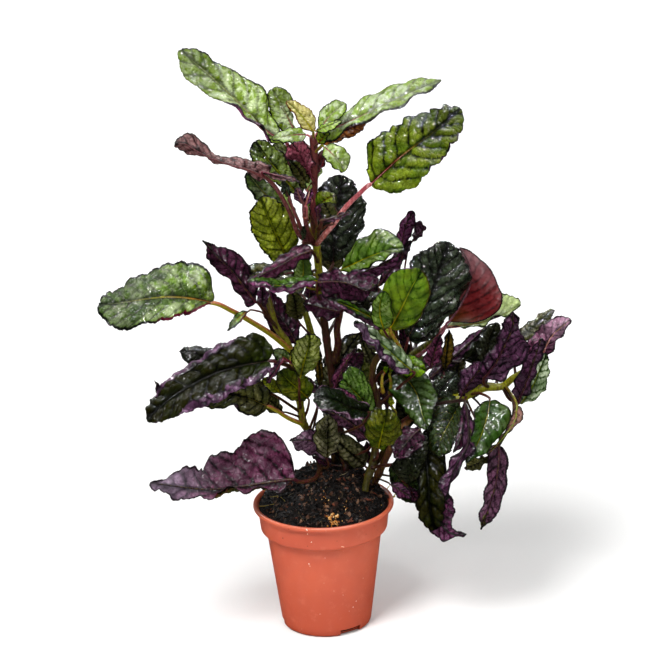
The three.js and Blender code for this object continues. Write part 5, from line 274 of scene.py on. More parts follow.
        L=[[-23.8, -6.9, 147.4], [-24.2, -5.7, 149.1], [-24.6, -5.4, 151.1], [-25.2, -5.2, 153.1], [-26.2, -5.3, 155.0], [-27.5, -5.6, 156.9], [-29.0, -6.0, 158.7], [-30.7, -6.7, 160.1], [-32.5, -7.5, 160.8], [-34.5, -8.6, 161.0], [-36.5, -10.5, 161.4]],
        R=[[-23.8, -6.9, 147.4], [-26.0, -8.8, 147.8], [-28.2, -9.9, 147.9], [-30.3, -10.7, 148.3], [-32.3, -11.3, 149.4], [-34.2, -11.8, 151.0], [-35.8, -12.0, 152.9], [-36.8, -12.1, 154.9], [-37.0, -12.0, 157.1], [-36.7, -11.6, 159.4], [-36.5, -10.5, 161.4]]),
    'leaf_45': dict(face='U', cls='darkgreen', und='lavender', petc='maroon', slot='leaf_dark_green', node='leaf_45', bow=1.5, rnd=0.547, opt={'roll': (1.0, 1.1), 'amp': 0.5, 'lobe': 0.5},
        pet=[[12.0, 7.4, 125.1], [28.1, -27.9, 148.6], [28.7, -38.3, 158.0]],
        M=[[28.7, -38.3, 158.0], [25.3, -41.1, 160.0], [21.9, -43.8, 161.9], [18.7, -46.2, 164.1], [15.6, -48.3, 166.6], [12.5, -50.3, 168.9], [9.4, -51.9, 171.1], [6.2, -53.4, 173.1], [3.0, -54.6, 174.5], [-0.4, -55.5, 175.0], [-3.8, -56.3, 175.3]],
        L=[[28.7, -38.3, 158.0], [29.0, -37.2, 162.4], [25.4, -38.0, 164.7], [21.0, -39.1, 166.7], [16.9, -40.6, 169.3], [13.5, -42.3, 173.0], [9.7, -44.2, 176.1], [5.5, -46.3, 178.7], [1.2, -48.8, 179.6], [-2.2, -51.6, 178.0], [-3.8, -56.3, 175.3]],
        R=[[28.7, -38.3, 158.0], [26.8, -45.1, 156.4], [23.5, -49.6, 156.8], [19.0, -53.2, 159.7], [15.4, -56.1, 163.0], [11.9, -58.3, 166.3], [7.9, -59.7, 167.5], [3.7, -60.4, 168.3], [-0.2, -60.4, 169.5], [-3.2, -59.5, 172.2], [-3.8, -56.3, 175.3]]),
    'leaf_46': dict(face='D', cls='dark', und='mauve', petc='maroon', slot='underside_mauve', node='leaf_46', bow=1.5, rnd=0.465,
        pet=[[13.9, 4.8, 110.2], [30.6, -2.4, 119.3], [31.3, -7.5, 126.1]],
        M=[[31.3, -7.5, 126.1], [28.5, -8.5, 129.4], [25.7, -9.2, 132.7], [22.9, -9.6, 135.7], [20.1, -9.9, 138.7], [17.2, -9.9, 141.5], [14.0, -9.6, 143.7], [10.6, -9.1, 145.5], [7.0, -8.4, 146.8], [3.3, -7.4, 147.7], [-0.4, -6.2, 148.4]],
        L=[[31.3, -7.5, 126.1], [27.4, -4.1, 125.1], [23.6, -2.8, 125.4], [20.1, -1.9, 127.0], [16.9, -1.3, 129.2], [14.1, -1.1, 132.1], [11.2, -1.1, 135.0], [8.4, -1.4, 138.1], [5.5, -2.0, 141.2], [2.6, -3.1, 144.4], [-0.4, -6.2, 148.4]],
        R=[[31.3, -7.5, 126.1], [30.8, -8.9, 131.4], [29.4, -9.8, 136.0], [26.6, -10.4, 139.8], [23.4, -10.7, 143.0], [19.9, -10.7, 145.8], [16.2, -10.4, 148.1], [12.3, -9.8, 149.7], [8.1, -9.0, 150.4], [3.8, -7.8, 150.1], [-0.4, -6.2, 148.4]]),
    'leaf_47': dict(face='U', cls='greydark', und='purple', petc='maroon', slot='leaf_deep_grey_green', node=None, bow=1.5, rnd=0.502, opt={'amp': 1.2},
        pet=[[-1.0, 6.0, 103.5], [2.9, 1.7, 104.7], [2.5, -4.7, 114.3]],
        M=[[2.5, -4.7, 114.3], [2.8, -6.0, 117.9], [3.0, -7.1, 121.4], [3.3, -8.1, 124.9], [3.5, -8.9, 128.3], [3.6, -9.6, 131.6], [3.7, -10.1, 134.9], [3.7, -10.4, 138.1], [3.6, -10.6, 141.2], [3.4, -10.6, 144.2], [3.3, -10.5, 147.2]],
        L=[[2.5, -4.7, 114.3], [5.4, -2.8, 115.8], [8.2, -2.4, 118.0], [10.1, -2.4, 120.9], [10.7, -2.7, 124.7], [10.7, -3.1, 128.8], [10.5, -3.8, 132.9], [10.0, -4.7, 137.1], [8.8, -5.9, 141.1], [6.4, -7.4, 144.1], [3.3, -10.5, 147.2]],
        R=[[2.5, -4.7, 114.3], [-0.4, -9.2, 118.4], [-3.1, -11.8, 122.0], [-4.6, -13.8, 125.9], [-5.3, -15.2, 130.3], [-5.3, -16.1, 134.5], [-4.9, -16.4, 138.4], [-4.1, -16.1, 142.2], [-2.4, -15.3, 145.1], [0.2, -13.8, 146.8], [3.3, -10.5, 147.2]]),
    'leaf_48': dict(face='D', cls='dark', und='lavender', petc='maroon', slot='underside_lavender', node='leaf_48', bow=1.5, rnd=0.443,
        pet=[[15.0, 3.0, 102.3], [12.6, 1.0, 110.2], [10.3, -0.0, 117.6]],
        M=[[10.3, -0.0, 117.6], [7.3, -2.4, 119.9], [4.3, -4.5, 122.2], [1.3, -6.4, 124.2], [-1.7, -8.0, 126.0], [-4.7, -9.4, 127.6], [-7.8, -10.5, 129.0], [-11.0, -11.4, 129.8], [-14.1, -12.1, 130.1], [-17.3, -12.5, 130.1], [-20.5, -12.7, 129.9]],
        L=[[10.3, -0.0, 117.6], [7.7, 0.3, 114.6], [4.7, -0.6, 113.2], [1.1, -1.6, 113.3], [-2.7, -2.8, 114.2], [-6.3, -4.0, 115.4], [-9.8, -5.3, 117.0], [-13.1, -6.7, 119.2], [-15.9, -8.2, 122.2], [-18.2, -9.9, 125.8], [-20.5, -12.7, 129.9]],
        R=[[10.3, -0.0, 117.6], [9.5, -0.1, 122.3], [8.6, -1.1, 127.1], [6.2, -2.3, 130.5], [2.3, -3.5, 132.4], [-1.9, -4.7, 133.6], [-6.0, -6.0, 134.3], [-10.1, -7.4, 134.2], [-13.9, -8.7, 133.4], [-17.2, -10.2, 131.5], [-20.5, -12.7, 129.9]]),
    'leaf_49': dict(face='U', cls='greydark', und='purple', petc='maroon', slot='leaf_dark_green', node=None, bow=1.5, rnd=0.438,
        pet=[[29.5, -8.2, 103.4], [27.3, 7.7, 102.8]],
        M=[[27.3, 7.7, 102.8], [25.5, 6.0, 105.4], [23.7, 4.4, 108.0], [21.9, 2.9, 110.5], [20.0, 1.4, 112.9], [18.2, 0.1, 115.3], [16.4, -1.2, 117.6], [14.5, -2.5, 120.0], [12.7, -3.6, 122.3], [10.9, -4.6, 124.5], [9.2, -5.6, 126.8]],
        L=[[27.3, 7.7, 102.8], [29.1, 7.5, 106.5], [30.0, 6.6, 110.5], [28.7, 5.5, 114.4], [26.2, 4.3, 118.1], [23.6, 3.0, 121.3], [20.6, 1.6, 124.0], [17.4, 0.1, 126.7], [14.2, -1.4, 129.6], [11.5, -3.2, 129.2], [9.2, -5.6, 126.8]],
        R=[[27.3, 7.7, 102.8], [24.2, 4.6, 103.4], [21.2, 2.3, 103.8], [18.5, 0.3, 105.5], [16.0, -1.4, 108.2], [13.8, -2.9, 111.2], [11.7, -4.1, 114.1], [9.9, -5.1, 117.2], [8.9, -5.7, 120.4], [8.9, -6.1, 123.7], [9.2, -5.6, 126.8]]),
    'leaf_50': dict(face='U', cls='glossy', und='purple', petc='green', slot='leaf_glossy_green', node='leaf_50', bow=1.5, rnd=0.468, opt={'amp': 0.8, 'lobe': 0.4, 'crumple': 1.1},
        pet=[[36.7, -2.8, 138.0], [30.4, -8.8, 146.4]],
        M=[[30.4, -8.8, 146.4], [29.1, -10.9, 149.7], [27.7, -12.9, 152.9], [26.2, -14.8, 156.0], [24.6, -16.4, 158.9], [23.0, -17.9, 161.8], [21.3, -19.3, 164.5], [19.6, -20.5, 167.1], [17.9, -21.5, 169.6], [16.2, -22.4, 172.1], [14.5, -23.1, 174.6]],
        L=[[30.4, -8.8, 146.4], [33.8, -9.1, 150.4], [34.2, -10.2, 155.7], [32.9, -11.4, 161.2], [30.9, -12.7, 166.4], [29.2, -14.1, 171.8], [26.6, -15.6, 176.6], [22.6, -17.1, 180.2], [17.7, -18.7, 181.5], [14.9, -20.5, 179.2], [14.5, -23.1, 174.6]],
        R=[[30.4, -8.8, 146.4], [28.5, -12.8, 150.6], [26.4, -15.7, 154.1], [23.9, -18.1, 157.2], [21.3, -20.1, 159.8], [18.6, -21.8, 162.0], [16.0, -23.0, 164.3], [13.5, -23.9, 166.7], [12.0, -24.3, 169.7], [12.1, -24.3, 172.8], [14.5, -23.1, 174.6]]),
    'leaf_51': dict(face='U', cls='greydark', und='purple', petc='maroon', slot='leaf_deep_grey_green', node='leaf_51', bow=1.5, rnd=0.439,
        pet=[[11.4, 7.8, 130.7], [11.1, 10.5, 142.2], [7.6, 10.9, 153.0]],
        M=[[7.6, 10.9, 153.0], [8.3, 11.1, 157.4], [9.0, 11.4, 161.8], [10.1, 11.6, 165.9], [11.8, 11.8, 170.0], [13.7, 12.0, 173.9], [15.8, 12.3, 177.6], [18.1, 12.5, 181.3], [20.5, 12.7, 184.8], [23.1, 12.9, 188.2], [25.7, 13.1, 191.6]],
        L=[[7.6, 10.9, 153.0], [12.8, 12.2, 151.8], [17.0, 12.9, 152.4], [19.2, 13.5, 156.7], [20.5, 13.9, 162.1], [22.0, 14.2, 166.9], [23.2, 14.4, 171.9], [23.9, 14.4, 177.0], [24.8, 14.3, 182.1], [27.4, 14.0, 186.8], [25.7, 13.1, 191.6]],
        R=[[7.6, 10.9, 153.0], [2.9, 10.1, 156.6], [0.1, 9.8, 160.9], [0.2, 9.7, 166.9], [2.1, 9.7, 172.1], [5.5, 9.9, 176.4], [9.1, 10.1, 180.4], [12.8, 10.6, 184.2], [16.2, 11.1, 188.4], [20.5, 11.8, 191.0], [25.7, 13.1, 191.6]]),
    'leaf_52': dict(face='D', cls='dark', und='violet', petc='maroon', slot='leaf_dark_green', node=None, bow=1.5, rnd=0.55,
        pet=[[11.7, 7.6, 127.8], [11.1, 2.1, 147.5], [8.8, -2.3, 159.4]],
        M=[[8.8, -2.3, 159.4], [9.9, -3.0, 162.7], [11.0, -3.6, 165.9], [12.2, -4.1, 169.0], [13.6, -4.5, 172.0], [15.1, -4.9, 174.9], [16.6, -5.2, 177.7], [18.1, -5.4, 180.5], [19.9, -5.5, 183.1], [21.9, -5.5, 185.4], [23.9, -5.5, 187.7]],
        L=[[8.8, -2.3, 159.4], [7.5, -1.4, 162.5], [7.2, -1.3, 165.7], [8.4, -1.3, 169.0], [10.2, -1.5, 172.2], [11.9, -1.8, 175.3], [13.8, -2.1, 178.3], [15.8, -2.6, 181.2], [18.1, -3.2, 184.1], [20.8, -4.0, 186.2], [23.9, -5.5, 187.7]],
        R=[[8.8, -2.3, 159.4], [11.6, -1.6, 160.6], [14.0, -1.5, 162.5], [15.3, -1.6, 165.4], [16.3, -1.8, 168.7], [17.4, -2.0, 171.8], [18.6, -2.4, 175.0], [20.0, -2.9, 178.0], [21.6, -3.4, 181.0], [23.0, -4.1, 184.1], [23.9, -5.5, 187.7]]),
    'leaf_53': dict(face='U', cls='smooth', und='purple', petc='ruddy', slot='leaf_bright_green', node='leaf_53', bow=1.5, rnd=0.509, opt={'pet_r': 1.4, 'roll': (0.8, 0.0), 'span': ((0.55, 1.0), (0, 1)), 'amp': 0.35, 'veins': 6, 'lobe': 0.25, 'teeth': 0.2, 'wave': 0.5},
        pet=[[52.8, 1.7, 172.8], [50.7, -11.4, 189.6], [46.9, -18.3, 198.9], [44.4, -25.1, 208.0]],
        M=[[44.4, -25.1, 208.0], [46.5, -27.4, 212.5], [48.6, -29.5, 216.9], [50.6, -31.5, 221.3], [52.4, -33.3, 225.7], [54.1, -34.9, 230.1], [55.9, -36.4, 234.4], [57.7, -37.8, 238.6], [59.7, -38.9, 242.7], [61.7, -40.0, 246.7], [63.6, -40.8, 250.6]],
        L=[[44.4, -25.1, 208.0], [49.8, -24.9, 206.6], [54.9, -25.9, 207.1], [59.3, -27.1, 210.8], [62.9, -28.5, 215.5], [65.7, -30.0, 220.9], [67.7, -31.6, 226.7], [69.1, -33.4, 232.8], [68.9, -35.3, 239.1], [67.1, -37.5, 245.0], [63.6, -40.8, 250.6]],
        R=[[44.4, -25.1, 208.0], [39.9, -29.8, 213.8], [37.4, -33.1, 220.3], [37.1, -35.8, 227.5], [38.1, -38.1, 234.2], [40.4, -39.9, 240.3], [43.4, -41.2, 246.0], [47.4, -42.1, 250.3], [52.6, -42.5, 253.0], [58.0, -42.4, 252.9], [63.6, -40.8, 250.6]]),
    'leaf_54': dict(face='U', cls='satinlight', und='purple', petc='maroon', slot='leaf_grey_olive', node=None, bow=1.5, rnd=0.485, opt={'amp': 0.4, 'lobe': 0.3, 'teeth': 0.3},
        pet=[[44.6, -7.9, 189.1], [44.6, -11.8, 194.0], [40.5, -30.5, 208.8]],
        M=[[40.5, -30.5, 208.8], [39.8, -32.5, 212.1], [39.0, -34.3, 215.3], [38.4, -36.0, 218.4], [38.0, -37.5, 221.5], [37.9, -38.8, 224.6], [37.9, -40.0, 227.7], [38.2, -41.0, 230.6], [38.9, -41.8, 233.4], [39.8, -42.5, 236.0], [40.8, -43.0, 238.6]],
        L=[[40.5, -30.5, 208.8], [43.0, -31.1, 210.9], [45.2, -32.2, 213.2], [46.4, -33.4, 215.9], [46.4, -34.6, 219.3], [45.6, -35.9, 222.9], [45.0, -37.1, 226.5], [45.1, -38.4, 230.1], [44.9, -39.7, 233.6], [43.3, -41.1, 236.3], [40.8, -43.0, 238.6]],
        R=[[40.5, -30.5, 208.8], [37.4, -34.0, 211.6], [34.6, -36.4, 214.2], [32.9, -38.5, 217.4], [32.4, -40.3, 221.4], [32.4, -41.7, 225.5], [32.8, -42.8, 229.3], [33.5, -43.5, 233.0], [35.1, -43.9, 235.8], [37.8, -43.9, 237.5], [40.8, -43.0, 238.6]]),
    'leaf_56': dict(face='U', cls='wet', und='purple', petc='maroon', slot='leaf_wet_dark', node='leaf_56', bow=1.5, rnd=0.56, opt={'amp': 1.1, 'crumple': 0.9},
        pet=[[51.3, 2.7, 168.2], [53.4, -3.6, 182.7], [56.0, -7.0, 194.5]],
        M=[[56.0, -7.0, 194.5], [59.1, -6.0, 200.3], [62.2, -4.9, 206.1], [65.4, -3.8, 211.7], [68.6, -2.8, 217.4], [71.5, -1.7, 223.2], [74.0, -0.6, 229.2], [76.3, 0.5, 235.3], [78.3, 1.5, 241.5], [80.1, 2.6, 247.8], [81.8, 3.7, 254.0]],
        L=[[56.0, -7.0, 194.5], [64.6, -2.2, 189.2], [72.6, 0.6, 192.1], [79.0, 2.8, 198.2], [83.6, 4.6, 205.9], [89.2, 5.9, 213.0], [94.0, 6.7, 220.5], [96.0, 7.1, 230.0], [94.3, 7.0, 239.0], [88.7, 6.3, 247.0], [81.8, 3.7, 254.0]],
        R=[[56.0, -7.0, 194.5], [53.2, -7.7, 202.1], [54.6, -7.5, 209.9], [56.6, -7.0, 217.6], [58.1, -6.2, 225.2], [58.4, -5.2, 232.8], [57.8, -4.1, 240.4], [61.1, -2.7, 246.6], [67.3, -1.1, 251.3], [74.2, 0.8, 253.6], [81.8, 3.7, 254.0]]),
    'leaf_57': dict(face='D', cls='dark', und='wine', petc='crimson', slot='underside_wine', node='leaf_57', bow=1.5, rnd=0.496, opt={'amp': 0.22, 'lobe': 0.3, 'veins': 7, 'wave': 0.5, 'crumple': 0.2},
        pet=[[52.8, 1.7, 172.8], [62.1, -4.6, 180.8], [70.5, -1.3, 187.3], [78.4, 3.1, 194.1], [82.4, 5.7, 200.4]],
        M=[[82.4, 5.7, 200.4], [85.6, 8.2, 203.9], [88.8, 10.7, 207.4], [91.6, 13.1, 211.2], [94.3, 15.5, 215.2], [96.3, 17.7, 219.5], [97.1, 19.9, 224.1], [96.8, 21.9, 229.0], [95.5, 24.0, 233.6], [93.1, 25.9, 237.8], [90.4, 27.7, 241.9]],
        L=[[82.4, 5.7, 200.4], [82.0, 7.3, 205.0], [82.2, 9.3, 209.4], [83.5, 11.4, 213.6], [85.4, 13.5, 217.7], [87.7, 15.7, 221.5], [90.4, 18.0, 225.2], [91.9, 20.2, 229.1], [92.1, 22.5, 233.5], [91.5, 24.9, 237.9], [90.4, 27.7, 241.9]],
        R=[[82.4, 5.7, 200.4], [91.2, 11.2, 197.0], [100.1, 15.1, 195.6], [108.5, 18.4, 196.9], [115.0, 21.2, 202.2], [117.0, 23.7, 210.1], [114.5, 25.7, 218.2], [110.5, 27.2, 225.8], [105.1, 28.3, 232.6], [98.5, 28.8, 238.5], [90.4, 27.7, 241.9]]),
    'leaf_57b': dict(face='U', cls='lime', und='purple', petc='pink', slot='leaf_lime', node='leaf_57b', bow=1.5, rnd=0.456,
        pet=[[54.4, 1.4, 175.8], [68.9, 4.7, 185.2], [80.5, 7.2, 196.0]],
        M=[[80.5, 7.2, 196.0], [85.7, 10.5, 195.0], [90.9, 13.8, 194.1], [96.1, 17.0, 193.3], [101.2, 20.1, 193.0], [106.3, 23.2, 193.1], [111.3, 26.1, 193.6], [116.2, 29.0, 194.4], [120.9, 31.8, 195.8], [125.5, 34.5, 197.5], [130.0, 37.2, 199.2]],
        L=[[80.5, 7.2, 196.0], [85.8, 9.0, 194.7], [91.1, 11.6, 193.3], [96.5, 14.4, 192.2], [101.8, 17.2, 191.5], [106.8, 20.2, 192.2], [111.6, 23.2, 193.9], [116.6, 26.4, 194.9], [122.0, 29.6, 194.6], [126.4, 33.0, 196.3], [130.0, 37.2, 199.2]],
        R=[[80.5, 7.2, 196.0], [85.2, 14.5, 196.9], [90.3, 19.6, 197.9], [95.5, 24.1, 198.8], [100.4, 27.9, 200.7], [105.0, 31.2, 203.1], [110.0, 33.9, 205.0], [115.4, 36.1, 206.3], [121.0, 37.6, 205.9], [126.3, 38.5, 203.2], [130.0, 37.2, 199.2]]),
    'leaf_58': dict(face='U', cls='olivebrown', und='purple', petc='maroon', slot='leaf_olive', node=None, bow=1.5, rnd=0.469,
        pet=[[50.7, 6.0, 154.6], [69.6, 1.2, 159.5], [78.5, -0.8, 168.7]],
        M=[[78.5, -0.8, 168.7], [78.8, -1.8, 172.0], [79.1, -2.7, 175.2], [79.4, -3.5, 178.4], [79.7, -4.2, 181.5], [80.0, -4.9, 184.6], [80.3, -5.5, 187.7], [80.7, -6.0, 190.8], [81.0, -6.4, 193.8], [81.4, -6.7, 196.7], [81.7, -7.0, 199.7]],
        L=[[78.5, -0.8, 168.7], [80.3, -1.1, 171.2], [82.0, -1.6, 173.9], [83.3, -2.2, 176.8], [83.9, -2.8, 180.0], [84.2, -3.4, 183.3], [84.2, -4.0, 186.7], [84.2, -4.6, 190.0], [83.8, -5.3, 193.3], [83.0, -5.9, 196.5], [81.7, -7.0, 199.7]],
        R=[[78.5, -0.8, 168.7], [77.5, -2.6, 172.3], [76.7, -3.8, 175.7], [76.4, -4.9, 179.0], [76.7, -5.7, 182.3], [77.2, -6.4, 185.5], [77.7, -7.0, 188.6], [78.4, -7.3, 191.7], [79.3, -7.5, 194.5], [80.5, -7.5, 197.2], [81.7, -7.0, 199.7]]),
    'leaf_59': dict(face='D', cls='magenta', und='violet', petc='maroon', slot='leaf_dark_green', node=None, bow=1.5, rnd=0.448,
        pet=[[50.9, 4.9, 159.9], [63.2, -3.8, 167.7], [70.0, -7.7, 174.3]],
        M=[[70.0, -7.7, 174.3], [70.5, -8.3, 176.8], [70.9, -8.9, 179.4], [71.4, -9.5, 181.9], [71.9, -10.1, 184.4], [72.6, -10.7, 186.9], [73.3, -11.3, 189.3], [74.0, -11.9, 191.7], [74.8, -12.5, 194.1], [75.6, -13.1, 196.6], [76.4, -13.7, 199.0]],
        L=[[70.0, -7.7, 174.3], [67.7, -9.5, 176.8], [66.1, -10.7, 179.2], [65.8, -11.8, 182.3], [66.5, -12.6, 185.6], [67.5, -13.3, 188.6], [68.9, -13.8, 191.0], [70.7, -14.2, 193.3], [72.6, -14.4, 195.4], [74.4, -14.4, 197.3], [76.4, -13.7, 199.0]],
        R=[[70.0, -7.7, 174.3], [72.4, -7.0, 175.1], [74.7, -7.0, 176.3], [76.3, -7.2, 178.1], [77.1, -7.6, 180.7], [77.5, -8.1, 183.7], [77.7, -8.8, 186.7], [77.9, -9.6, 189.7], [77.8, -10.6, 192.7], [77.3, -11.9, 195.7], [76.4, -13.7, 199.0]]),
    'leaf_60': dict(face='U', cls='greysatin', und='lilac', petc='maroon', slot='leaf_grey_olive', node='leaf_60', bow=1.5, rnd=0.447, opt={'roll': (0.0, 4.4)},
        pet=[[36.6, -3.0, 148.1], [50.3, -10.3, 163.8], [57.5, -23.8, 178.7]],
        M=[[57.5, -23.8, 178.7], [53.8, -24.9, 182.4], [50.1, -25.8, 186.0], [46.6, -26.6, 189.7], [43.2, -27.2, 193.6], [39.8, -27.6, 197.3], [36.2, -27.9, 200.8], [32.6, -28.1, 204.1], [29.0, -28.0, 207.4], [25.6, -27.8, 210.8], [22.2, -27.5, 214.2]],
        L=[[57.5, -23.8, 178.7], [58.3, -20.4, 182.8], [55.5, -19.3, 186.6], [51.3, -18.6, 190.2], [47.6, -18.4, 194.0], [43.8, -18.6, 197.7], [40.0, -19.2, 201.5], [36.1, -20.1, 205.5], [32.0, -21.5, 209.2], [27.3, -23.4, 211.7], [22.2, -27.5, 214.2]],
        R=[[57.5, -23.8, 178.7], [52.5, -28.9, 178.8], [47.6, -31.7, 181.5], [43.1, -33.7, 185.7], [39.1, -35.0, 189.8], [35.6, -35.7, 194.2], [32.2, -35.7, 198.5], [28.6, -35.1, 202.3], [25.3, -33.9, 206.1], [23.4, -31.8, 210.4], [22.2, -27.5, 214.2]]),
    'leaf_61': dict(face='U', cls='vivid', und='purple', petc='maroon', slot='leaf_lime', node=None, bow=1.5, rnd=0.433,
        pet=[[33.8, -3.4, 161.6], [38.0, -5.2, 171.0], [48.1, -7.8, 176.4]],
        M=[[48.1, -7.8, 176.4], [50.0, -9.6, 177.5], [51.9, -11.2, 178.5], [53.8, -12.5, 179.3], [55.7, -13.6, 179.5], [57.6, -14.4, 179.4], [59.5, -15.0, 179.0], [61.4, -15.3, 178.4], [63.1, -15.5, 177.4], [64.8, -15.3, 176.3], [66.6, -15.0, 175.1]],
        L=[[48.1, -7.8, 176.4], [48.9, -10.7, 175.0], [49.8, -12.8, 173.5], [51.5, -14.4, 172.6], [53.8, -15.7, 172.3], [56.2, -16.6, 172.1], [58.6, -17.1, 171.9], [61.0, -17.3, 171.7], [63.2, -17.1, 172.3], [64.9, -16.4, 173.7], [66.6, -15.0, 175.1]],
        R=[[48.1, -7.8, 176.4], [48.6, -8.5, 179.8], [49.7, -9.6, 182.7], [52.2, -10.5, 184.6], [55.2, -11.4, 185.5], [57.9, -12.2, 185.3], [60.5, -12.8, 184.1], [62.8, -13.4, 182.5], [64.8, -13.8, 180.4], [66.0, -14.2, 177.9], [66.6, -15.0, 175.1]]),
    'leaf_62': dict(face='U', cls='bright', und='purple', petc='green', slot='leaf_bright_green', node=None, bow=1.5, rnd=0.55,
        pet=[[44.6, -7.9, 189.1], [50.8, -9.0, 189.4], [49.0, -11.0, 194.2]],
        M=[[49.0, -11.0, 194.2], [47.5, -12.1, 195.1], [46.0, -13.2, 195.9], [44.5, -14.1, 196.6], [43.1, -15.0, 197.5], [41.7, -15.9, 198.3], [40.4, -16.6, 199.3], [39.1, -17.2, 200.4], [37.8, -17.8, 201.4], [36.5, -18.3, 202.4], [35.2, -18.7, 203.4]],
        L=[[49.0, -11.0, 194.2], [48.4, -13.2, 197.1], [47.9, -14.8, 199.8], [47.1, -16.1, 202.0], [45.7, -17.2, 203.9], [43.9, -18.1, 205.4], [41.9, -18.8, 206.5], [40.0, -19.2, 206.8], [38.4, -19.5, 206.3], [36.8, -19.4, 205.0], [35.2, -18.7, 203.4]],
        R=[[49.0, -11.0, 194.2], [47.2, -11.0, 194.0], [45.5, -11.5, 193.9], [43.7, -12.1, 194.1], [41.8, -12.8, 194.4], [39.9, -13.6, 194.9], [38.2, -14.4, 195.6], [37.0, -15.2, 196.9], [36.2, -16.2, 198.8], [35.7, -17.2, 201.0], [35.2, -18.7, 203.4]]),
    'leaf_64': dict(face='U', cls='satin', und='purple', petc='maroon', slot='leaf_bright_green', node='leaf_64', bow=1.5, rnd=0.423, opt={'amp': 0.55},
        pet=[[35.2, -3.1, 156.2], [41.8, 1.3, 162.4], [51.4, 3.0, 165.5]],
        M=[[51.4, 3.0, 165.5], [54.6, -0.8, 164.4], [57.3, -4.3, 162.7], [59.4, -7.5, 160.4], [61.0, -10.6, 157.6], [62.1, -13.4, 154.6], [62.8, -15.9, 151.4], [63.5, -18.2, 148.1], [64.7, -20.3, 144.9], [66.1, -22.1, 141.6], [67.5, -23.7, 138.2]],
        L=[[51.4, 3.0, 165.5], [46.4, -0.2, 165.0], [42.1, -3.5, 162.6], [43.1, -6.6, 159.3], [46.4, -9.6, 155.8], [49.5, -12.3, 152.5], [52.4, -14.9, 148.9], [55.4, -17.3, 145.4], [58.9, -19.5, 142.2], [62.8, -21.6, 139.7], [67.5, -23.7, 138.2]],
        R=[[51.4, 3.0, 165.5], [56.3, -1.3, 169.6], [61.8, -5.0, 171.8], [66.6, -8.5, 170.6], [70.5, -11.6, 167.4], [73.1, -14.4, 163.2], [73.8, -17.0, 158.3], [72.4, -19.2, 153.5], [70.3, -21.1, 148.7], [68.7, -22.7, 143.6], [67.5, -23.7, 138.2]]),
    'leaf_65': dict(face='U', cls='yolive', und='purple', petc='maroon', slot='leaf_olive', node='leaf_65', bow=1.5, rnd=0.434,
        pet=[[32.4, -5.9, 111.5], [35.2, -26.2, 128.1]],
        M=[[35.2, -26.2, 128.1], [35.8, -29.3, 132.0], [36.4, -32.1, 135.9], [36.9, -34.7, 139.6], [37.5, -37.1, 143.2], [38.0, -39.2, 146.7], [38.6, -41.1, 150.1], [39.1, -42.8, 153.4], [39.7, -44.2, 156.6], [40.3, -45.3, 159.7], [40.9, -46.3, 162.7]],
        L=[[35.2, -26.2, 128.1], [38.9, -27.7, 129.7], [42.5, -29.8, 131.7], [45.5, -31.9, 134.5], [47.9, -34.0, 138.5], [49.4, -36.0, 143.0], [49.7, -38.0, 147.7], [48.9, -39.9, 152.5], [47.2, -41.8, 156.8], [44.5, -43.8, 160.4], [40.9, -46.3, 162.7]],
        R=[[35.2, -26.2, 128.1], [32.2, -30.9, 132.7], [29.4, -34.5, 136.9], [27.6, -37.6, 141.7], [26.6, -40.2, 146.8], [26.8, -42.4, 151.6], [28.2, -44.2, 156.1], [30.5, -45.6, 159.7], [33.7, -46.5, 162.3], [37.2, -46.9, 163.3], [40.9, -46.3, 162.7]]),
    'leaf_66': dict(face='D', cls='dark', und='darkpurple', petc='maroon', slot='underside_dark_purple', node=None, bow=1.5, rnd=0.432,
        pet=[[57.3, 2.0, 138.0], [61.8, -25.8, 140.6]],
        M=[[61.8, -25.8, 140.6], [59.9, -27.1, 139.4], [57.9, -28.4, 138.3], [56.1, -29.6, 137.1], [54.3, -30.7, 135.6], [52.7, -31.8, 134.1], [51.2, -32.7, 132.4], [49.6, -33.6, 130.7], [48.0, -34.4, 129.1], [46.4, -35.1, 127.4], [44.9, -35.8, 125.6]],
        L=[[61.8, -25.8, 140.6], [63.7, -27.0, 137.8], [65.2, -28.2, 135.2], [64.7, -29.4, 132.7], [62.3, -30.5, 130.4], [59.7, -31.5, 128.4], [57.2, -32.5, 126.3], [54.4, -33.4, 124.5], [51.5, -34.2, 123.9], [48.2, -35.0, 124.6], [44.9, -35.8, 125.6]],
        R=[[61.8, -25.8, 140.6], [58.6, -24.3, 141.3], [55.5, -24.3, 142.2], [52.4, -24.6, 141.8], [49.5, -25.2, 140.2], [47.1, -26.1, 138.2], [45.0, -27.2, 135.7], [43.6, -28.6, 133.0], [43.3, -30.3, 130.3], [44.0, -32.3, 127.7], [44.9, -35.8, 125.6]]),
    'leaf_67': dict(face='U', cls='black', und='purple', petc='maroon', slot='leaf_dark_green', node=None, bow=1.5, rnd=0.516,
        pet=[[31.0, -7.3, 106.9], [37.1, -13.6, 111.3], [43.3, -21.1, 114.9]],
        M=[[43.3, -21.1, 114.9], [45.4, -22.7, 117.7], [47.7, -24.0, 120.3], [50.1, -25.1, 122.5], [52.8, -26.0, 124.1], [55.6, -26.6, 125.6], [57.9, -26.9, 127.6], [60.0, -27.1, 129.9], [62.1, -27.0, 132.2], [64.1, -26.6, 134.3], [66.1, -26.0, 136.5]],
        L=[[43.3, -21.1, 114.9], [45.9, -22.7, 110.8], [49.4, -24.0, 107.1], [53.8, -25.1, 104.0], [57.8, -25.9, 105.9], [61.2, -26.5, 110.7], [63.4, -26.9, 115.7], [65.3, -27.0, 120.9], [67.0, -26.9, 126.0], [67.0, -26.6, 131.2], [66.1, -26.0, 136.5]],
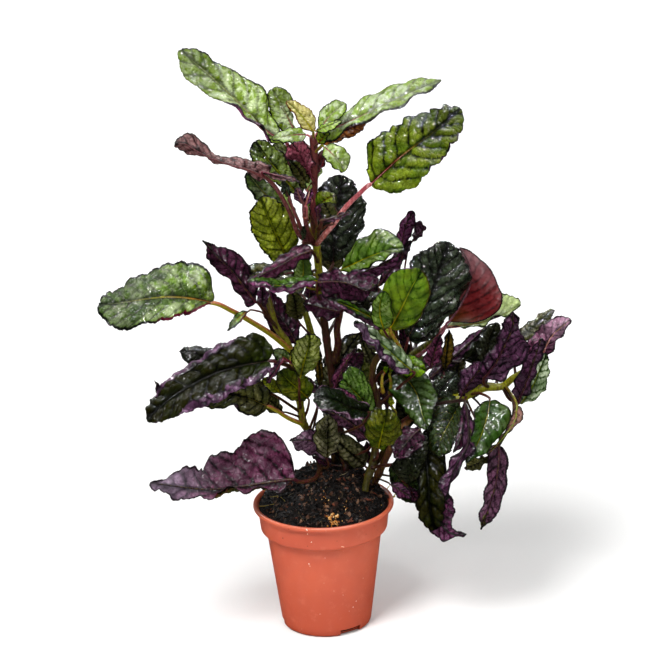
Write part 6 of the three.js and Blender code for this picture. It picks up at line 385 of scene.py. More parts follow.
        R=[[43.3, -21.1, 114.9], [45.1, -22.7, 118.0], [47.1, -24.1, 120.9], [49.2, -25.2, 123.6], [51.4, -26.0, 126.0], [53.6, -26.6, 128.3], [56.0, -27.0, 130.4], [58.4, -27.1, 132.2], [60.9, -27.0, 133.8], [63.5, -26.6, 135.2], [66.1, -26.0, 136.5]]),
    'leaf_68': dict(face='D', cls='dark', und='purple', petc='maroon', slot='underside_purple', node=None, bow=1.5, rnd=0.459,
        pet=[[34.1, 6.7, 93.7], [37.7, -4.1, 97.8], [42.6, -10.4, 97.4]],
        M=[[42.6, -10.4, 97.4], [44.0, -10.8, 96.7], [45.4, -11.2, 95.9], [46.8, -11.6, 95.1], [48.2, -12.0, 94.3], [49.6, -12.5, 93.4], [50.9, -12.9, 92.6], [52.3, -13.3, 91.7], [53.6, -13.7, 90.9], [54.9, -14.1, 90.0], [56.3, -14.6, 89.1]],
        L=[[42.6, -10.4, 97.4], [44.6, -9.8, 97.8], [46.5, -9.8, 98.3], [48.3, -9.9, 98.3], [50.1, -10.1, 97.7], [51.9, -10.5, 96.6], [53.4, -11.0, 95.3], [54.5, -11.6, 93.9], [55.2, -12.3, 92.3], [55.7, -13.2, 90.6], [56.3, -14.6, 89.1]],
        R=[[42.6, -10.4, 97.4], [43.2, -9.8, 95.2], [43.7, -9.7, 93.1], [44.4, -9.8, 91.2], [45.6, -10.1, 89.8], [47.1, -10.4, 88.6], [48.9, -10.9, 87.8], [50.7, -11.5, 87.4], [52.5, -12.2, 87.6], [54.4, -13.1, 88.2], [56.3, -14.6, 89.1]]),
    'leaf_69': dict(face='D', cls='dark', und='darkpurple', petc='maroon', slot='underside_dark_purple', node=None, bow=1.5, rnd=0.482,
        pet=[[35.8, 6.3, 97.7], [46.8, -0.2, 97.2], [54.1, -8.3, 94.8]],
        M=[[54.1, -8.3, 94.8], [54.7, -8.7, 93.9], [55.3, -9.1, 92.9], [55.9, -9.5, 92.0], [56.5, -9.9, 91.0], [57.1, -10.3, 90.0], [57.7, -10.7, 89.1], [58.3, -11.1, 88.1], [58.9, -11.5, 87.2], [59.5, -11.9, 86.2], [60.1, -12.3, 85.3]],
        L=[[54.1, -8.3, 94.8], [55.5, -7.7, 94.1], [56.8, -7.7, 93.6], [58.0, -7.8, 93.0], [59.0, -8.0, 92.0], [59.9, -8.3, 90.9], [60.5, -8.8, 89.6], [60.9, -9.3, 88.4], [60.9, -10.0, 87.3], [60.5, -10.9, 86.2], [60.1, -12.3, 85.3]],
        R=[[54.1, -8.3, 94.8], [54.0, -7.7, 93.0], [53.9, -7.7, 91.5], [54.0, -7.8, 90.0], [54.3, -8.0, 88.6], [54.7, -8.3, 87.1], [55.3, -8.8, 85.9], [56.2, -9.3, 85.0], [57.3, -10.0, 84.7], [58.7, -10.9, 84.9], [60.1, -12.3, 85.3]]),
    'leaf_70': dict(face='U', cls='wetveined', und='purple', petc='maroon', slot='leaf_wet_dark', node='leaf_70', bow=1.5, rnd=0.472, opt={'amp': 1.6},
        pet=[[88.5, 0.2, 150.6], [87.6, -1.6, 148.4], [87.6, -1.7, 146.5]],
        M=[[87.6, -1.7, 146.5], [85.7, -6.3, 144.9], [83.9, -10.4, 143.2], [82.0, -14.2, 141.4], [80.1, -17.6, 139.4], [78.3, -20.6, 137.3], [76.4, -23.1, 135.0], [75.0, -25.3, 132.4], [74.2, -27.1, 129.4], [74.0, -28.5, 126.2], [73.9, -29.4, 122.7]],
        L=[[87.6, -1.7, 146.5], [83.8, -1.9, 151.1], [78.3, -4.0, 152.7], [73.2, -6.4, 151.3], [69.5, -9.0, 147.9], [68.3, -11.7, 143.1], [67.6, -14.5, 138.3], [67.5, -17.5, 133.6], [68.4, -20.6, 129.0], [70.4, -24.1, 125.0], [73.9, -29.4, 122.7]],
        R=[[87.6, -1.7, 146.5], [89.3, -10.6, 146.2], [90.1, -16.9, 144.7], [89.5, -22.0, 142.5], [88.2, -26.2, 139.9], [87.0, -29.4, 137.0], [85.4, -31.7, 134.0], [83.4, -33.1, 130.8], [80.9, -33.5, 127.7], [77.6, -32.8, 125.4], [73.9, -29.4, 122.7]]),
    'leaf_71': dict(face='D', cls='dark', und='plum', petc='dark', slot='underside_purple', node='leaf_71', bow=1.5, rnd=0.479, opt={'crumple': 1.8, 'wave': 1.6},
        pet=[[65.6, 1.8, 144.1], [80.9, -24.3, 157.5], [89.4, -40.1, 163.3]],
        M=[[89.4, -40.1, 163.3], [90.5, -42.6, 157.5], [91.3, -45.0, 151.6], [91.4, -47.3, 145.5], [90.7, -49.3, 139.5], [88.1, -51.3, 134.1], [84.2, -53.0, 129.1], [81.3, -54.6, 123.6], [79.3, -56.1, 117.6], [77.6, -57.4, 111.4], [75.9, -58.5, 105.1]],
        L=[[89.4, -40.1, 163.3], [92.7, -40.0, 157.0], [93.7, -41.2, 150.3], [94.6, -42.7, 143.6], [95.4, -44.3, 136.9], [93.1, -46.1, 131.2], [88.9, -48.0, 126.1], [84.9, -50.0, 121.1], [81.3, -52.3, 115.9], [78.4, -54.8, 110.3], [75.9, -58.5, 105.1]],
        R=[[89.4, -40.1, 163.3], [87.4, -38.8, 156.1], [88.6, -39.4, 149.2], [89.0, -40.4, 142.4], [87.5, -41.8, 135.9], [83.6, -43.5, 130.9], [78.9, -45.5, 126.5], [74.6, -47.8, 121.6], [73.0, -50.4, 115.9], [73.9, -53.5, 109.9], [75.9, -58.5, 105.1]]),
    'leaf_72': dict(face='U', cls='wetolive', und='purple', petc='maroon', slot='leaf_dark_green', node='leaf_72', bow=1.5, rnd=0.501, opt={'amp': 1.4},
        pet=[[46.4, 8.7, 128.3], [58.8, -6.1, 140.3], [67.5, -7.6, 132.5]],
        M=[[67.5, -7.6, 132.5], [66.6, -12.3, 127.5], [65.7, -16.5, 122.4], [65.5, -20.0, 117.0], [65.8, -23.0, 111.4], [66.2, -25.5, 105.6], [66.4, -27.4, 99.5], [66.7, -28.7, 93.2], [67.4, -29.5, 86.7], [68.6, -29.7, 80.0], [70.0, -29.4, 73.0]],
        L=[[67.5, -7.6, 132.5], [61.5, -12.9, 129.7], [58.8, -17.3, 124.9], [59.0, -21.0, 118.3], [59.2, -24.1, 111.8], [59.8, -26.6, 105.1], [59.4, -28.5, 98.1], [58.6, -29.7, 90.9], [59.9, -30.3, 83.3], [63.4, -30.3, 76.6], [70.0, -29.4, 73.0]],
        R=[[67.5, -7.6, 132.5], [72.9, -11.8, 129.4], [76.2, -15.6, 125.0], [77.1, -19.0, 118.8], [77.4, -22.0, 112.4], [77.1, -24.4, 106.0], [76.8, -26.3, 99.3], [77.1, -27.7, 92.4], [76.6, -28.7, 85.4], [74.4, -29.2, 78.4], [70.0, -29.4, 73.0]]),
    'leaf_73': dict(face='D', cls='dark', und='purple', petc='dark', slot='underside_purple', node='leaf_73', bow=1.5, rnd=0.448,
        pet=[[65.6, 1.8, 144.1], [76.3, -3.0, 116.6], [78.2, -12.7, 102.7], [77.7, -18.9, 94.3]],
        M=[[77.7, -18.9, 94.3], [76.6, -21.2, 91.3], [75.5, -23.3, 88.0], [74.8, -25.0, 84.6], [74.1, -26.5, 80.8], [74.1, -27.6, 77.0], [75.7, -28.3, 73.7], [78.7, -28.8, 70.9], [82.2, -28.9, 69.2], [86.1, -28.8, 69.1], [90.2, -28.3, 69.1]],
        L=[[77.7, -18.9, 94.3], [80.3, -19.8, 92.1], [82.1, -21.1, 89.6], [82.9, -22.4, 86.5], [83.1, -23.6, 83.1], [82.6, -24.6, 79.8], [81.0, -25.5, 76.4], [81.2, -26.2, 73.4], [83.7, -26.8, 70.9], [86.8, -27.3, 69.6], [90.2, -28.3, 69.1]],
        R=[[77.7, -18.9, 94.3], [73.7, -19.7, 90.8], [70.0, -21.1, 87.0], [66.9, -22.4, 82.3], [65.9, -23.5, 77.3], [67.2, -24.5, 71.8], [70.1, -25.4, 66.9], [74.5, -26.1, 64.1], [80.1, -26.7, 64.5], [85.2, -27.3, 66.3], [90.2, -28.3, 69.1]]),
    'leaf_74': dict(face='D', cls='dark', und='plum', petc='maroon', slot='underside_purple', node='leaf_74', bow=1.5, rnd=0.425, opt={'crumple': 1.1},
        pet=[[106.6, -1.9, 158.3], [103.0, -10.7, 163.6], [102.5, -19.4, 171.0]],
        M=[[102.5, -19.4, 171.0], [105.3, -22.5, 175.9], [108.0, -25.2, 180.8], [110.4, -27.6, 185.8], [112.5, -29.7, 190.8], [114.4, -31.4, 195.9], [116.2, -32.9, 200.8], [118.2, -34.0, 205.6], [119.7, -34.8, 210.5], [120.0, -35.3, 215.4], [119.8, -35.4, 220.4]],
        L=[[102.5, -19.4, 171.0], [100.3, -19.5, 175.6], [100.6, -20.8, 180.8], [103.1, -22.3, 186.0], [105.6, -23.8, 191.1], [108.0, -25.4, 196.0], [110.2, -27.0, 200.9], [111.8, -28.7, 206.2], [113.8, -30.4, 211.3], [116.7, -32.3, 215.8], [119.8, -35.4, 220.4]],
        R=[[102.5, -19.4, 171.0], [108.9, -18.5, 169.1], [114.8, -19.4, 170.6], [120.0, -20.5, 175.1], [124.8, -21.9, 180.3], [129.9, -23.4, 185.8], [131.3, -25.1, 192.0], [127.5, -26.9, 198.6], [125.0, -29.0, 205.6], [122.6, -31.3, 212.7], [119.8, -35.4, 220.4]]),
    'leaf_75': dict(face='U', cls='black', und='purple', petc='dark', slot='leaf_dark_green', node=None, bow=1.5, rnd=0.45,
        pet=[[98.5, -1.4, 155.8], [101.1, -0.9, 162.6], [103.6, -2.1, 171.1]],
        M=[[103.6, -2.1, 171.1], [104.2, -1.7, 174.1], [104.8, -1.2, 177.0], [105.5, -0.7, 180.0], [106.1, -0.3, 182.9], [106.7, 0.2, 185.9], [107.4, 0.7, 188.8], [108.3, 1.1, 191.6], [109.4, 1.6, 194.4], [110.6, 2.1, 197.2], [111.8, 2.5, 199.9]],
        L=[[103.6, -2.1, 171.1], [106.3, 0.3, 172.5], [108.6, 1.7, 174.5], [110.4, 2.7, 177.0], [111.5, 3.5, 180.0], [112.4, 4.1, 183.3], [113.2, 4.5, 186.6], [114.5, 4.6, 190.1], [115.2, 4.5, 193.5], [114.2, 4.0, 196.7], [111.8, 2.5, 199.9]],
        R=[[103.6, -2.1, 171.1], [100.3, -3.6, 174.0], [98.1, -4.1, 177.0], [97.6, -4.2, 181.0], [98.2, -4.1, 185.2], [99.0, -3.7, 189.0], [100.2, -3.2, 192.7], [102.0, -2.3, 195.8], [104.7, -1.3, 197.9], [108.1, 0.1, 199.2], [111.8, 2.5, 199.9]]),
    'leaf_76': dict(face='D', cls='dark', und='plum', petc='maroon', slot='underside_dark_purple', node=None, bow=1.5, rnd=0.515,
        pet=[[50.0, 6.9, 148.3], [63.2, 0.2, 158.1], [69.6, -1.3, 165.2]],
        M=[[69.6, -1.3, 165.2], [73.3, -0.6, 168.2], [77.0, 0.1, 171.3], [80.7, 0.8, 174.4], [84.4, 1.6, 177.4], [88.2, 2.3, 180.5], [91.9, 3.0, 183.5], [95.5, 3.7, 186.7], [99.1, 4.4, 189.8], [102.7, 5.1, 193.1], [106.3, 5.9, 196.3]],
        L=[[69.6, -1.3, 165.2], [69.8, 2.6, 169.2], [72.2, 4.8, 172.9], [76.2, 6.5, 176.1], [80.5, 7.8, 179.1], [84.6, 8.7, 181.9], [88.9, 9.2, 184.6], [93.2, 9.3, 187.5], [97.3, 9.1, 190.9], [101.5, 8.3, 194.0], [106.3, 5.9, 196.3]],
        R=[[69.6, -1.3, 165.2], [74.1, -0.3, 163.1], [78.5, 0.6, 165.2], [82.7, 1.4, 169.5], [86.9, 2.1, 173.3], [90.9, 2.9, 176.4], [94.9, 3.6, 179.7], [98.7, 4.2, 183.2], [102.5, 4.9, 186.8], [105.5, 5.4, 191.0], [106.3, 5.9, 196.3]]),
    'leaf_77': dict(face='D', cls='dark', und='plum', petc='maroon', slot='underside_purple', node=None, bow=1.5, rnd=0.445,
        pet=[[83.1, 0.6, 149.4], [85.8, -0.9, 148.9], [88.3, -1.8, 151.2]],
        M=[[88.3, -1.8, 151.2], [89.7, -3.3, 154.5], [91.0, -4.7, 157.8], [92.5, -6.0, 161.0], [94.1, -7.2, 163.9], [95.9, -8.4, 166.7], [97.8, -9.4, 169.4], [99.7, -10.4, 172.1], [101.6, -11.3, 174.7], [103.6, -12.2, 177.2], [105.5, -12.9, 179.8]],
        L=[[88.3, -1.8, 151.2], [87.5, -0.6, 154.5], [87.2, -0.7, 158.3], [87.5, -1.2, 162.4], [88.6, -1.9, 166.4], [90.2, -2.9, 169.9], [92.7, -4.2, 173.2], [95.6, -5.6, 175.9], [98.7, -7.4, 177.7], [102.1, -9.5, 178.6], [105.5, -12.9, 179.8]],
        R=[[88.3, -1.8, 151.2], [91.9, -1.0, 150.5], [95.4, -1.4, 150.7], [98.5, -2.0, 152.4], [101.3, -2.8, 155.2], [103.5, -3.8, 158.5], [105.4, -5.0, 162.1], [106.7, -6.4, 166.2], [107.1, -8.0, 170.4], [106.4, -9.9, 174.9], [105.5, -12.9, 179.8]]),
    'leaf_78': dict(face='U', cls='greydark', und='purple', petc='maroon', slot='leaf_grey_green', node=None, bow=1.5, rnd=0.531,
        pet=[[123.6, -1.0, 164.1], [123.0, 3.3, 177.9], [125.8, 6.3, 187.4]],
        M=[[125.8, 6.3, 187.4], [128.2, 6.7, 189.0], [130.7, 7.1, 190.5], [133.1, 7.6, 192.1], [135.4, 8.0, 193.8], [137.7, 8.4, 195.5], [140.0, 8.9, 197.3], [142.3, 9.3, 199.1], [144.7, 9.8, 200.7], [147.1, 10.2, 202.3], [149.5, 10.6, 203.9]],
        L=[[125.8, 6.3, 187.4], [128.6, 4.8, 186.1], [131.6, 4.3, 186.2], [134.7, 4.2, 187.8], [137.7, 4.3, 189.8], [140.5, 4.6, 191.6], [143.2, 5.1, 193.6], [145.4, 5.9, 195.8], [147.0, 6.9, 198.5], [148.2, 8.3, 201.3], [149.5, 10.6, 203.9]],
        R=[[125.8, 6.3, 187.4], [126.6, 9.6, 189.5], [128.0, 11.4, 191.7], [130.4, 12.7, 193.1], [133.4, 13.7, 194.2], [136.4, 14.3, 195.5], [138.8, 14.6, 197.4], [141.2, 14.5, 199.5], [143.8, 14.0, 201.4], [146.7, 13.1, 202.5], [149.5, 10.6, 203.9]]),
    'leaf_79': dict(face='D', cls='dark', und='winepink', petc='pink', slot='underside_wine_pink', node='leaf_79', bow=1.5, rnd=0.449,
        pet=[[127.6, -1.0, 166.5], [132.8, 0.3, 163.2], [136.5, -0.3, 165.3]],
        M=[[136.5, -0.3, 165.3], [137.7, -1.2, 169.9], [139.0, -2.1, 174.5], [140.4, -3.0, 178.9], [142.0, -3.7, 183.3], [143.7, -4.4, 187.6], [145.8, -4.9, 191.5], [148.5, -5.4, 195.0], [151.6, -5.8, 198.0], [154.8, -6.2, 200.8], [158.1, -6.4, 203.6]],
        L=[[136.5, -0.3, 165.3], [131.3, 1.6, 167.9], [128.4, 2.0, 172.6], [128.8, 2.1, 179.2], [130.9, 1.8, 185.0], [134.3, 1.4, 190.3], [137.9, 0.6, 195.5], [142.1, -0.4, 199.9], [147.2, -1.7, 203.3], [152.7, -3.4, 204.6], [158.1, -6.4, 203.6]],
        R=[[136.5, -0.3, 165.3], [141.4, 1.9, 164.0], [143.9, 2.4, 166.4], [144.4, 2.6, 171.7], [145.7, 2.4, 176.5], [147.7, 1.9, 180.8], [150.1, 1.2, 185.0], [152.6, 0.1, 189.1], [155.2, -1.3, 193.3], [157.4, -3.1, 197.9], [158.1, -6.4, 203.6]]),
    'leaf_80': dict(face='D', cls='dark', und='plum', petc='maroon', slot='underside_purple', node='leaf_80', bow=1.5, rnd=0.427, opt={'crumple': 1.5, 'wave': 1.5},
        pet=[[115.3, -1.0, 158.0], [119.7, -4.2, 149.8], [124.5, -8.1, 149.1]],
        M=[[124.5, -8.1, 149.1], [126.1, -9.5, 153.9], [127.8, -10.8, 158.6], [129.3, -11.9, 163.3], [130.8, -12.9, 167.9], [132.3, -13.6, 172.5], [133.7, -14.3, 177.0], [135.0, -14.7, 181.5], [136.2, -15.1, 186.0], [137.4, -15.2, 190.5], [138.6, -15.2, 194.8]],
        L=[[124.5, -8.1, 149.1], [121.3, -6.3, 152.3], [120.7, -6.0, 156.6], [122.6, -6.1, 161.6], [124.7, -6.5, 166.7], [126.2, -7.1, 171.6], [127.9, -7.9, 176.6], [129.9, -8.9, 181.4], [132.3, -10.3, 186.2], [135.2, -12.0, 190.6], [138.6, -15.2, 194.8]],
        R=[[124.5, -8.1, 149.1], [128.6, -6.8, 151.2], [131.9, -6.9, 154.4], [133.8, -7.1, 159.0], [135.2, -7.6, 164.1], [136.6, -8.2, 169.1], [138.1, -9.0, 174.0], [139.4, -10.0, 179.1], [140.6, -11.1, 184.3], [141.3, -12.5, 189.6], [138.6, -15.2, 194.8]]),
    'leaf_81': dict(face='U', cls='greysatin', und='purple', petc='maroon', slot='leaf_grey_green', node='leaf_81', bow=1.5, rnd=0.537, opt={'amp': 0.6},
        pet=[[115.3, -1.0, 158.0], [120.7, 0.5, 149.3], [126.3, -1.0, 145.6]],
        M=[[126.3, -1.0, 145.6], [128.4, -1.2, 148.8], [130.6, -1.3, 152.0], [132.6, -1.6, 155.4], [134.4, -2.0, 158.9], [135.9, -2.4, 162.6], [137.2, -2.9, 166.4], [138.6, -3.5, 170.2], [139.9, -4.2, 174.1], [141.2, -4.9, 178.0], [142.4, -5.7, 181.9]],
        L=[[126.3, -1.0, 145.6], [130.5, 0.7, 145.9], [134.6, 1.3, 147.1], [138.1, 1.6, 149.5], [141.0, 1.6, 152.8], [142.6, 1.3, 156.9], [143.5, 0.7, 161.7], [144.0, -0.3, 166.5], [144.1, -1.5, 171.5], [143.6, -3.1, 176.5], [142.4, -5.7, 181.9]],
        R=[[126.3, -1.0, 145.6], [124.1, -3.0, 150.3], [123.4, -4.0, 154.8], [124.4, -4.8, 159.3], [126.1, -5.5, 163.6], [128.0, -6.1, 167.5], [130.5, -6.5, 171.0], [133.2, -6.7, 174.2], [136.1, -6.8, 177.1], [139.2, -6.7, 179.7], [142.4, -5.7, 181.9]]),
    'leaf_82': dict(face='U', cls='satin', und='purple', petc='maroon', slot='leaf_grey_olive', node='leaf_82', bow=1.5, rnd=0.489, opt={'amp': 0.4, 'lobe': 0.4},
        pet=[[94.3, -0.6, 153.1], [101.7, -11.4, 157.2], [106.1, -20.3, 155.8]],
        M=[[106.1, -20.3, 155.8], [105.0, -23.9, 152.8], [104.0, -27.2, 149.7], [102.7, -30.3, 146.6], [101.3, -33.2, 143.5], [99.7, -35.8, 140.4], [98.0, -38.2, 137.2], [96.0, -40.3, 134.1], [93.8, -42.2, 131.0], [91.5, -43.9, 127.9], [89.3, -45.3, 124.7]],
        L=[[106.1, -20.3, 155.8], [101.3, -25.8, 156.9], [97.6, -30.1, 156.1], [95.4, -33.8, 153.1], [93.7, -37.0, 149.7], [92.4, -39.7, 146.2], [91.5, -42.0, 142.3], [90.5, -43.8, 138.3], [89.3, -45.0, 134.1], [88.7, -45.8, 129.7], [89.3, -45.3, 124.7]],
        R=[[106.1, -20.3, 155.8], [112.1, -22.0, 156.0], [116.7, -24.4, 153.1], [118.8, -26.9, 148.3], [116.9, -29.4, 143.5], [112.9, -31.9, 138.8], [109.1, -34.4, 134.7], [104.9, -36.9, 131.0], [100.1, -39.4, 127.9], [94.9, -41.9, 125.9], [89.3, -45.3, 124.7]]),
    'leaf_83': dict(face='D', cls='dark', und='pinkmauve', petc='green', slot='leaf_dark_green', node=None, bow=1.5, rnd=0.434,
        pet=[[116.6, -1.0, 158.7], [121.1, -11.4, 155.2], [122.7, -24.4, 153.5]],
        M=[[122.7, -24.4, 153.5], [122.2, -26.3, 150.3], [121.5, -28.1, 147.1], [120.1, -29.7, 144.2], [118.1, -31.1, 141.5], [115.7, -32.4, 138.9], [113.4, -33.5, 136.3], [111.0, -34.4, 133.7], [108.5, -35.2, 131.2], [106.0, -35.8, 128.6], [103.5, -36.3, 125.9]],
        L=[[122.7, -24.4, 153.5], [126.0, -24.7, 150.7], [126.2, -25.7, 147.2], [124.2, -26.7, 143.3], [121.5, -27.9, 140.5], [118.4, -29.0, 137.9], [115.9, -30.2, 134.9], [113.3, -31.5, 132.0], [110.5, -32.8, 129.3], [107.2, -34.2, 127.2], [103.5, -36.3, 125.9]],
        R=[[122.7, -24.4, 153.5], [120.7, -24.0, 150.0], [118.8, -24.7, 146.8], [117.3, -25.6, 143.5], [115.8, -26.6, 140.2], [113.8, -27.7, 137.3], [111.5, -28.9, 134.6], [109.0, -30.3, 132.1], [105.5, -31.8, 130.0], [102.5, -33.5, 128.1], [103.5, -36.3, 125.9]]),
    'leaf_84': dict(face='D', cls='dark', und='mauve', petc='maroon', slot='underside_mauve', node='leaf_84', bow=1.5, rnd=0.464, opt={'wave': 0.5, 'lobe': 0.5, 'crumple': 1.2},
        pet=[[116.6, -1.0, 158.7], [121.6, -12.8, 150.3], [116.9, -25.2, 137.9], [110.8, -30.2, 129.2]],
        M=[[110.8, -30.2, 129.2], [110.5, -32.6, 124.4], [110.1, -34.9, 119.5], [109.3, -36.9, 114.6], [108.3, -38.6, 109.6], [107.0, -40.2, 104.5], [105.5, -41.4, 99.4], [103.8, -42.5, 94.3], [102.0, -43.3, 89.1], [100.1, -43.8, 83.9], [98.2, -44.2, 78.5]],
        L=[[110.8, -30.2, 129.2], [115.7, -28.2, 124.4], [116.5, -28.3, 117.9], [116.6, -29.0, 111.5], [116.4, -29.9, 105.3], [115.1, -31.2, 99.5], [113.2, -32.7, 93.8], [111.2, -34.6, 88.4], [107.3, -36.7, 84.3], [102.8, -39.4, 80.9], [98.2, -44.2, 78.5]],
        R=[[110.8, -30.2, 129.2], [105.9, -28.2, 125.9], [104.2, -28.3, 120.5], [103.9, -29.0, 114.1], [102.7, -29.9, 108.5], [101.6, -31.2, 103.1], [100.4, -32.7, 97.7], [99.1, -34.6, 92.5], [97.6, -36.7, 87.4], [97.1, -39.4, 82.4], [98.2, -44.2, 78.5]]),
    'leaf_85': dict(face='U', cls='dark', und='purple', petc='maroon', slot='leaf_dark_green', node=None, bow=1.5, rnd=0.435,
        pet=[[91.4, -0.1, 151.6], [97.9, -7.2, 138.1], [104.9, -14.4, 123.7], [104.6, -18.9, 117.4]],
        M=[[104.6, -18.9, 117.4], [103.0, -19.9, 117.2], [101.3, -20.8, 117.0], [99.7, -21.6, 116.7], [98.2, -22.3, 116.3], [96.6, -22.9, 115.9], [95.1, -23.5, 115.4], [93.5, -24.0, 114.8], [92.0, -24.4, 114.2], [90.5, -24.7, 113.6], [89.0, -24.9, 112.9]],
        L=[[104.6, -18.9, 117.4], [102.5, -21.4, 118.8], [100.5, -22.9, 119.8], [98.6, -24.2, 120.4], [96.5, -25.2, 120.8], [94.5, -25.9, 120.8], [92.6, -26.4, 120.3], [91.2, -26.6, 119.3], [90.3, -26.5, 117.6], [89.7, -26.2, 115.4], [89.0, -24.9, 112.9]],
        R=[[104.6, -18.9, 117.4], [103.7, -18.4, 115.4], [102.8, -18.6, 113.7], [101.6, -18.9, 112.2], [100.1, -19.4, 111.0], [98.5, -19.9, 110.1], [96.7, -20.6, 109.7], [94.7, -21.3, 109.8], [92.8, -22.2, 110.3], [90.9, -23.2, 111.4], [89.0, -24.9, 112.9]]),
    'leaf_87': dict(face='U', cls='wetolive', und='lilac', petc='maroon', slot='leaf_dark_green', node='leaf_87', bow=1.5, rnd=0.48, opt={'roll': (4.0, 5.4), 'span': ((0.25, 0.92), (0.0, 0.8)), 'crumple': 0.6, 'veins': 8, 'amp': 1.3},
        pet=[[-16.5, 2.9, 170.4], [-19.6, -8.0, 178.7], [-25.0, -21.7, 186.0], [-31.6, -33.0, 191.7]],
        M=[[-31.6, -33.0, 191.7], [-39.9, -36.6, 191.9], [-48.3, -40.1, 191.7], [-56.5, -43.3, 190.9], [-64.5, -46.2, 189.3], [-72.3, -49.0, 186.8], [-79.8, -51.4, 183.8], [-87.1, -53.7, 180.0], [-94.0, -55.7, 175.7], [-100.6, -57.4, 170.6], [-107.0, -59.0, 165.3]],
        L=[[-31.6, -33.0, 191.7], [-30.9, -31.7, 203.0], [-39.9, -32.8, 209.6], [-50.7, -34.5, 207.6], [-61.4, -36.5, 204.7], [-69.8, -39.0, 198.2], [-79.9, -41.7, 194.2], [-88.2, -44.9, 187.7], [-97.0, -48.4, 181.9], [-103.8, -52.5, 174.1], [-107.0, -59.0, 165.3]],
        R=[[-31.6, -33.0, 191.7], [-32.6, -41.6, 186.3], [-40.1, -47.4, 182.6], [-48.3, -52.1, 180.6], [-56.3, -55.9, 177.9], [-64.4, -59.0, 174.9], [-72.8, -61.1, 172.5], [-81.6, -62.5, 171.1], [-90.0, -63.0, 167.6], [-98.8, -62.4, 164.5], [-107.0, -59.0, 165.3]]),
    'leaf_88': dict(face='U', cls='dark', und='purple', petc='yellow', slot='leaf_dark_green', node='leaf_88', bow=1.5, rnd=0.498, opt={'pet_r': 1.35},
        pet=[[-10.7, 1.1, 135.3], [-20.7, -8.0, 143.7], [-27.4, -14.0, 151.0], [-33.5, -20.0, 156.9]],
        M=[[-33.5, -20.0, 156.9], [-37.1, -22.2, 159.6], [-40.7, -24.2, 162.2], [-44.4, -26.2, 164.6], [-48.1, -28.2, 166.7], [-52.0, -30.0, 168.5], [-55.8, -31.8, 170.2], [-59.7, -33.4, 171.6], [-63.6, -35.0, 171.9], [-67.4, -36.6, 171.2], [-71.2, -38.0, 170.4]],
        L=[[-33.5, -20.0, 156.9], [-31.5, -19.2, 162.2], [-32.4, -19.9, 168.2], [-35.8, -21.0, 173.3], [-41.0, -22.3, 175.4], [-46.4, -24.0, 175.7], [-51.7, -25.9, 174.8], [-56.9, -28.2, 174.2], [-62.1, -30.7, 173.5], [-66.9, -33.6, 172.0], [-71.2, -38.0, 170.4]],
        R=[[-33.5, -20.0, 156.9], [-36.2, -25.1, 154.7], [-40.5, -28.6, 153.5], [-45.0, -31.5, 154.9], [-49.0, -34.0, 158.7], [-52.3, -36.0, 163.1], [-56.9, -37.6, 163.9], [-61.8, -38.7, 163.7], [-67.1, -39.4, 163.4], [-70.3, -39.5, 165.7], [-71.2, -38.0, 170.4]]),
    'leaf_88b': dict(face='D', cls='black', und='darkpurple', petc='maroon', slot='underside_dark_purple', node=None, bow=1.5, rnd=0.477,
        pet=[[-12.4, 0.5, 143.9], [-37.6, -14.1, 165.5], [-62.3, -22.2, 169.4], [-77.2, -24.3, 169.3]],
        M=[[-77.2, -24.3, 169.3], [-80.2, -25.2, 169.8], [-83.1, -26.1, 170.1], [-86.0, -26.9, 170.5], [-89.0, -27.6, 171.0], [-92.0, -28.3, 171.4], [-95.1, -28.8, 171.7], [-98.0, -29.3, 172.5], [-100.1, -29.7, 174.4], [-101.4, -30.0, 177.4], [-102.6, -30.3, 180.4]],
        L=[[-77.2, -24.3, 169.3], [-79.9, -24.2, 167.0], [-82.8, -24.7, 165.7], [-86.1, -25.1, 165.7], [-89.6, -25.7, 166.5], [-92.9, -26.3, 167.4], [-96.4, -26.9, 168.3], [-99.6, -27.5, 169.7], [-101.5, -28.3, 172.4], [-102.1, -29.0, 176.3], [-102.6, -30.3, 180.4]],
        R=[[-77.2, -24.3, 169.3], [-79.1, -24.2, 171.8], [-81.2, -24.7, 173.9], [-83.9, -25.1, 174.5], [-86.9, -25.7, 174.3], [-89.9, -26.3, 173.9], [-92.9, -26.9, 174.3], [-95.9, -27.5, 174.7], [-98.8, -28.3, 175.6], [-101.1, -29.0, 177.4], [-102.6, -30.3, 180.4]]),
    'leaf_89': dict(face='D', cls='dark', und='bigpurple', petc='maroon', slot='underside_broad_purple', node='leaf_89', bow=1.5, rnd=0.491, opt={'crumple': 1.0, 'amp': 1.2, 'lobe': 1.5, 'veins': 9, 'nicks': {1: ((0.665, 0.022, 6.0), (0.7, 0.03, 2.0))}},
        pet=[[-1.0, 6.0, 103.5], [-5.5, -10.0, 102.3], [-17.5, -22.0, 107.1]],
        M=[[-17.5, -22.0, 107.1], [-26.7, -24.6, 107.3], [-35.9, -27.0, 107.4], [-45.0, -29.4, 107.2], [-54.1, -31.8, 107.1], [-63.3, -34.0, 107.2], [-72.4, -36.2, 108.0], [-81.4, -38.2, 110.0], [-90.3, -40.2, 112.5], [-99.3, -42.2, 114.9], [-108.2, -44.0, 117.2]],
        L=[[-17.5, -22.0, 107.1], [-26.9, -28.5, 107.5], [-36.4, -32.9, 107.7], [-45.7, -36.5, 106.9], [-55.2, -39.5, 109.5], [-64.3, -42.0, 107.8], [-73.5, -43.9, 105.3], [-82.8, -45.3, 107.4], [-92.1, -46.1, 107.8], [-101.0, -46.1, 111.8], [-108.2, -44.0, 117.2]],
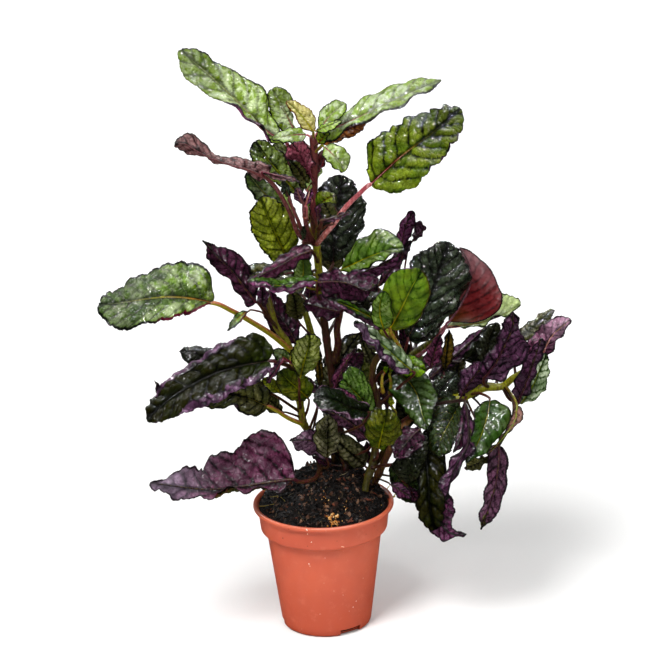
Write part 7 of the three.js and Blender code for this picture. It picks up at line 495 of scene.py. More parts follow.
        R=[[-17.5, -22.0, 107.1], [-19.5, -18.6, 119.2], [-23.6, -18.3, 131.8], [-34.0, -18.9, 139.9], [-45.4, -20.1, 136.5], [-54.7, -22.0, 128.2], [-67.1, -24.5, 127.4], [-76.5, -27.7, 121.0], [-85.8, -31.5, 122.3], [-96.7, -36.2, 118.3], [-108.2, -44.0, 117.2]]),
    'leaf_40b': dict(face='U', cls='olivebrown', und='purple', petc='maroon', slot='leaf_olive', node=None, bow=1.5, rnd=0.568,
        pet=[[-8.1, 2.3, 130.0], [-1.6, 1.0, 148.3], [0.0, -1.5, 160.1]],
        M=[[0.0, -1.5, 160.1], [0.1, -1.9, 162.9], [0.2, -2.3, 165.7], [0.3, -2.7, 168.5], [0.2, -3.1, 171.3], [-0.0, -3.5, 174.0], [-0.2, -3.9, 176.8], [-0.0, -4.3, 179.6], [0.4, -4.7, 182.3], [0.9, -5.1, 185.0], [1.4, -5.5, 187.8]],
        L=[[0.0, -1.5, 160.1], [0.8, -1.4, 162.6], [1.6, -1.6, 165.2], [2.2, -1.8, 167.9], [2.4, -2.1, 170.6], [2.4, -2.5, 173.4], [2.3, -2.9, 176.3], [2.2, -3.4, 179.1], [2.0, -4.0, 181.9], [1.7, -4.6, 184.8], [1.4, -5.5, 187.8]],
        R=[[0.0, -1.5, 160.1], [-0.9, -2.4, 163.0], [-1.7, -3.0, 165.9], [-2.4, -3.6, 168.8], [-2.7, -4.1, 171.7], [-2.9, -4.5, 174.6], [-2.6, -4.9, 177.5], [-1.9, -5.2, 180.2], [-1.0, -5.4, 182.9], [0.1, -5.6, 185.4], [1.4, -5.5, 187.8]]),
    'leaf_52b': dict(face='D', cls='dark', und='violet', petc='maroon', slot='leaf_dark_green', node=None, bow=1.5, rnd=0.55,
        pet=[[36.1, -2.5, 133.8], [25.9, -16.4, 149.5], [23.4, -23.3, 157.0]],
        M=[[23.4, -23.3, 157.0], [22.1, -24.0, 158.5], [20.8, -24.7, 160.0], [19.6, -25.3, 161.5], [18.3, -25.8, 162.9], [17.0, -26.2, 164.3], [15.7, -26.6, 165.7], [14.4, -26.8, 167.1], [13.2, -27.0, 168.4], [11.9, -27.1, 169.7], [10.6, -27.2, 170.9]],
        L=[[23.4, -23.3, 157.0], [21.5, -23.5, 157.0], [19.8, -23.9, 157.5], [18.2, -24.3, 158.7], [16.8, -24.8, 160.3], [15.5, -25.2, 161.9], [14.1, -25.5, 163.4], [12.8, -25.9, 165.0], [11.9, -26.3, 166.8], [11.2, -26.6, 168.8], [10.6, -27.2, 170.9]],
        R=[[23.4, -23.3, 157.0], [23.3, -23.5, 159.2], [23.1, -24.0, 161.4], [22.2, -24.4, 163.1], [20.6, -24.9, 164.5], [18.9, -25.3, 165.7], [17.4, -25.7, 167.2], [15.9, -26.0, 168.7], [14.3, -26.3, 169.8], [12.5, -26.7, 170.4], [10.6, -27.2, 170.9]]),
    'leaf_70b': dict(face='U', cls='wet', und='purple', petc='maroon', slot='leaf_wet_dark', node=None, bow=1.5, rnd=0.443, opt={'amp': 1.5},
        pet=[[67.8, 1.6, 145.1], [73.7, -2.3, 152.6]],
        M=[[73.7, -2.3, 152.6], [74.7, -2.0, 154.3], [75.7, -1.5, 156.1], [76.8, -1.0, 157.7], [78.1, -0.4, 159.2], [79.5, 0.3, 160.5], [80.9, 1.0, 161.8], [82.4, 1.9, 163.0], [83.9, 2.8, 164.1], [85.4, 3.8, 165.2], [86.9, 4.9, 166.3]],
        L=[[73.7, -2.3, 152.6], [76.6, -1.5, 151.3], [79.4, -0.9, 150.5], [82.3, -0.3, 150.6], [85.1, 0.4, 151.4], [87.2, 1.1, 153.0], [88.6, 1.9, 155.5], [89.2, 2.6, 158.4], [89.1, 3.4, 161.1], [88.1, 4.2, 163.7], [86.9, 4.9, 166.3]],
        R=[[73.7, -2.3, 152.6], [71.6, -2.4, 155.2], [69.7, -2.1, 157.7], [69.6, -1.7, 160.3], [70.9, -1.2, 163.2], [72.9, -0.5, 165.6], [75.2, 0.2, 167.4], [78.0, 1.2, 168.6], [80.9, 2.2, 168.9], [83.9, 3.4, 167.8], [86.9, 4.9, 166.3]]),
    'leaf_71b': dict(face='D', cls='dark', und='darkpurple', petc='maroon', slot='underside_dark_purple', node=None, bow=1.5, rnd=0.505,
        pet=[[92.2, -0.2, 152.0], [90.5, -19.0, 154.4]],
        M=[[90.5, -19.0, 154.4], [90.2, -22.0, 152.1], [89.8, -24.8, 149.7], [89.4, -27.5, 147.3], [88.8, -30.0, 144.9], [88.2, -32.4, 142.3], [87.3, -34.6, 139.8], [86.1, -36.6, 137.4], [84.7, -38.5, 135.0], [83.0, -40.2, 132.7], [81.4, -41.7, 130.2]],
        L=[[90.5, -19.0, 154.4], [91.4, -21.0, 151.5], [92.0, -23.3, 148.8], [92.3, -25.7, 145.9], [92.2, -28.0, 143.0], [91.7, -30.3, 140.2], [90.8, -32.6, 137.4], [89.5, -34.8, 134.6], [87.5, -37.0, 132.3], [84.7, -39.2, 131.0], [81.4, -41.7, 130.2]],
        R=[[90.5, -19.0, 154.4], [89.0, -21.0, 152.1], [87.6, -23.4, 149.9], [86.9, -25.8, 147.4], [86.5, -28.1, 144.9], [86.0, -30.4, 142.3], [85.0, -32.6, 139.9], [83.9, -34.9, 137.5], [82.9, -37.0, 135.1], [82.2, -39.2, 132.6], [81.4, -41.7, 130.2]]),
    'leaf_75b': dict(face='U', cls='black', und='purple', petc='dark', slot='leaf_dark_green', node=None, bow=1.5, rnd=0.538,
        pet=[[52.2, 1.9, 171.5], [67.8, -0.6, 171.7], [82.3, -1.2, 176.1], [90.0, 0.5, 175.3]],
        M=[[90.0, 0.5, 175.3], [92.4, 1.1, 176.7], [94.8, 1.7, 178.2], [97.2, 2.2, 179.7], [99.4, 2.8, 181.3], [101.7, 3.3, 183.0], [103.9, 3.9, 184.8], [106.1, 4.4, 186.5], [108.3, 5.0, 188.3], [110.4, 5.6, 190.1], [112.6, 6.1, 191.9]],
        L=[[90.0, 0.5, 175.3], [93.5, 2.8, 173.4], [96.9, 4.2, 172.3], [100.0, 5.3, 173.1], [102.9, 6.2, 175.0], [105.6, 6.8, 177.2], [108.6, 7.3, 179.2], [111.5, 7.5, 181.4], [113.2, 7.5, 184.1], [113.2, 7.3, 187.8], [112.6, 6.1, 191.9]],
        R=[[90.0, 0.5, 175.3], [90.8, -0.6, 179.0], [91.8, -0.9, 182.3], [93.5, -0.9, 185.1], [95.8, -0.6, 187.4], [98.3, -0.2, 189.4], [100.8, 0.5, 191.5], [103.3, 1.4, 193.6], [106.1, 2.5, 194.7], [109.2, 3.8, 193.9], [112.6, 6.1, 191.9]]),
    'leaf_82b': dict(face='U', cls='black', und='purple', petc='dark', slot='leaf_dark_green', node=None, bow=1.5, rnd=0.545,
        pet=[[94.3, -0.6, 153.1], [101.0, -0.2, 145.4], [105.8, -2.2, 135.2]],
        M=[[105.8, -2.2, 135.2], [104.8, -2.8, 133.9], [103.7, -3.5, 132.7], [102.7, -4.1, 131.4], [101.8, -4.8, 130.1], [100.9, -5.4, 128.8], [100.1, -6.1, 127.4], [99.3, -6.7, 126.0], [98.5, -7.4, 124.5], [97.8, -8.0, 123.1], [97.0, -8.7, 121.7]],
        L=[[105.8, -2.2, 135.2], [103.5, -3.6, 136.0], [101.4, -4.6, 136.3], [99.7, -5.5, 135.7], [98.4, -6.3, 134.2], [97.3, -7.0, 132.2], [96.6, -7.6, 130.2], [96.3, -8.1, 128.3], [96.4, -8.5, 126.2], [96.8, -8.8, 124.0], [97.0, -8.7, 121.7]],
        R=[[105.8, -2.2, 135.2], [105.7, -2.1, 132.9], [105.7, -2.3, 130.9], [105.5, -2.8, 128.9], [105.1, -3.3, 127.0], [104.5, -3.9, 125.1], [103.7, -4.6, 123.1], [102.6, -5.4, 121.5], [101.1, -6.3, 120.6], [99.2, -7.3, 120.9], [97.0, -8.7, 121.7]]),
    'leaf_51b': dict(face='U', cls='olivebrown', und='purple', petc='maroon', slot='leaf_olive', node=None, bow=1.5, rnd=0.54,
        pet=[[6.8, 8.1, 173.5], [15.3, 15.6, 178.2], [20.6, 22.7, 180.8]],
        M=[[20.6, 22.7, 180.8], [21.4, 22.3, 181.7], [22.2, 21.9, 182.7], [23.0, 21.5, 183.6], [23.7, 21.1, 184.6], [24.5, 20.7, 185.6], [25.1, 20.3, 186.6], [25.8, 19.9, 187.6], [26.4, 19.5, 188.7], [27.1, 19.1, 189.8], [27.7, 18.7, 190.8]],
        L=[[20.6, 22.7, 180.8], [22.0, 23.3, 180.2], [23.5, 23.4, 179.8], [24.8, 23.3, 179.9], [26.0, 23.1, 180.7], [27.1, 22.7, 182.1], [27.9, 22.3, 183.6], [28.4, 21.7, 185.2], [28.3, 21.0, 186.9], [28.0, 20.1, 188.8], [27.7, 18.7, 190.8]],
        R=[[20.6, 22.7, 180.8], [20.5, 21.3, 182.7], [20.5, 20.5, 184.4], [20.6, 19.8, 185.9], [21.2, 19.2, 187.1], [22.1, 18.7, 188.3], [23.1, 18.4, 189.2], [24.2, 18.2, 190.0], [25.3, 18.1, 190.4], [26.5, 18.1, 190.7], [27.7, 18.7, 190.8]]),
    'leaf_53b': dict(face='U', cls='black', und='purple', petc='dark', slot='leaf_dark_green', node=None, bow=1.5, rnd=0.568,
        pet=[[51.3, 2.7, 168.2], [49.8, 6.6, 175.0]],
        M=[[49.8, 6.6, 175.0], [50.7, 6.5, 176.1], [51.5, 6.4, 177.3], [52.3, 6.3, 178.5], [53.2, 6.2, 179.6], [54.0, 6.1, 180.8], [54.8, 6.0, 181.9], [55.7, 5.9, 183.1], [56.5, 5.8, 184.2], [57.4, 5.7, 185.4], [58.2, 5.6, 186.5]],
        L=[[49.8, 6.6, 175.0], [51.6, 7.6, 174.4], [53.3, 8.0, 174.2], [54.9, 8.2, 174.5], [56.3, 8.3, 175.5], [57.5, 8.3, 176.9], [58.5, 8.1, 178.6], [58.9, 7.8, 180.3], [58.9, 7.4, 182.2], [58.5, 6.8, 184.3], [58.2, 5.6, 186.5]],
        R=[[49.8, 6.6, 175.0], [49.7, 5.5, 177.1], [49.6, 4.9, 179.0], [49.8, 4.4, 180.8], [50.3, 4.1, 182.4], [51.2, 4.0, 183.9], [52.4, 3.9, 185.2], [53.7, 4.0, 186.2], [55.0, 4.3, 186.7], [56.6, 4.7, 186.7], [58.2, 5.6, 186.5]]),
    'leaf_50b': dict(face='D', cls='dark', und='darkpurple', petc='maroon', slot='underside_dark_purple', node=None, bow=1.5, rnd=0.443,
        pet=[[9.7, 8.0, 147.9], [20.5, 0.2, 168.9]],
        M=[[20.5, 0.2, 168.9], [20.9, -0.2, 170.7], [21.2, -0.5, 172.6], [21.6, -0.8, 174.4], [22.1, -1.1, 176.2], [22.7, -1.4, 177.9], [23.6, -1.7, 179.5], [24.5, -2.1, 181.0], [25.6, -2.4, 182.4], [26.7, -2.7, 183.8], [27.7, -3.0, 185.3]],
        L=[[20.5, 0.2, 168.9], [19.2, 0.9, 170.6], [18.0, 1.0, 172.4], [17.4, 1.0, 174.3], [17.8, 0.9, 176.4], [18.8, 0.7, 178.6], [20.3, 0.3, 180.7], [21.9, -0.2, 182.3], [23.7, -0.9, 183.5], [25.7, -1.7, 184.3], [27.7, -3.0, 185.3]],
        R=[[20.5, 0.2, 168.9], [22.4, 0.8, 169.1], [24.2, 0.9, 169.5], [25.6, 0.9, 170.5], [26.7, 0.7, 172.1], [27.6, 0.5, 174.2], [28.1, 0.1, 176.3], [28.4, -0.4, 178.4], [28.2, -1.0, 180.6], [28.0, -1.8, 182.9], [27.7, -3.0, 185.3]]),
    'leaf_60b': dict(face='U', cls='greyolive', und='purple', petc='maroon', slot='leaf_grey_olive', node=None, bow=1.5, rnd=0.429,
        pet=[[35.5, -2.4, 130.4], [31.9, 5.0, 140.9], [30.9, 7.7, 149.4]],
        M=[[30.9, 7.7, 149.4], [30.3, 7.7, 152.9], [29.7, 7.7, 156.3], [29.1, 7.7, 159.7], [28.4, 7.7, 163.1], [27.7, 7.7, 166.5], [27.0, 7.7, 169.9], [26.3, 7.7, 173.3], [25.8, 7.7, 176.7], [25.3, 7.7, 180.1], [24.8, 7.7, 183.5]],
        L=[[30.9, 7.7, 149.4], [33.4, 9.2, 152.0], [35.5, 9.9, 155.0], [36.1, 10.3, 158.5], [35.6, 10.6, 162.5], [34.8, 10.7, 166.5], [33.8, 10.6, 170.5], [32.6, 10.3, 174.5], [30.8, 9.9, 178.0], [28.0, 9.2, 180.8], [24.8, 7.7, 183.5]],
        R=[[30.9, 7.7, 149.4], [27.8, 6.2, 152.1], [25.2, 5.5, 154.7], [23.8, 5.1, 158.3], [23.4, 4.8, 162.3], [22.9, 4.7, 166.3], [22.3, 4.8, 170.0], [21.9, 5.1, 173.7], [22.2, 5.5, 177.2], [23.4, 6.2, 180.5], [24.8, 7.7, 183.5]]),
    'leaf_64b': dict(face='D', cls='dark', und='darkpurple', petc='maroon', slot='underside_dark_purple', node=None, bow=1.5, rnd=0.498,
        pet=[[46.6, 8.6, 128.9], [42.7, 0.9, 143.5]],
        M=[[42.7, 0.9, 143.5], [42.5, 1.0, 145.2], [42.3, 1.0, 146.9], [42.1, 1.1, 148.7], [41.9, 1.2, 150.4], [41.5, 1.2, 152.0], [40.9, 1.3, 153.6], [40.2, 1.3, 155.1], [39.5, 1.4, 156.7], [38.7, 1.4, 158.2], [38.0, 1.5, 159.7]],
        L=[[42.7, 0.9, 143.5], [41.6, 2.0, 144.5], [40.5, 2.5, 145.8], [39.5, 2.8, 147.1], [38.6, 3.1, 148.7], [37.7, 3.2, 150.4], [37.0, 3.2, 152.1], [36.6, 3.1, 153.9], [36.7, 2.8, 155.8], [37.3, 2.4, 157.7], [38.0, 1.5, 159.7]],
        R=[[42.7, 0.9, 143.5], [44.0, 2.0, 144.9], [45.3, 2.5, 146.5], [46.0, 2.9, 148.3], [46.2, 3.1, 150.4], [45.8, 3.2, 152.8], [44.9, 3.2, 155.1], [43.7, 3.1, 157.0], [42.1, 2.9, 158.2], [40.1, 2.4, 158.9], [38.0, 1.5, 159.7]]),
    'leaf_64c': dict(face='U', cls='bright', und='purple', petc='green', slot='leaf_bright_green', node=None, bow=1.5, rnd=0.462,
        pet=[[47.8, 8.0, 133.8], [44.4, -7.5, 148.8]],
        M=[[44.4, -7.5, 148.8], [44.4, -7.6, 149.6], [44.5, -7.6, 150.3], [44.5, -7.7, 151.1], [44.5, -7.7, 151.9], [44.4, -7.8, 152.6], [44.4, -7.8, 153.4], [44.3, -7.9, 154.2], [44.1, -7.9, 154.9], [44.0, -8.0, 155.7], [43.9, -8.0, 156.4]],
        L=[[44.4, -7.5, 148.8], [45.0, -7.0, 149.3], [45.7, -6.8, 149.9], [46.2, -6.6, 150.5], [46.4, -6.6, 151.3], [46.3, -6.6, 152.2], [46.1, -6.7, 153.1], [45.7, -6.8, 154.0], [45.2, -7.0, 154.8], [44.6, -7.4, 155.5], [43.9, -8.0, 156.4]],
        R=[[44.4, -7.5, 148.8], [43.9, -8.2, 149.7], [43.3, -8.5, 150.5], [42.8, -8.7, 151.3], [42.5, -8.9, 152.1], [42.4, -9.0, 153.0], [42.4, -9.0, 153.9], [42.6, -8.9, 154.7], [42.9, -8.8, 155.4], [43.4, -8.6, 156.0], [43.9, -8.0, 156.4]]),
    'leaf_66b': dict(face='U', cls='black', und='purple', petc='dark', slot='leaf_dark_green', node=None, bow=1.5, rnd=0.569,
        pet=[[50.7, 2.1, 129.5], [55.3, 7.1, 128.4]],
        M=[[55.3, 7.1, 128.4], [54.8, 6.8, 130.5], [54.4, 6.4, 132.6], [53.9, 6.1, 134.7], [53.4, 5.7, 136.8], [52.8, 5.4, 138.9], [52.2, 5.0, 141.0], [51.5, 4.7, 143.0], [50.7, 4.3, 145.0], [50.0, 4.0, 147.0], [49.2, 3.6, 149.1]],
        L=[[55.3, 7.1, 128.4], [57.3, 7.6, 129.8], [59.0, 7.7, 131.6], [59.6, 7.6, 133.8], [59.2, 7.4, 136.5], [58.3, 7.1, 139.3], [57.0, 6.7, 141.8], [55.5, 6.2, 143.9], [53.5, 5.6, 145.6], [51.3, 4.8, 147.2], [49.2, 3.6, 149.1]],
        R=[[55.3, 7.1, 128.4], [53.5, 5.9, 130.2], [51.8, 5.1, 131.8], [50.3, 4.5, 133.6], [49.2, 4.0, 135.7], [48.4, 3.6, 138.0], [48.0, 3.3, 140.4], [47.8, 3.1, 142.8], [48.0, 3.0, 145.0], [48.6, 3.1, 147.1], [49.2, 3.6, 149.1]]),
    'leaf_40c': dict(face='D', cls='dark', und='darkpurple', petc='maroon', slot='underside_dark_purple', node=None, bow=1.5, rnd=0.433,
        pet=[[-6.4, 3.2, 127.0], [-2.3, 5.5, 141.8], [-0.7, 8.3, 152.3]],
        M=[[-0.7, 8.3, 152.3], [-1.6, 8.3, 153.6], [-2.5, 8.3, 154.9], [-3.4, 8.3, 156.2], [-4.3, 8.3, 157.5], [-5.2, 8.3, 158.8], [-6.0, 8.3, 160.1], [-6.8, 8.3, 161.4], [-7.6, 8.3, 162.8], [-8.4, 8.3, 164.1], [-9.2, 8.3, 165.5]],
        L=[[-0.7, 8.3, 152.3], [-2.4, 9.3, 152.5], [-3.9, 9.7, 152.9], [-5.4, 10.1, 153.7], [-6.7, 10.2, 154.8], [-7.9, 10.3, 156.2], [-8.8, 10.2, 157.8], [-9.4, 10.1, 159.4], [-9.6, 9.7, 161.3], [-9.4, 9.3, 163.3], [-9.2, 8.3, 165.5]],
        R=[[-0.7, 8.3, 152.3], [-0.8, 9.3, 153.7], [-0.9, 9.7, 155.3], [-1.2, 10.1, 156.9], [-1.7, 10.2, 158.4], [-2.6, 10.3, 160.0], [-3.6, 10.2, 161.5], [-4.8, 10.1, 162.8], [-6.1, 9.7, 163.8], [-7.7, 9.3, 164.6], [-9.2, 8.3, 165.5]]),
    'leaf_47b': dict(face='U', cls='black', und='purple', petc='dark', slot='leaf_dark_green', node=None, bow=1.5, rnd=0.447,
        pet=[[15.0, 3.0, 102.3], [18.9, 2.5, 102.5]],
        M=[[18.9, 2.5, 102.5], [17.7, 2.5, 104.1], [16.4, 2.6, 105.7], [15.2, 2.6, 107.3], [14.1, 2.7, 108.9], [12.9, 2.7, 110.6], [11.8, 2.8, 112.3], [10.8, 2.8, 114.0], [9.8, 2.9, 115.7], [8.8, 2.9, 117.5], [7.8, 3.0, 119.2]],
        L=[[18.9, 2.5, 102.5], [19.0, 3.0, 104.7], [19.2, 3.2, 106.9], [18.9, 3.4, 109.0], [18.0, 3.5, 111.0], [16.8, 3.6, 112.9], [15.3, 3.6, 114.7], [13.6, 3.6, 116.2], [11.8, 3.5, 117.4], [9.8, 3.4, 118.3], [7.8, 3.0, 119.2]],
        R=[[18.9, 2.5, 102.5], [16.9, 2.1, 103.6], [15.0, 2.0, 104.5], [13.2, 1.9, 105.7], [11.6, 1.8, 107.2], [10.2, 1.9, 109.0], [9.0, 1.9, 110.9], [8.2, 2.1, 112.9], [7.9, 2.2, 115.0], [7.9, 2.5, 117.1], [7.8, 3.0, 119.2]]),
    'leaf_48b': dict(face='D', cls='dark', und='darkpurple', petc='maroon', slot='underside_dark_purple', node=None, bow=1.5, rnd=0.5,
        pet=[[14.6, 3.6, 104.9], [4.9, 1.9, 106.0]],
        M=[[4.9, 1.9, 106.0], [3.9, 1.6, 107.0], [2.9, 1.3, 108.1], [1.8, 1.0, 109.2], [0.8, 0.7, 110.1], [-0.3, 0.4, 111.0], [-1.5, 0.1, 111.8], [-2.7, -0.2, 112.5], [-3.9, -0.5, 113.2], [-5.2, -0.8, 113.8], [-6.4, -1.1, 114.5]],
        L=[[4.9, 1.9, 106.0], [3.5, 2.7, 105.7], [2.1, 2.9, 105.7], [0.7, 3.0, 106.0], [-0.7, 2.9, 106.5], [-2.0, 2.6, 107.3], [-3.2, 2.3, 108.3], [-4.3, 1.8, 109.4], [-5.1, 1.1, 110.9], [-5.8, 0.3, 112.5], [-6.4, -1.1, 114.5]],
        R=[[4.9, 1.9, 106.0], [5.7, 2.5, 107.6], [6.3, 2.6, 109.4], [5.8, 2.6, 110.9], [4.5, 2.4, 112.3], [2.6, 2.2, 113.5], [0.7, 1.9, 114.3], [-1.0, 1.4, 114.7], [-2.8, 0.8, 114.7], [-4.6, 0.1, 114.4], [-6.4, -1.1, 114.5]]),
    'leaf_back_01': dict(face='U', cls='dark', und='mauve', petc='maroon', slot='leaf_dark_green', node='leaf_back_01', bow=1.5, rnd=0.563,
        pet=[[60.3, 8.2, 122.4], [62.1, 13.3, 123.8], [63.9, 18.6, 124.8], [65.9, 24.0, 125.2]],
        M=[[65.9, 24.0, 125.2], [67.4, 28.3, 125.1], [69.0, 32.7, 124.6], [70.5, 36.9, 123.6], [71.9, 41.0, 122.2], [73.3, 45.0, 120.3], [74.7, 48.7, 117.9], [75.9, 52.1, 115.1], [77.0, 55.2, 111.8], [77.9, 57.9, 108.2], [78.7, 60.1, 104.3]],
        L=[[65.9, 24.0, 125.2], [74.3, 26.0, 126.8], [78.7, 29.6, 126.9], [81.9, 33.6, 126.3], [84.2, 37.8, 124.9], [85.5, 42.1, 122.8], [86.0, 46.2, 120.1], [85.7, 50.2, 116.8], [84.7, 53.9, 113.0], [82.7, 57.2, 108.9], [78.7, 60.1, 104.3]],
        R=[[65.9, 24.0, 125.2], [60.7, 30.9, 126.7], [59.4, 36.4, 126.8], [59.4, 41.5, 126.1], [60.3, 46.2, 124.7], [62.0, 50.3, 122.6], [64.2, 53.9, 120.0], [67.0, 56.8, 116.7], [70.1, 59.0, 113.0], [73.7, 60.3, 108.8], [78.7, 60.1, 104.3]]),
    'leaf_back_02': dict(face='U', cls='olive', und='purple', petc='maroon', slot='leaf_olive', node='leaf_back_02', bow=1.5, rnd=0.475,
        pet=[[48.2, 5.0, 109.7], [45.2, 13.6, 111.8], [42.1, 22.4, 113.5], [39.0, 31.4, 114.7]],
        M=[[39.0, 31.4, 114.7], [36.8, 37.6, 115.2], [34.7, 43.7, 115.3], [32.5, 49.8, 115.1], [30.4, 55.9, 114.6], [28.3, 62.0, 113.7], [26.2, 68.0, 112.5], [24.1, 74.0, 110.9], [22.0, 79.8, 108.9], [20.0, 85.6, 106.5], [18.1, 91.1, 103.8]],
        L=[[39.0, 31.4, 114.7], [46.1, 40.7, 116.3], [47.8, 48.3, 116.9], [47.8, 55.3, 117.0], [46.5, 61.8, 116.6], [44.1, 67.9, 115.6], [40.8, 73.6, 114.2], [36.7, 78.9, 112.4], [31.8, 83.7, 110.0], [26.0, 88.0, 107.2], [18.1, 91.1, 103.8]],
        R=[[39.0, 31.4, 114.7], [28.1, 34.3, 118.3], [22.2, 39.3, 119.8], [17.9, 45.0, 120.3], [14.8, 51.1, 120.1], [12.8, 57.5, 119.1], [11.7, 64.2, 117.4], [11.6, 70.9, 115.0], [12.3, 77.6, 112.0], [14.0, 84.3, 108.4], [18.1, 91.1, 103.8]]),
    'leaf_back_03': dict(face='U', cls='dark', und='purple', petc='maroon', slot='leaf_dark_green', node='leaf_back_03', bow=1.5, rnd=0.512,
        pet=[[50.9, 4.7, 160.7], [48.8, 10.4, 164.7], [46.5, 16.4, 168.3], [44.1, 22.9, 171.2]],
        M=[[44.1, 22.9, 171.2], [42.5, 27.4, 172.7], [40.8, 32.1, 173.8], [39.0, 36.7, 174.4], [37.3, 41.5, 174.5], [35.5, 46.2, 174.1], [33.8, 50.8, 173.2], [32.1, 55.4, 171.7], [30.5, 59.7, 169.8], [29.0, 63.8, 167.3], [27.6, 67.7, 164.4]],
        L=[[44.1, 22.9, 171.2], [48.7, 29.0, 175.3], [49.5, 34.6, 177.5], [49.1, 40.1, 178.8], [47.8, 45.5, 179.2], [45.8, 50.6, 178.7], [43.1, 55.3, 177.4], [40.0, 59.6, 175.2], [36.5, 63.3, 172.4], [32.7, 66.2, 168.8], [27.6, 67.7, 164.4]],
        R=[[44.1, 22.9, 171.2], [35.9, 24.9, 173.0], [31.5, 28.6, 174.2], [28.2, 32.7, 174.9], [25.8, 37.2, 175.0], [24.2, 42.1, 174.6], [23.3, 47.1, 173.6], [23.1, 52.2, 172.1], [23.5, 57.3, 170.1], [24.6, 62.3, 167.5], [27.6, 67.7, 164.4]]),
    'leaf_back_04': dict(face='U', cls='greyolive', und='mauve', petc='maroon', slot='leaf_grey_olive', node='leaf_back_04', bow=1.5, rnd=0.535,
        pet=[[-12.9, 0.8, 151.4], [-16.1, 5.5, 152.0], [-19.2, 10.3, 152.2], [-22.4, 15.2, 152.2]],
        M=[[-22.4, 15.2, 152.2], [-26.0, 20.8, 151.7], [-29.7, 26.3, 150.6], [-33.2, 31.7, 148.9], [-36.7, 36.9, 146.7], [-40.0, 42.0, 143.8], [-43.1, 46.8, 140.4], [-46.1, 51.2, 136.4], [-48.7, 55.3, 131.8], [-51.1, 58.9, 126.7], [-53.2, 62.0, 121.2]],
        L=[[-22.4, 15.2, 152.2], [-17.0, 26.7, 151.7], [-16.8, 34.7, 150.6], [-18.2, 41.5, 148.9], [-20.8, 47.3, 146.7], [-24.3, 52.3, 143.9], [-28.6, 56.3, 140.4], [-33.6, 59.4, 136.4], [-39.1, 61.6, 131.8], [-45.1, 62.8, 126.8], [-53.2, 62.0, 121.2]],
        R=[[-22.4, 15.2, 152.2], [-34.5, 15.8, 156.2], [-42.0, 19.7, 157.0], [-48.0, 24.6, 156.2], [-52.7, 30.1, 154.1], [-56.2, 35.8, 150.9], [-58.5, 41.6, 146.5], [-59.6, 47.2, 141.3], [-59.4, 52.5, 135.2], [-57.9, 57.4, 128.6], [-53.2, 62.0, 121.2]]),
    'leaf_back_05': dict(face='U', cls='dark', und='purple', petc='maroon', slot='leaf_dark_green', node='leaf_back_05', bow=1.5, rnd=0.571,
        pet=[[4.7, 7.6, 194.6], [-0.1, 15.0, 201.5], [-5.3, 23.0, 207.3], [-11.1, 31.9, 211.8]],
        M=[[-11.1, 31.9, 211.8], [-14.0, 36.5, 213.4], [-17.1, 41.2, 214.5], [-20.2, 45.9, 215.0], [-23.3, 50.7, 214.9], [-26.3, 55.5, 214.3], [-29.4, 60.1, 213.2], [-32.3, 64.7, 211.4], [-35.1, 69.0, 209.2], [-37.8, 73.2, 206.3], [-40.3, 77.0, 203.0]],
        L=[[-11.1, 31.9, 211.8], [-7.4, 40.7, 213.6], [-7.7, 47.2, 214.8], [-9.2, 53.0, 215.3], [-11.7, 58.2, 215.3], [-14.9, 62.9, 214.7], [-18.8, 67.0, 213.5], [-23.3, 70.6, 211.7], [-28.1, 73.7, 209.3], [-33.5, 76.1, 206.4], [-40.3, 77.0, 203.0]],
        R=[[-11.1, 31.9, 211.8], [-19.7, 31.9, 216.5], [-25.3, 35.1, 218.9], [-30.1, 39.3, 220.2], [-34.0, 44.1, 220.5], [-37.2, 49.4, 219.7], [-39.7, 54.9, 218.1], [-41.5, 60.6, 215.5], [-42.4, 66.1, 212.2], [-42.4, 71.5, 208.1], [-40.3, 77.0, 203.0]]),
    'leaf_back_06': dict(face='U', cls='olive', und='purple', petc='maroon', slot='leaf_olive', node='leaf_back_06', bow=1.5, rnd=0.453,
        pet=[[50.8, 5.7, 156.6], [52.1, 11.7, 158.9], [53.4, 17.9, 160.6], [54.8, 24.4, 161.7]],
        M=[[54.8, 24.4, 161.7], [55.8, 29.3, 162.0], [56.8, 34.2, 161.8], [57.9, 39.1, 161.0], [58.9, 43.8, 159.7], [59.8, 48.4, 157.8], [60.8, 52.7, 155.3], [61.6, 56.7, 152.4], [62.3, 60.3, 148.9], [63.0, 63.4, 145.0], [63.5, 65.9, 140.7]],
        L=[[54.8, 24.4, 161.7], [62.9, 27.8, 162.8], [67.0, 32.2, 162.9], [69.7, 36.9, 162.2], [71.4, 41.6, 160.9], [72.3, 46.4, 159.0], [72.3, 51.0, 156.4], [71.5, 55.3, 153.2], [70.1, 59.3, 149.5], [67.8, 62.8, 145.3], [63.5, 65.9, 140.7]],
        R=[[54.8, 24.4, 161.7], [49.0, 30.7, 164.4], [47.3, 36.6, 165.1], [46.9, 42.2, 164.9], [47.3, 47.6, 163.6], [48.5, 52.6, 161.5], [50.4, 57.0, 158.6], [52.7, 60.7, 154.9], [55.5, 63.6, 150.6], [58.8, 65.6, 145.9], [63.5, 65.9, 140.7]]),
    'leaf_back_07': dict(face='U', cls='dark', und='mauve', petc='maroon', slot='leaf_dark_green', node='leaf_back_07', bow=1.5, rnd=0.523,
        pet=[[5.0, 7.8, 190.6], [8.0, 13.1, 194.8], [11.1, 18.7, 198.5], [14.5, 24.8, 201.7]],
        M=[[14.5, 24.8, 201.7], [16.9, 29.1, 203.4], [19.4, 33.5, 204.7], [21.9, 38.0, 205.6], [24.4, 42.5, 206.0], [26.9, 47.1, 205.9], [29.4, 51.6, 205.3], [31.9, 56.1, 204.2], [34.3, 60.4, 202.6], [36.6, 64.6, 200.5], [38.8, 68.5, 197.9]],
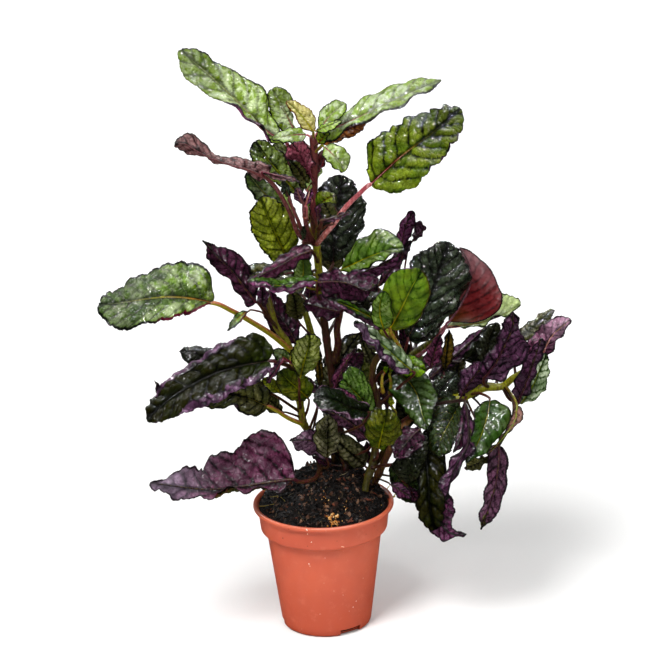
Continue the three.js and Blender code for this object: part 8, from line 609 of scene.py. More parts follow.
        L=[[14.5, 24.8, 201.7], [23.2, 25.6, 203.3], [28.3, 28.6, 204.6], [32.3, 32.2, 205.4], [35.4, 36.4, 205.8], [37.8, 41.0, 205.7], [39.5, 46.0, 205.2], [40.6, 51.2, 204.1], [41.1, 56.6, 202.5], [40.8, 62.2, 200.5], [38.8, 68.5, 197.9]],
        R=[[14.5, 24.8, 201.7], [10.8, 31.5, 206.4], [10.8, 37.2, 209.1], [12.1, 42.7, 210.8], [14.4, 47.9, 211.5], [17.3, 52.9, 211.4], [20.7, 57.4, 210.3], [24.6, 61.4, 208.5], [28.8, 64.8, 205.8], [33.4, 67.5, 202.4], [38.8, 68.5, 197.9]]),
    'leaf_back_08': dict(face='U', cls='glossy', und='purple', petc='green', slot='leaf_glossy_green', node='leaf_back_08', bow=1.5, rnd=0.428,
        pet=[[5.1, 20.5, 129.8], [5.7, 26.1, 130.8], [6.4, 31.7, 131.6], [7.1, 37.6, 132.2]],
        M=[[7.1, 37.6, 132.2], [7.8, 43.7, 132.4], [8.5, 49.8, 132.4], [9.2, 56.0, 131.9], [9.9, 62.1, 131.1], [10.6, 68.1, 129.9], [11.3, 74.0, 128.3], [12.0, 79.8, 126.2], [12.6, 85.4, 123.7], [13.3, 90.8, 120.8], [13.9, 96.0, 117.4]],
        L=[[7.1, 37.6, 132.2], [17.0, 42.6, 131.3], [21.6, 48.3, 130.7], [24.4, 54.0, 130.0], [26.0, 59.9, 129.1], [26.5, 65.8, 128.0], [26.0, 71.7, 126.5], [24.6, 77.7, 124.7], [22.4, 83.7, 122.6], [19.3, 89.7, 120.1], [13.9, 96.0, 117.4]],
        R=[[7.1, 37.6, 132.2], [-0.1, 44.5, 137.4], [-2.6, 51.4, 139.5], [-3.7, 58.3, 140.2], [-3.7, 65.1, 139.8], [-2.7, 71.7, 138.3], [-1.0, 77.9, 135.9], [1.4, 83.6, 132.6], [4.5, 88.7, 128.5], [8.3, 93.1, 123.6], [13.9, 96.0, 117.4]]),
    'leaf_back_09': dict(face='U', cls='dark', und='purple', petc='maroon', slot='leaf_dark_green', node='leaf_back_09', bow=1.5, rnd=0.425,
        pet=[[110.7, -1.5, 157.8], [111.8, 2.7, 159.5], [112.9, 7.0, 161.2], [114.1, 11.4, 162.7]],
        M=[[114.1, 11.4, 162.7], [115.4, 16.3, 164.2], [116.7, 21.4, 165.4], [118.0, 26.5, 166.3], [119.4, 31.6, 166.9], [120.7, 36.8, 167.2], [122.0, 42.0, 167.2], [123.4, 47.1, 166.8], [124.7, 52.2, 166.0], [126.1, 57.3, 164.9], [127.3, 62.3, 163.4]],
        L=[[114.1, 11.4, 162.7], [122.4, 13.7, 167.1], [126.8, 17.9, 169.6], [129.8, 22.7, 171.2], [131.9, 27.9, 172.2], [133.2, 33.4, 172.4], [133.7, 39.1, 172.0], [133.5, 44.9, 170.9], [132.6, 50.8, 169.2], [131.0, 56.5, 166.9], [127.3, 62.3, 163.4]],
        R=[[114.1, 11.4, 162.7], [107.5, 18.3, 164.6], [105.6, 24.2, 166.0], [105.1, 29.7, 167.0], [105.7, 35.1, 167.7], [107.2, 40.3, 168.0], [109.6, 45.2, 167.9], [112.6, 50.0, 167.4], [116.4, 54.5, 166.5], [120.9, 58.7, 165.2], [127.3, 62.3, 163.4]]),
    'leaf_back_10': dict(face='U', cls='greydark', und='mauve', petc='maroon', slot='leaf_deep_grey_green', node='leaf_back_10', bow=1.5, rnd=0.5,
        pet=[[2.4, 20.0, 151.7], [4.5, 25.7, 152.8], [6.7, 31.5, 153.6], [8.9, 37.5, 154.0]],
        M=[[8.9, 37.5, 154.0], [10.9, 42.9, 154.0], [12.8, 48.3, 153.7], [14.8, 53.7, 152.9], [16.8, 59.0, 151.8], [18.7, 64.3, 150.2], [20.5, 69.3, 148.1], [22.3, 74.2, 145.7], [24.1, 78.9, 142.8], [25.7, 83.3, 139.4], [27.2, 87.5, 135.7]],
        L=[[8.9, 37.5, 154.0], [18.7, 40.1, 154.5], [24.0, 44.3, 154.4], [27.8, 49.1, 153.8], [30.6, 54.2, 152.7], [32.3, 59.5, 151.0], [33.2, 65.0, 148.9], [33.3, 70.6, 146.3], [32.5, 76.1, 143.2], [30.9, 81.6, 139.7], [27.2, 87.5, 135.7]],
        R=[[8.9, 37.5, 154.0], [3.6, 45.7, 157.1], [2.6, 52.5, 158.1], [3.0, 58.9, 158.0], [4.4, 64.9, 157.0], [6.6, 70.5, 155.3], [9.5, 75.4, 152.7], [13.0, 79.8, 149.4], [16.9, 83.5, 145.5], [21.3, 86.3, 141.0], [27.2, 87.5, 135.7]]),
    'leaf_back_11': dict(face='U', cls='olive', und='purple', petc='maroon', slot='leaf_olive', node='leaf_back_11', bow=1.5, rnd=0.493,
        pet=[[59.7, 0.9, 181.8], [61.8, 7.3, 186.7], [63.9, 13.8, 191.1], [66.1, 20.9, 195.2]],
        M=[[66.1, 20.9, 195.2], [68.0, 26.9, 198.0], [70.0, 33.0, 200.3], [72.0, 39.3, 202.0], [74.0, 45.7, 203.2], [76.1, 52.1, 203.8], [78.1, 58.6, 203.7], [80.2, 65.1, 203.0], [82.2, 71.5, 201.6], [84.2, 77.7, 199.5], [86.1, 83.6, 196.8]],
        L=[[66.1, 20.9, 195.2], [77.0, 22.6, 201.4], [82.8, 27.3, 205.2], [87.1, 33.1, 207.9], [90.1, 39.7, 209.5], [92.2, 46.8, 210.0], [93.2, 54.2, 209.5], [93.3, 61.7, 207.9], [92.5, 69.2, 205.4], [90.6, 76.5, 201.8], [86.1, 83.6, 196.8]],
        R=[[66.1, 20.9, 195.2], [57.9, 29.7, 198.8], [55.7, 37.1, 201.5], [55.4, 44.2, 203.5], [56.5, 51.0, 204.8], [58.8, 57.6, 205.3], [62.2, 63.8, 205.1], [66.5, 69.7, 204.2], [71.6, 75.1, 202.5], [77.7, 80.0, 200.1], [86.1, 83.6, 196.8]]),
    'leaf_back_12': dict(face='U', cls='dark', und='purple', petc='maroon', slot='leaf_dark_green', node='leaf_back_12', bow=1.5, rnd=0.495,
        pet=[[1.5, 19.4, 158.6], [-0.2, 24.3, 160.0], [-1.9, 29.3, 161.2], [-3.7, 34.4, 162.2]],
        M=[[-3.7, 34.4, 162.2], [-5.3, 38.9, 162.9], [-6.8, 43.3, 163.3], [-8.4, 47.8, 163.4], [-9.9, 52.3, 163.3], [-11.5, 56.7, 163.0], [-13.0, 61.1, 162.3], [-14.6, 65.5, 161.4], [-16.1, 69.8, 160.2], [-17.6, 74.1, 158.6], [-19.0, 78.2, 156.8]],
        L=[[-3.7, 34.4, 162.2], [0.2, 40.4, 166.4], [0.9, 45.7, 168.3], [0.6, 50.9, 169.3], [-0.6, 55.8, 169.5], [-2.4, 60.6, 169.0], [-4.7, 65.0, 167.9], [-7.5, 69.2, 166.1], [-10.7, 72.9, 163.8], [-14.3, 76.1, 160.8], [-19.0, 78.2, 156.8]],
        R=[[-3.7, 34.4, 162.2], [-11.6, 36.7, 162.1], [-15.8, 40.3, 162.2], [-18.8, 44.2, 162.1], [-21.0, 48.3, 162.0], [-22.4, 52.8, 161.6], [-23.1, 57.4, 161.1], [-23.2, 62.2, 160.3], [-22.7, 67.3, 159.4], [-21.7, 72.4, 158.2], [-19.0, 78.2, 156.8]]),
    'leaf_back_13': dict(face='U', cls='dark', und='mauve', petc='maroon', slot='leaf_dark_green', node='leaf_back_13', bow=1.5, rnd=0.567,
        pet=[[-0.3, 1.3, 285.8], [-2.6, 6.2, 287.8], [-5.0, 11.2, 289.5], [-7.4, 16.4, 291.1]],
        M=[[-7.4, 16.4, 291.1], [-9.6, 21.1, 292.1], [-11.9, 25.9, 292.8], [-14.1, 30.7, 293.2], [-16.4, 35.5, 293.2], [-18.6, 40.2, 292.9], [-20.8, 45.0, 292.2], [-23.0, 49.7, 291.1], [-25.2, 54.3, 289.5], [-27.3, 58.7, 287.6], [-29.3, 63.0, 285.3]],
        L=[[-7.4, 16.4, 291.1], [-2.7, 24.3, 292.5], [-2.0, 30.4, 293.4], [-2.7, 36.0, 293.9], [-4.3, 41.2, 294.0], [-6.7, 45.9, 293.6], [-9.8, 50.3, 292.8], [-13.6, 54.3, 291.6], [-17.9, 57.9, 290.0], [-22.8, 61.0, 287.9], [-29.3, 63.0, 285.3]],
        R=[[-7.4, 16.4, 291.1], [-15.9, 17.7, 294.9], [-20.8, 21.2, 296.9], [-24.6, 25.5, 298.0], [-27.7, 30.3, 298.3], [-29.9, 35.5, 297.8], [-31.4, 40.9, 296.7], [-32.3, 46.4, 294.9], [-32.5, 52.0, 292.4], [-31.8, 57.4, 289.3], [-29.3, 63.0, 285.3]]),
    'shoot_1': dict(face='D', cls='dark', und='brown', petc='crimson', slot='underside_brown', node=None, bow=0.8, rnd=0.484,
        pet=[[-29.94, -30.0, 309.35], [-31.0, -32.0, 313.14]],
        M=[[-31.0, -32.0, 313.14], [-28.72, -32.2, 312.5], [-26.45, -32.4, 311.86], [-24.17, -32.6, 311.22], [-21.9, -32.8, 310.57], [-19.62, -33.0, 309.93], [-17.35, -33.2, 309.29], [-15.07, -33.4, 308.65], [-12.8, -33.6, 308.0], [-10.52, -33.8, 307.36], [-8.25, -34.0, 306.72]],
        L=[[-30.9, -31.66, 313.39], [-28.45, -31.23, 313.2], [-26.05, -30.98, 312.89], [-23.68, -30.86, 312.48], [-21.35, -30.87, 311.98], [-19.06, -31.0, 311.38], [-16.8, -31.27, 310.69], [-14.58, -31.66, 309.91], [-12.39, -32.18, 309.03], [-10.24, -32.83, 308.06], [-8.15, -33.66, 306.97]],
        R=[[-31.09, -32.34, 312.9], [-29.0, -33.17, 311.8], [-26.85, -33.82, 310.83], [-24.67, -34.34, 309.95], [-22.45, -34.73, 309.17], [-20.19, -35.0, 308.48], [-17.9, -35.13, 307.89], [-15.57, -35.14, 307.39], [-13.2, -35.02, 306.98], [-10.8, -34.77, 306.66], [-8.34, -34.34, 306.47]]),
    'shoot_2': dict(face='U', cls='wet', und='darkpurple', petc='brown', slot='leaf_wet_dark', node=None, bow=0.8, rnd=0.579, opt={'pet_r': 1.3},
        pet=[[-0.95, 3.1, 255.57], [-6.37, -5.0, 262.95], [-10.9, -14.0, 277.63], [-14.26, -17.0, 287.68], [-15.34, -17.0, 292.19]],
        M=[[-15.34, -17.0, 292.19], [-15.74, -16.7, 293.13], [-16.14, -16.4, 294.08], [-16.53, -16.1, 295.02], [-16.93, -15.8, 295.96], [-17.33, -15.5, 296.91], [-17.73, -15.2, 297.85], [-18.12, -14.9, 298.79], [-18.52, -14.6, 299.73], [-18.92, -14.3, 300.68], [-19.32, -14.0, 301.62]],
        L=[[-14.91, -17.34, 292.48], [-14.5, -17.67, 293.95], [-14.31, -17.82, 295.27], [-14.3, -17.84, 296.49], [-14.44, -17.73, 297.59], [-14.76, -17.5, 298.59], [-15.24, -17.13, 299.47], [-15.89, -16.64, 300.25], [-16.7, -16.02, 300.92], [-17.67, -15.27, 301.49], [-18.88, -14.34, 301.9]],
        R=[[-15.78, -16.66, 291.9], [-16.99, -15.73, 292.32], [-17.96, -14.98, 292.88], [-18.78, -14.36, 293.55], [-19.43, -13.87, 294.33], [-19.91, -13.5, 295.22], [-20.22, -13.27, 296.22], [-20.37, -13.16, 297.33], [-20.35, -13.18, 298.54], [-20.17, -13.33, 299.86], [-19.75, -13.66, 301.33]]),
    'shoot_3': dict(face='D', cls='dark', und='mauve', petc='brown', slot='underside_mauve', node=None, bow=0.8, rnd=0.463, opt={'pet_r': 1.6, 'crumple': 1.4},
        pet=[[-0.95, 3.1, 255.57], [-4.46, -6.0, 265.16], [-5.96, -16.0, 278.75], [-6.41, -19.0, 284.85], [-6.29, -19.0, 288.69]],
        M=[[-6.29, -19.0, 288.69], [-6.86, -18.8, 289.44], [-7.39, -18.6, 290.24], [-7.88, -18.4, 291.08], [-8.34, -18.2, 291.98], [-8.75, -18.0, 292.93], [-9.13, -17.8, 293.93], [-9.47, -17.6, 294.98], [-9.77, -17.4, 296.07], [-10.03, -17.2, 297.22], [-10.26, -17.0, 298.42]],
        L=[[-6.75, -18.66, 288.23], [-8.2, -17.83, 288.17], [-9.44, -17.18, 288.5], [-10.48, -16.66, 289.11], [-11.3, -16.27, 289.95], [-11.89, -16.0, 291.0], [-12.22, -15.87, 292.22], [-12.29, -15.86, 293.57], [-12.09, -15.98, 295.03], [-11.63, -16.23, 296.58], [-10.82, -16.66, 298.2]],
        R=[[-5.83, -19.34, 289.15], [-5.52, -19.77, 290.7], [-5.34, -20.02, 291.97], [-5.29, -20.14, 293.05], [-5.38, -20.13, 294.01], [-5.63, -20.0, 294.86], [-6.05, -19.73, 295.64], [-6.66, -19.34, 296.38], [-7.45, -18.82, 297.11], [-8.44, -18.17, 297.86], [-9.7, -17.34, 298.63]]),
    'shoot_3b': dict(face='D', cls='dark', und='purple', petc='pink', slot='underside_purple', node=None, bow=0.8, rnd=0.542, opt={'pet_r': 1.2, 'crumple': 1.4},
        pet=[[-5.96, -16.0, 278.75], [-5.21, -18.0, 283.86], [-5.13, -19.0, 286.73]],
        M=[[-5.13, -19.0, 286.73], [-4.79, -19.1, 287.9], [-4.45, -19.2, 289.07], [-4.11, -19.3, 290.25], [-3.77, -19.4, 291.42], [-3.43, -19.5, 292.59], [-3.09, -19.6, 293.76], [-2.75, -19.7, 294.93], [-2.41, -19.8, 296.09], [-2.07, -19.9, 297.26], [-1.73, -20.0, 298.43]],
        L=[[-5.45, -18.66, 286.73], [-5.69, -18.13, 287.89], [-5.77, -17.78, 289.06], [-5.74, -17.56, 290.23], [-5.58, -17.47, 291.4], [-5.3, -17.5, 292.57], [-4.9, -17.67, 293.74], [-4.37, -17.96, 294.92], [-3.73, -18.38, 296.09], [-2.97, -18.93, 297.26], [-2.05, -19.66, 298.43]],
        R=[[-4.81, -19.34, 286.73], [-3.88, -20.07, 287.91], [-3.12, -20.62, 289.09], [-2.48, -21.04, 290.26], [-1.96, -21.33, 291.43], [-1.56, -21.5, 292.6], [-1.28, -21.53, 293.77], [-1.13, -21.44, 294.94], [-1.09, -21.22, 296.1], [-1.17, -20.87, 297.27], [-1.42, -20.34, 298.43]]),
    'shoot_5': dict(face='D', cls='dark', und='darkpurple', petc='maroon', slot='underside_dark_purple', node=None, bow=0.8, rnd=0.576, opt={'pet_r': 1.0},
        pet=[[1.63, 2.6, 258.92], [2.4, -12.0, 269.47], [3.76, -22.0, 277.78]],
        M=[[3.76, -22.0, 277.78], [3.14, -22.3, 279.17], [2.68, -22.6, 280.52], [2.38, -22.9, 281.84], [2.23, -23.2, 283.13], [2.25, -23.5, 284.39], [2.42, -23.8, 285.62], [2.75, -24.1, 286.81], [3.24, -24.4, 287.98], [3.88, -24.7, 289.11], [4.68, -25.0, 290.21]],
        L=[[3.48, -21.66, 277.53], [2.33, -21.33, 278.48], [1.44, -21.18, 279.66], [0.81, -21.16, 280.98], [0.47, -21.27, 282.42], [0.43, -21.5, 283.93], [0.7, -21.87, 285.44], [1.27, -22.36, 286.88], [2.11, -22.98, 288.2], [3.17, -23.73, 289.36], [4.45, -24.66, 290.31]],
        R=[[4.03, -22.34, 278.04], [3.95, -23.27, 279.85], [3.91, -24.02, 281.39], [3.94, -24.64, 282.71], [4.0, -25.13, 283.85], [4.07, -25.5, 284.86], [4.14, -25.73, 285.8], [4.23, -25.84, 286.75], [4.36, -25.82, 287.76], [4.59, -25.67, 288.86], [4.92, -25.34, 290.11]]),
    'shoot_6': dict(face='D', cls='dark', und='darkpurple', petc='maroon', slot='underside_dark_purple', node=None, bow=0.8, rnd=0.437, opt={'pet_r': 1.2},
        pet=[[2.4, -12.0, 269.47], [3.75, -23.0, 278.1]],
        M=[[3.75, -23.0, 278.1], [5.39, -23.4, 278.47], [7.11, -23.8, 278.92], [8.92, -24.2, 279.43], [10.82, -24.6, 280.03], [12.8, -25.0, 280.69], [14.87, -25.4, 281.43], [17.03, -25.8, 282.24], [19.27, -26.2, 283.13], [21.6, -26.6, 284.09], [24.01, -27.0, 285.12]],
        L=[[3.72, -22.66, 278.27], [5.27, -22.43, 278.96], [6.91, -22.38, 279.63], [8.64, -22.46, 280.3], [10.46, -22.67, 280.97], [12.4, -23.0, 281.66], [14.46, -23.47, 282.36], [16.63, -24.06, 283.07], [18.93, -24.78, 283.8], [21.35, -25.63, 284.54], [23.92, -26.66, 285.28]],
        R=[[3.79, -23.34, 277.93], [5.51, -24.37, 277.99], [7.32, -25.22, 278.21], [9.21, -25.94, 278.58], [11.18, -26.53, 279.08], [13.21, -27.0, 279.72], [15.29, -27.33, 280.5], [17.43, -27.54, 281.42], [19.61, -27.62, 282.46], [21.84, -27.57, 283.64], [24.09, -27.34, 284.96]]),
    'shoot_7': dict(face='U', cls='silver', und='purple', petc='green', slot='leaf_silver_green', node=None, bow=0.8, rnd=0.42, opt={'pet_r': 0.8},
        pet=[[-0.89, 3.1, 257.53], [-3.17, -4.0, 266.42], [-3.62, -9.0, 273.23]],
        M=[[-3.62, -9.0, 273.23], [-3.78, -9.2, 275.23], [-3.9, -9.4, 277.21], [-3.97, -9.6, 279.18], [-3.98, -9.8, 281.13], [-3.95, -10.0, 283.07], [-3.87, -10.2, 284.99], [-3.74, -10.4, 286.89], [-3.56, -10.6, 288.78], [-3.34, -10.8, 290.65], [-3.06, -11.0, 292.51]],
        L=[[-3.37, -9.34, 273.36], [-3.07, -10.17, 275.59], [-2.85, -10.82, 277.72], [-2.68, -11.34, 279.76], [-2.55, -11.73, 281.74], [-2.47, -12.0, 283.65], [-2.44, -12.13, 285.51], [-2.46, -12.14, 287.32], [-2.52, -12.02, 289.09], [-2.63, -11.77, 290.84], [-2.81, -11.34, 292.57]],
        R=[[-3.87, -8.66, 273.09], [-4.5, -8.23, 274.86], [-4.95, -7.98, 276.71], [-5.25, -7.86, 278.6], [-5.42, -7.87, 280.53], [-5.43, -8.0, 282.49], [-5.3, -8.27, 284.47], [-5.02, -8.66, 286.46], [-4.6, -9.18, 288.46], [-4.04, -9.83, 290.46], [-3.31, -10.66, 292.44]]),
    'shoot_8': dict(face='D', cls='dark', und='purple', petc='crimson', slot='underside_purple', node=None, bow=0.8, rnd=0.537, opt={'pet_r': 0.9},
        pet=[[-12.2, -6.0, 174.32], [-18.14, -20.0, 185.76], [-22.35, -26.0, 190.12]],
        M=[[-22.35, -26.0, 190.12], [-23.16, -26.4, 189.06], [-24.03, -26.8, 187.91], [-24.97, -27.2, 186.66], [-25.98, -27.6, 185.33], [-27.05, -28.0, 183.9], [-28.18, -28.4, 182.39], [-29.38, -28.8, 180.78], [-30.65, -29.2, 179.09], [-31.98, -29.6, 177.3], [-33.38, -30.0, 175.42]],
        L=[[-22.05, -25.66, 189.76], [-22.3, -25.43, 188.03], [-22.77, -25.38, 186.39], [-23.43, -25.46, 184.8], [-24.26, -25.67, 183.25], [-25.28, -26.0, 181.75], [-26.47, -26.47, 180.3], [-27.85, -27.06, 178.9], [-29.4, -27.78, 177.55], [-31.13, -28.63, 176.25], [-33.08, -29.66, 175.05]],
        R=[[-22.65, -26.34, 190.48], [-24.02, -27.37, 190.09], [-25.29, -28.22, 189.42], [-26.51, -28.94, 188.52], [-27.69, -29.53, 187.4], [-28.81, -30.0, 186.05], [-29.89, -30.33, 184.47], [-30.91, -30.54, 182.66], [-31.89, -30.62, 180.62], [-32.83, -30.57, 178.35], [-33.67, -30.34, 175.79]]),
    'shoot_10': dict(face='U', cls='dark', und='purple', petc='maroon', slot='leaf_dark_green', node=None, bow=0.8, rnd=0.469,
        pet=[[1.56, 2.0, 234.85], [5.96, 20.0, 227.94], [9.28, 38.0, 224.41]],
        M=[[9.28, 38.0, 224.41], [9.45, 38.2, 225.95], [9.62, 38.4, 227.48], [9.79, 38.6, 229.02], [9.97, 38.8, 230.56], [10.14, 39.0, 232.1], [10.31, 39.2, 233.63], [10.48, 39.4, 235.17], [10.65, 39.6, 236.7], [10.82, 39.8, 238.24], [11.0, 40.0, 239.77]],
        L=[[10.56, 37.66, 224.37], [13.11, 37.23, 225.83], [14.99, 36.98, 227.31], [16.38, 36.86, 228.81], [17.28, 36.87, 230.33], [17.7, 37.0, 231.85], [17.62, 37.27, 233.4], [17.06, 37.66, 234.95], [16.02, 38.18, 236.53], [14.48, 38.83, 238.12], [12.28, 39.66, 239.73]],
        R=[[7.99, 38.34, 224.45], [5.78, 39.17, 226.06], [4.24, 39.82, 227.66], [3.2, 40.34, 229.23], [2.63, 40.73, 230.8], [2.56, 41.0, 232.34], [2.98, 41.13, 233.87], [3.89, 41.14, 235.38], [5.28, 41.02, 236.88], [7.16, 40.77, 238.36], [9.71, 40.34, 239.82]]),
    'shoot_11': dict(face='D', cls='dark', und='darkpurple', petc='maroon', slot='underside_dark_purple', node=None, bow=0.8, rnd=0.453,
        pet=[[45.5, 2.0, 186.91], [39.96, 14.0, 204.88], [38.56, 20.0, 219.55]],
        M=[[38.56, 20.0, 219.55], [40.72, 20.2, 222.55], [42.87, 20.4, 225.55], [45.02, 20.6, 228.54], [47.17, 20.8, 231.53], [49.32, 21.0, 234.52], [51.46, 21.2, 237.5], [53.61, 21.4, 240.48], [55.75, 21.6, 243.46], [57.89, 21.8, 246.44], [60.03, 22.0, 249.42]],
        L=[[38.05, 20.34, 219.84], [39.27, 21.17, 223.38], [40.74, 21.82, 226.76], [42.41, 22.34, 230.03], [44.27, 22.73, 233.19], [46.33, 23.0, 236.24], [48.57, 23.13, 239.17], [51.01, 23.14, 241.98], [53.63, 23.02, 244.69], [56.45, 22.77, 247.27], [59.52, 22.34, 249.71]],
        R=[[39.07, 19.66, 219.26], [42.17, 19.23, 221.72], [45.0, 18.98, 224.33], [47.63, 18.86, 227.05], [50.07, 18.87, 229.87], [52.31, 19.0, 232.8], [54.35, 19.27, 235.84], [56.2, 19.66, 238.99], [57.86, 20.18, 242.24], [59.33, 20.83, 245.61], [60.53, 21.66, 249.12]]),
    'shoot_12': dict(face='U', cls='black', und='purple', petc='dark', slot='leaf_dark_green', node=None, bow=0.8, rnd=0.569,
        pet=[[30.2, 13.0, 193.48], [30.46, 12.0, 205.9]],
        M=[[30.46, 12.0, 205.9], [30.17, 12.0, 206.91], [29.88, 12.0, 207.92], [29.59, 12.0, 208.93], [29.3, 12.0, 209.94], [29.01, 12.0, 210.96], [28.72, 12.0, 211.97], [28.42, 12.0, 212.98], [28.13, 12.0, 213.99], [27.84, 12.0, 214.99], [27.55, 12.0, 216.0]],
        L=[[31.28, 11.66, 206.28], [32.49, 11.03, 207.99], [33.27, 10.58, 209.51], [33.75, 10.26, 210.88], [33.92, 10.07, 212.11], [33.78, 10.0, 213.19], [33.34, 10.07, 214.12], [32.58, 10.26, 214.91], [31.52, 10.58, 215.57], [30.15, 11.03, 216.07], [28.36, 11.66, 216.38]],
        R=[[29.65, 12.34, 205.52], [27.85, 12.97, 205.83], [26.48, 13.42, 206.33], [25.42, 13.74, 206.98], [24.66, 13.93, 207.78], [24.22, 14.0, 208.72], [24.08, 13.93, 209.8], [24.26, 13.74, 211.03], [24.74, 13.42, 212.4], [25.53, 12.97, 213.92], [26.74, 12.34, 215.62]]),
    'shoot_13': dict(face='D', cls='dark', und='darkpurple', petc='maroon', slot='underside_dark_purple', node=None, bow=0.8, rnd=0.463, opt={'pet_r': 2.3},
        pet=[[9.38, 8.0, 174.44], [12.2, 7.0, 186.17], [11.88, 7.0, 197.58], [14.01, 7.0, 206.86], [14.83, 7.0, 214.16]],
        M=[[14.83, 7.0, 214.16], [15.04, 7.1, 215.12], [15.26, 7.2, 216.08], [15.47, 7.3, 217.03], [15.69, 7.4, 217.99], [15.9, 7.5, 218.94], [16.12, 7.6, 219.89], [16.33, 7.7, 220.85], [16.55, 7.8, 221.8], [16.76, 7.9, 222.76], [16.98, 8.0, 223.71]],
        L=[[14.21, 7.34, 214.2], [13.28, 8.07, 215.22], [12.67, 8.62, 216.22], [12.29, 9.04, 217.21], [12.15, 9.33, 218.18], [12.25, 9.5, 219.15], [12.59, 9.53, 220.1], [13.16, 9.44, 221.03], [13.96, 9.22, 221.95], [15.0, 8.87, 222.86], [16.36, 8.34, 223.75]],
        R=[[15.45, 6.66, 214.13], [16.81, 6.13, 215.02], [17.85, 5.78, 215.93], [18.65, 5.56, 216.85], [19.22, 5.47, 217.79], [19.55, 5.5, 218.74], [19.65, 5.67, 219.7], [19.51, 5.96, 220.67], [19.14, 6.38, 221.66], [18.53, 6.93, 222.66], [17.6, 7.66, 223.67]]),
    'shoot_14': dict(face='D', cls='dark', und='darkpurple', petc='maroon', slot='underside_dark_purple', node=None, bow=0.8, rnd=0.489,
        pet=[[8.76, 10.0, 173.72], [12.09, 14.0, 177.53]],
        M=[[12.09, 14.0, 177.53], [13.33, 14.1, 178.81], [14.57, 14.2, 180.08], [15.81, 14.3, 181.35], [17.05, 14.4, 182.63], [18.29, 14.5, 183.9], [19.53, 14.6, 185.17], [20.77, 14.7, 186.45], [22.0, 14.8, 187.72], [23.24, 14.9, 188.99], [24.48, 15.0, 190.26]],
        L=[[11.49, 14.34, 178.06], [11.61, 15.07, 180.31], [12.04, 15.62, 182.28], [12.71, 16.04, 184.06], [13.61, 16.33, 185.63], [14.73, 16.5, 187.01], [16.09, 16.53, 188.18], [17.67, 16.44, 189.15], [19.48, 16.22, 189.92], [21.52, 15.87, 190.49], [23.87, 15.34, 190.79]],
        R=[[12.7, 13.66, 177.0], [15.05, 13.13, 177.31], [17.1, 12.78, 177.88], [18.91, 12.56, 178.66], [20.49, 12.47, 179.63], [21.85, 12.5, 180.8], [22.97, 12.67, 182.17], [23.86, 12.96, 183.75], [24.52, 13.38, 185.52], [24.96, 13.93, 187.49], [25.08, 14.66, 189.73]]),
    'shoot_15': dict(face='U', cls='greydark', und='darkpurple', petc='maroon', slot='leaf_deep_grey_green', node=None, bow=0.8, rnd=0.55,
        pet=[[37.32, 0.0, 161.0], [34.5, 3.0, 172.11]],
        M=[[34.5, 3.0, 172.11], [33.78, 3.0, 173.96], [33.07, 3.0, 175.8], [32.35, 3.0, 177.64], [31.64, 3.0, 179.48], [30.92, 3.0, 181.32], [30.21, 3.0, 183.15], [29.49, 3.0, 184.99], [28.78, 3.0, 186.82], [28.07, 3.0, 188.66], [27.36, 3.0, 190.49]],
        L=[[34.99, 2.66, 172.46], [35.17, 2.03, 174.93], [35.1, 1.58, 177.23], [34.85, 1.26, 179.39], [34.41, 1.07, 181.42], [33.79, 1.0, 183.32], [32.98, 1.07, 185.09], [31.99, 1.26, 186.73], [30.82, 1.58, 188.24], [29.46, 2.03, 189.62], [27.85, 2.66, 190.83]],
        R=[[34.01, 3.34, 171.77], [32.39, 3.97, 172.98], [31.02, 4.42, 174.37], [29.85, 4.74, 175.88], [28.85, 4.93, 177.53], [28.04, 5.0, 179.31], [27.42, 4.93, 181.21], [26.99, 4.74, 183.24], [26.74, 4.42, 185.4], [26.68, 3.97, 187.69], [26.87, 3.34, 190.15]]),
    'shoot_16': dict(face='U', cls='black', und='purple', petc='dark', slot='leaf_dark_green', node=None, bow=0.8, rnd=0.544,
        pet=[[46.56, 5.0, 140.43], [43.71, 9.0, 149.88]],
        M=[[43.71, 9.0, 149.88], [43.45, 9.2, 152.4], [43.19, 9.4, 154.92], [42.93, 9.6, 157.43], [42.67, 9.8, 159.94], [42.41, 10.0, 162.46], [42.15, 10.2, 164.97], [41.9, 10.4, 167.48], [41.64, 10.6, 169.98], [41.38, 10.8, 172.49], [41.12, 11.0, 174.99]],
        L=[[44.77, 8.66, 150.12], [46.48, 8.23, 153.1], [47.63, 7.98, 155.94], [48.37, 7.86, 158.69], [48.72, 7.87, 161.34], [48.67, 8.0, 163.89], [48.2, 8.27, 166.35], [47.33, 8.66, 168.72], [46.07, 9.18, 170.99], [44.4, 9.83, 173.18], [42.19, 10.66, 175.23]],
        R=[[42.64, 9.34, 149.63], [40.41, 10.17, 151.7], [38.74, 10.82, 153.89], [37.47, 11.34, 156.17], [36.61, 11.73, 158.55], [36.15, 12.0, 161.02], [36.09, 12.13, 163.58], [36.45, 12.14, 166.23], [37.2, 12.02, 168.97], [38.35, 11.77, 171.8], [40.06, 11.34, 174.75]]),
    'shoot_16b': dict(face='U', cls='vivid', und='purple', petc='ruddy', slot='leaf_lime', node=None, bow=0.8, rnd=0.423, opt={'pet_r': 1.0},
        pet=[[39.63, -5.0, 158.11], [39.07, -9.0, 167.06], [40.44, -9.0, 172.39]],
        M=[[40.44, -9.0, 172.39], [40.64, -9.0, 172.85], [40.84, -9.0, 173.32], [41.04, -9.0, 173.78], [41.24, -9.0, 174.24], [41.43, -9.0, 174.7], [41.63, -9.0, 175.17], [41.83, -9.0, 175.63], [42.03, -9.0, 176.09], [42.23, -9.0, 176.55], [42.42, -9.0, 177.01]],
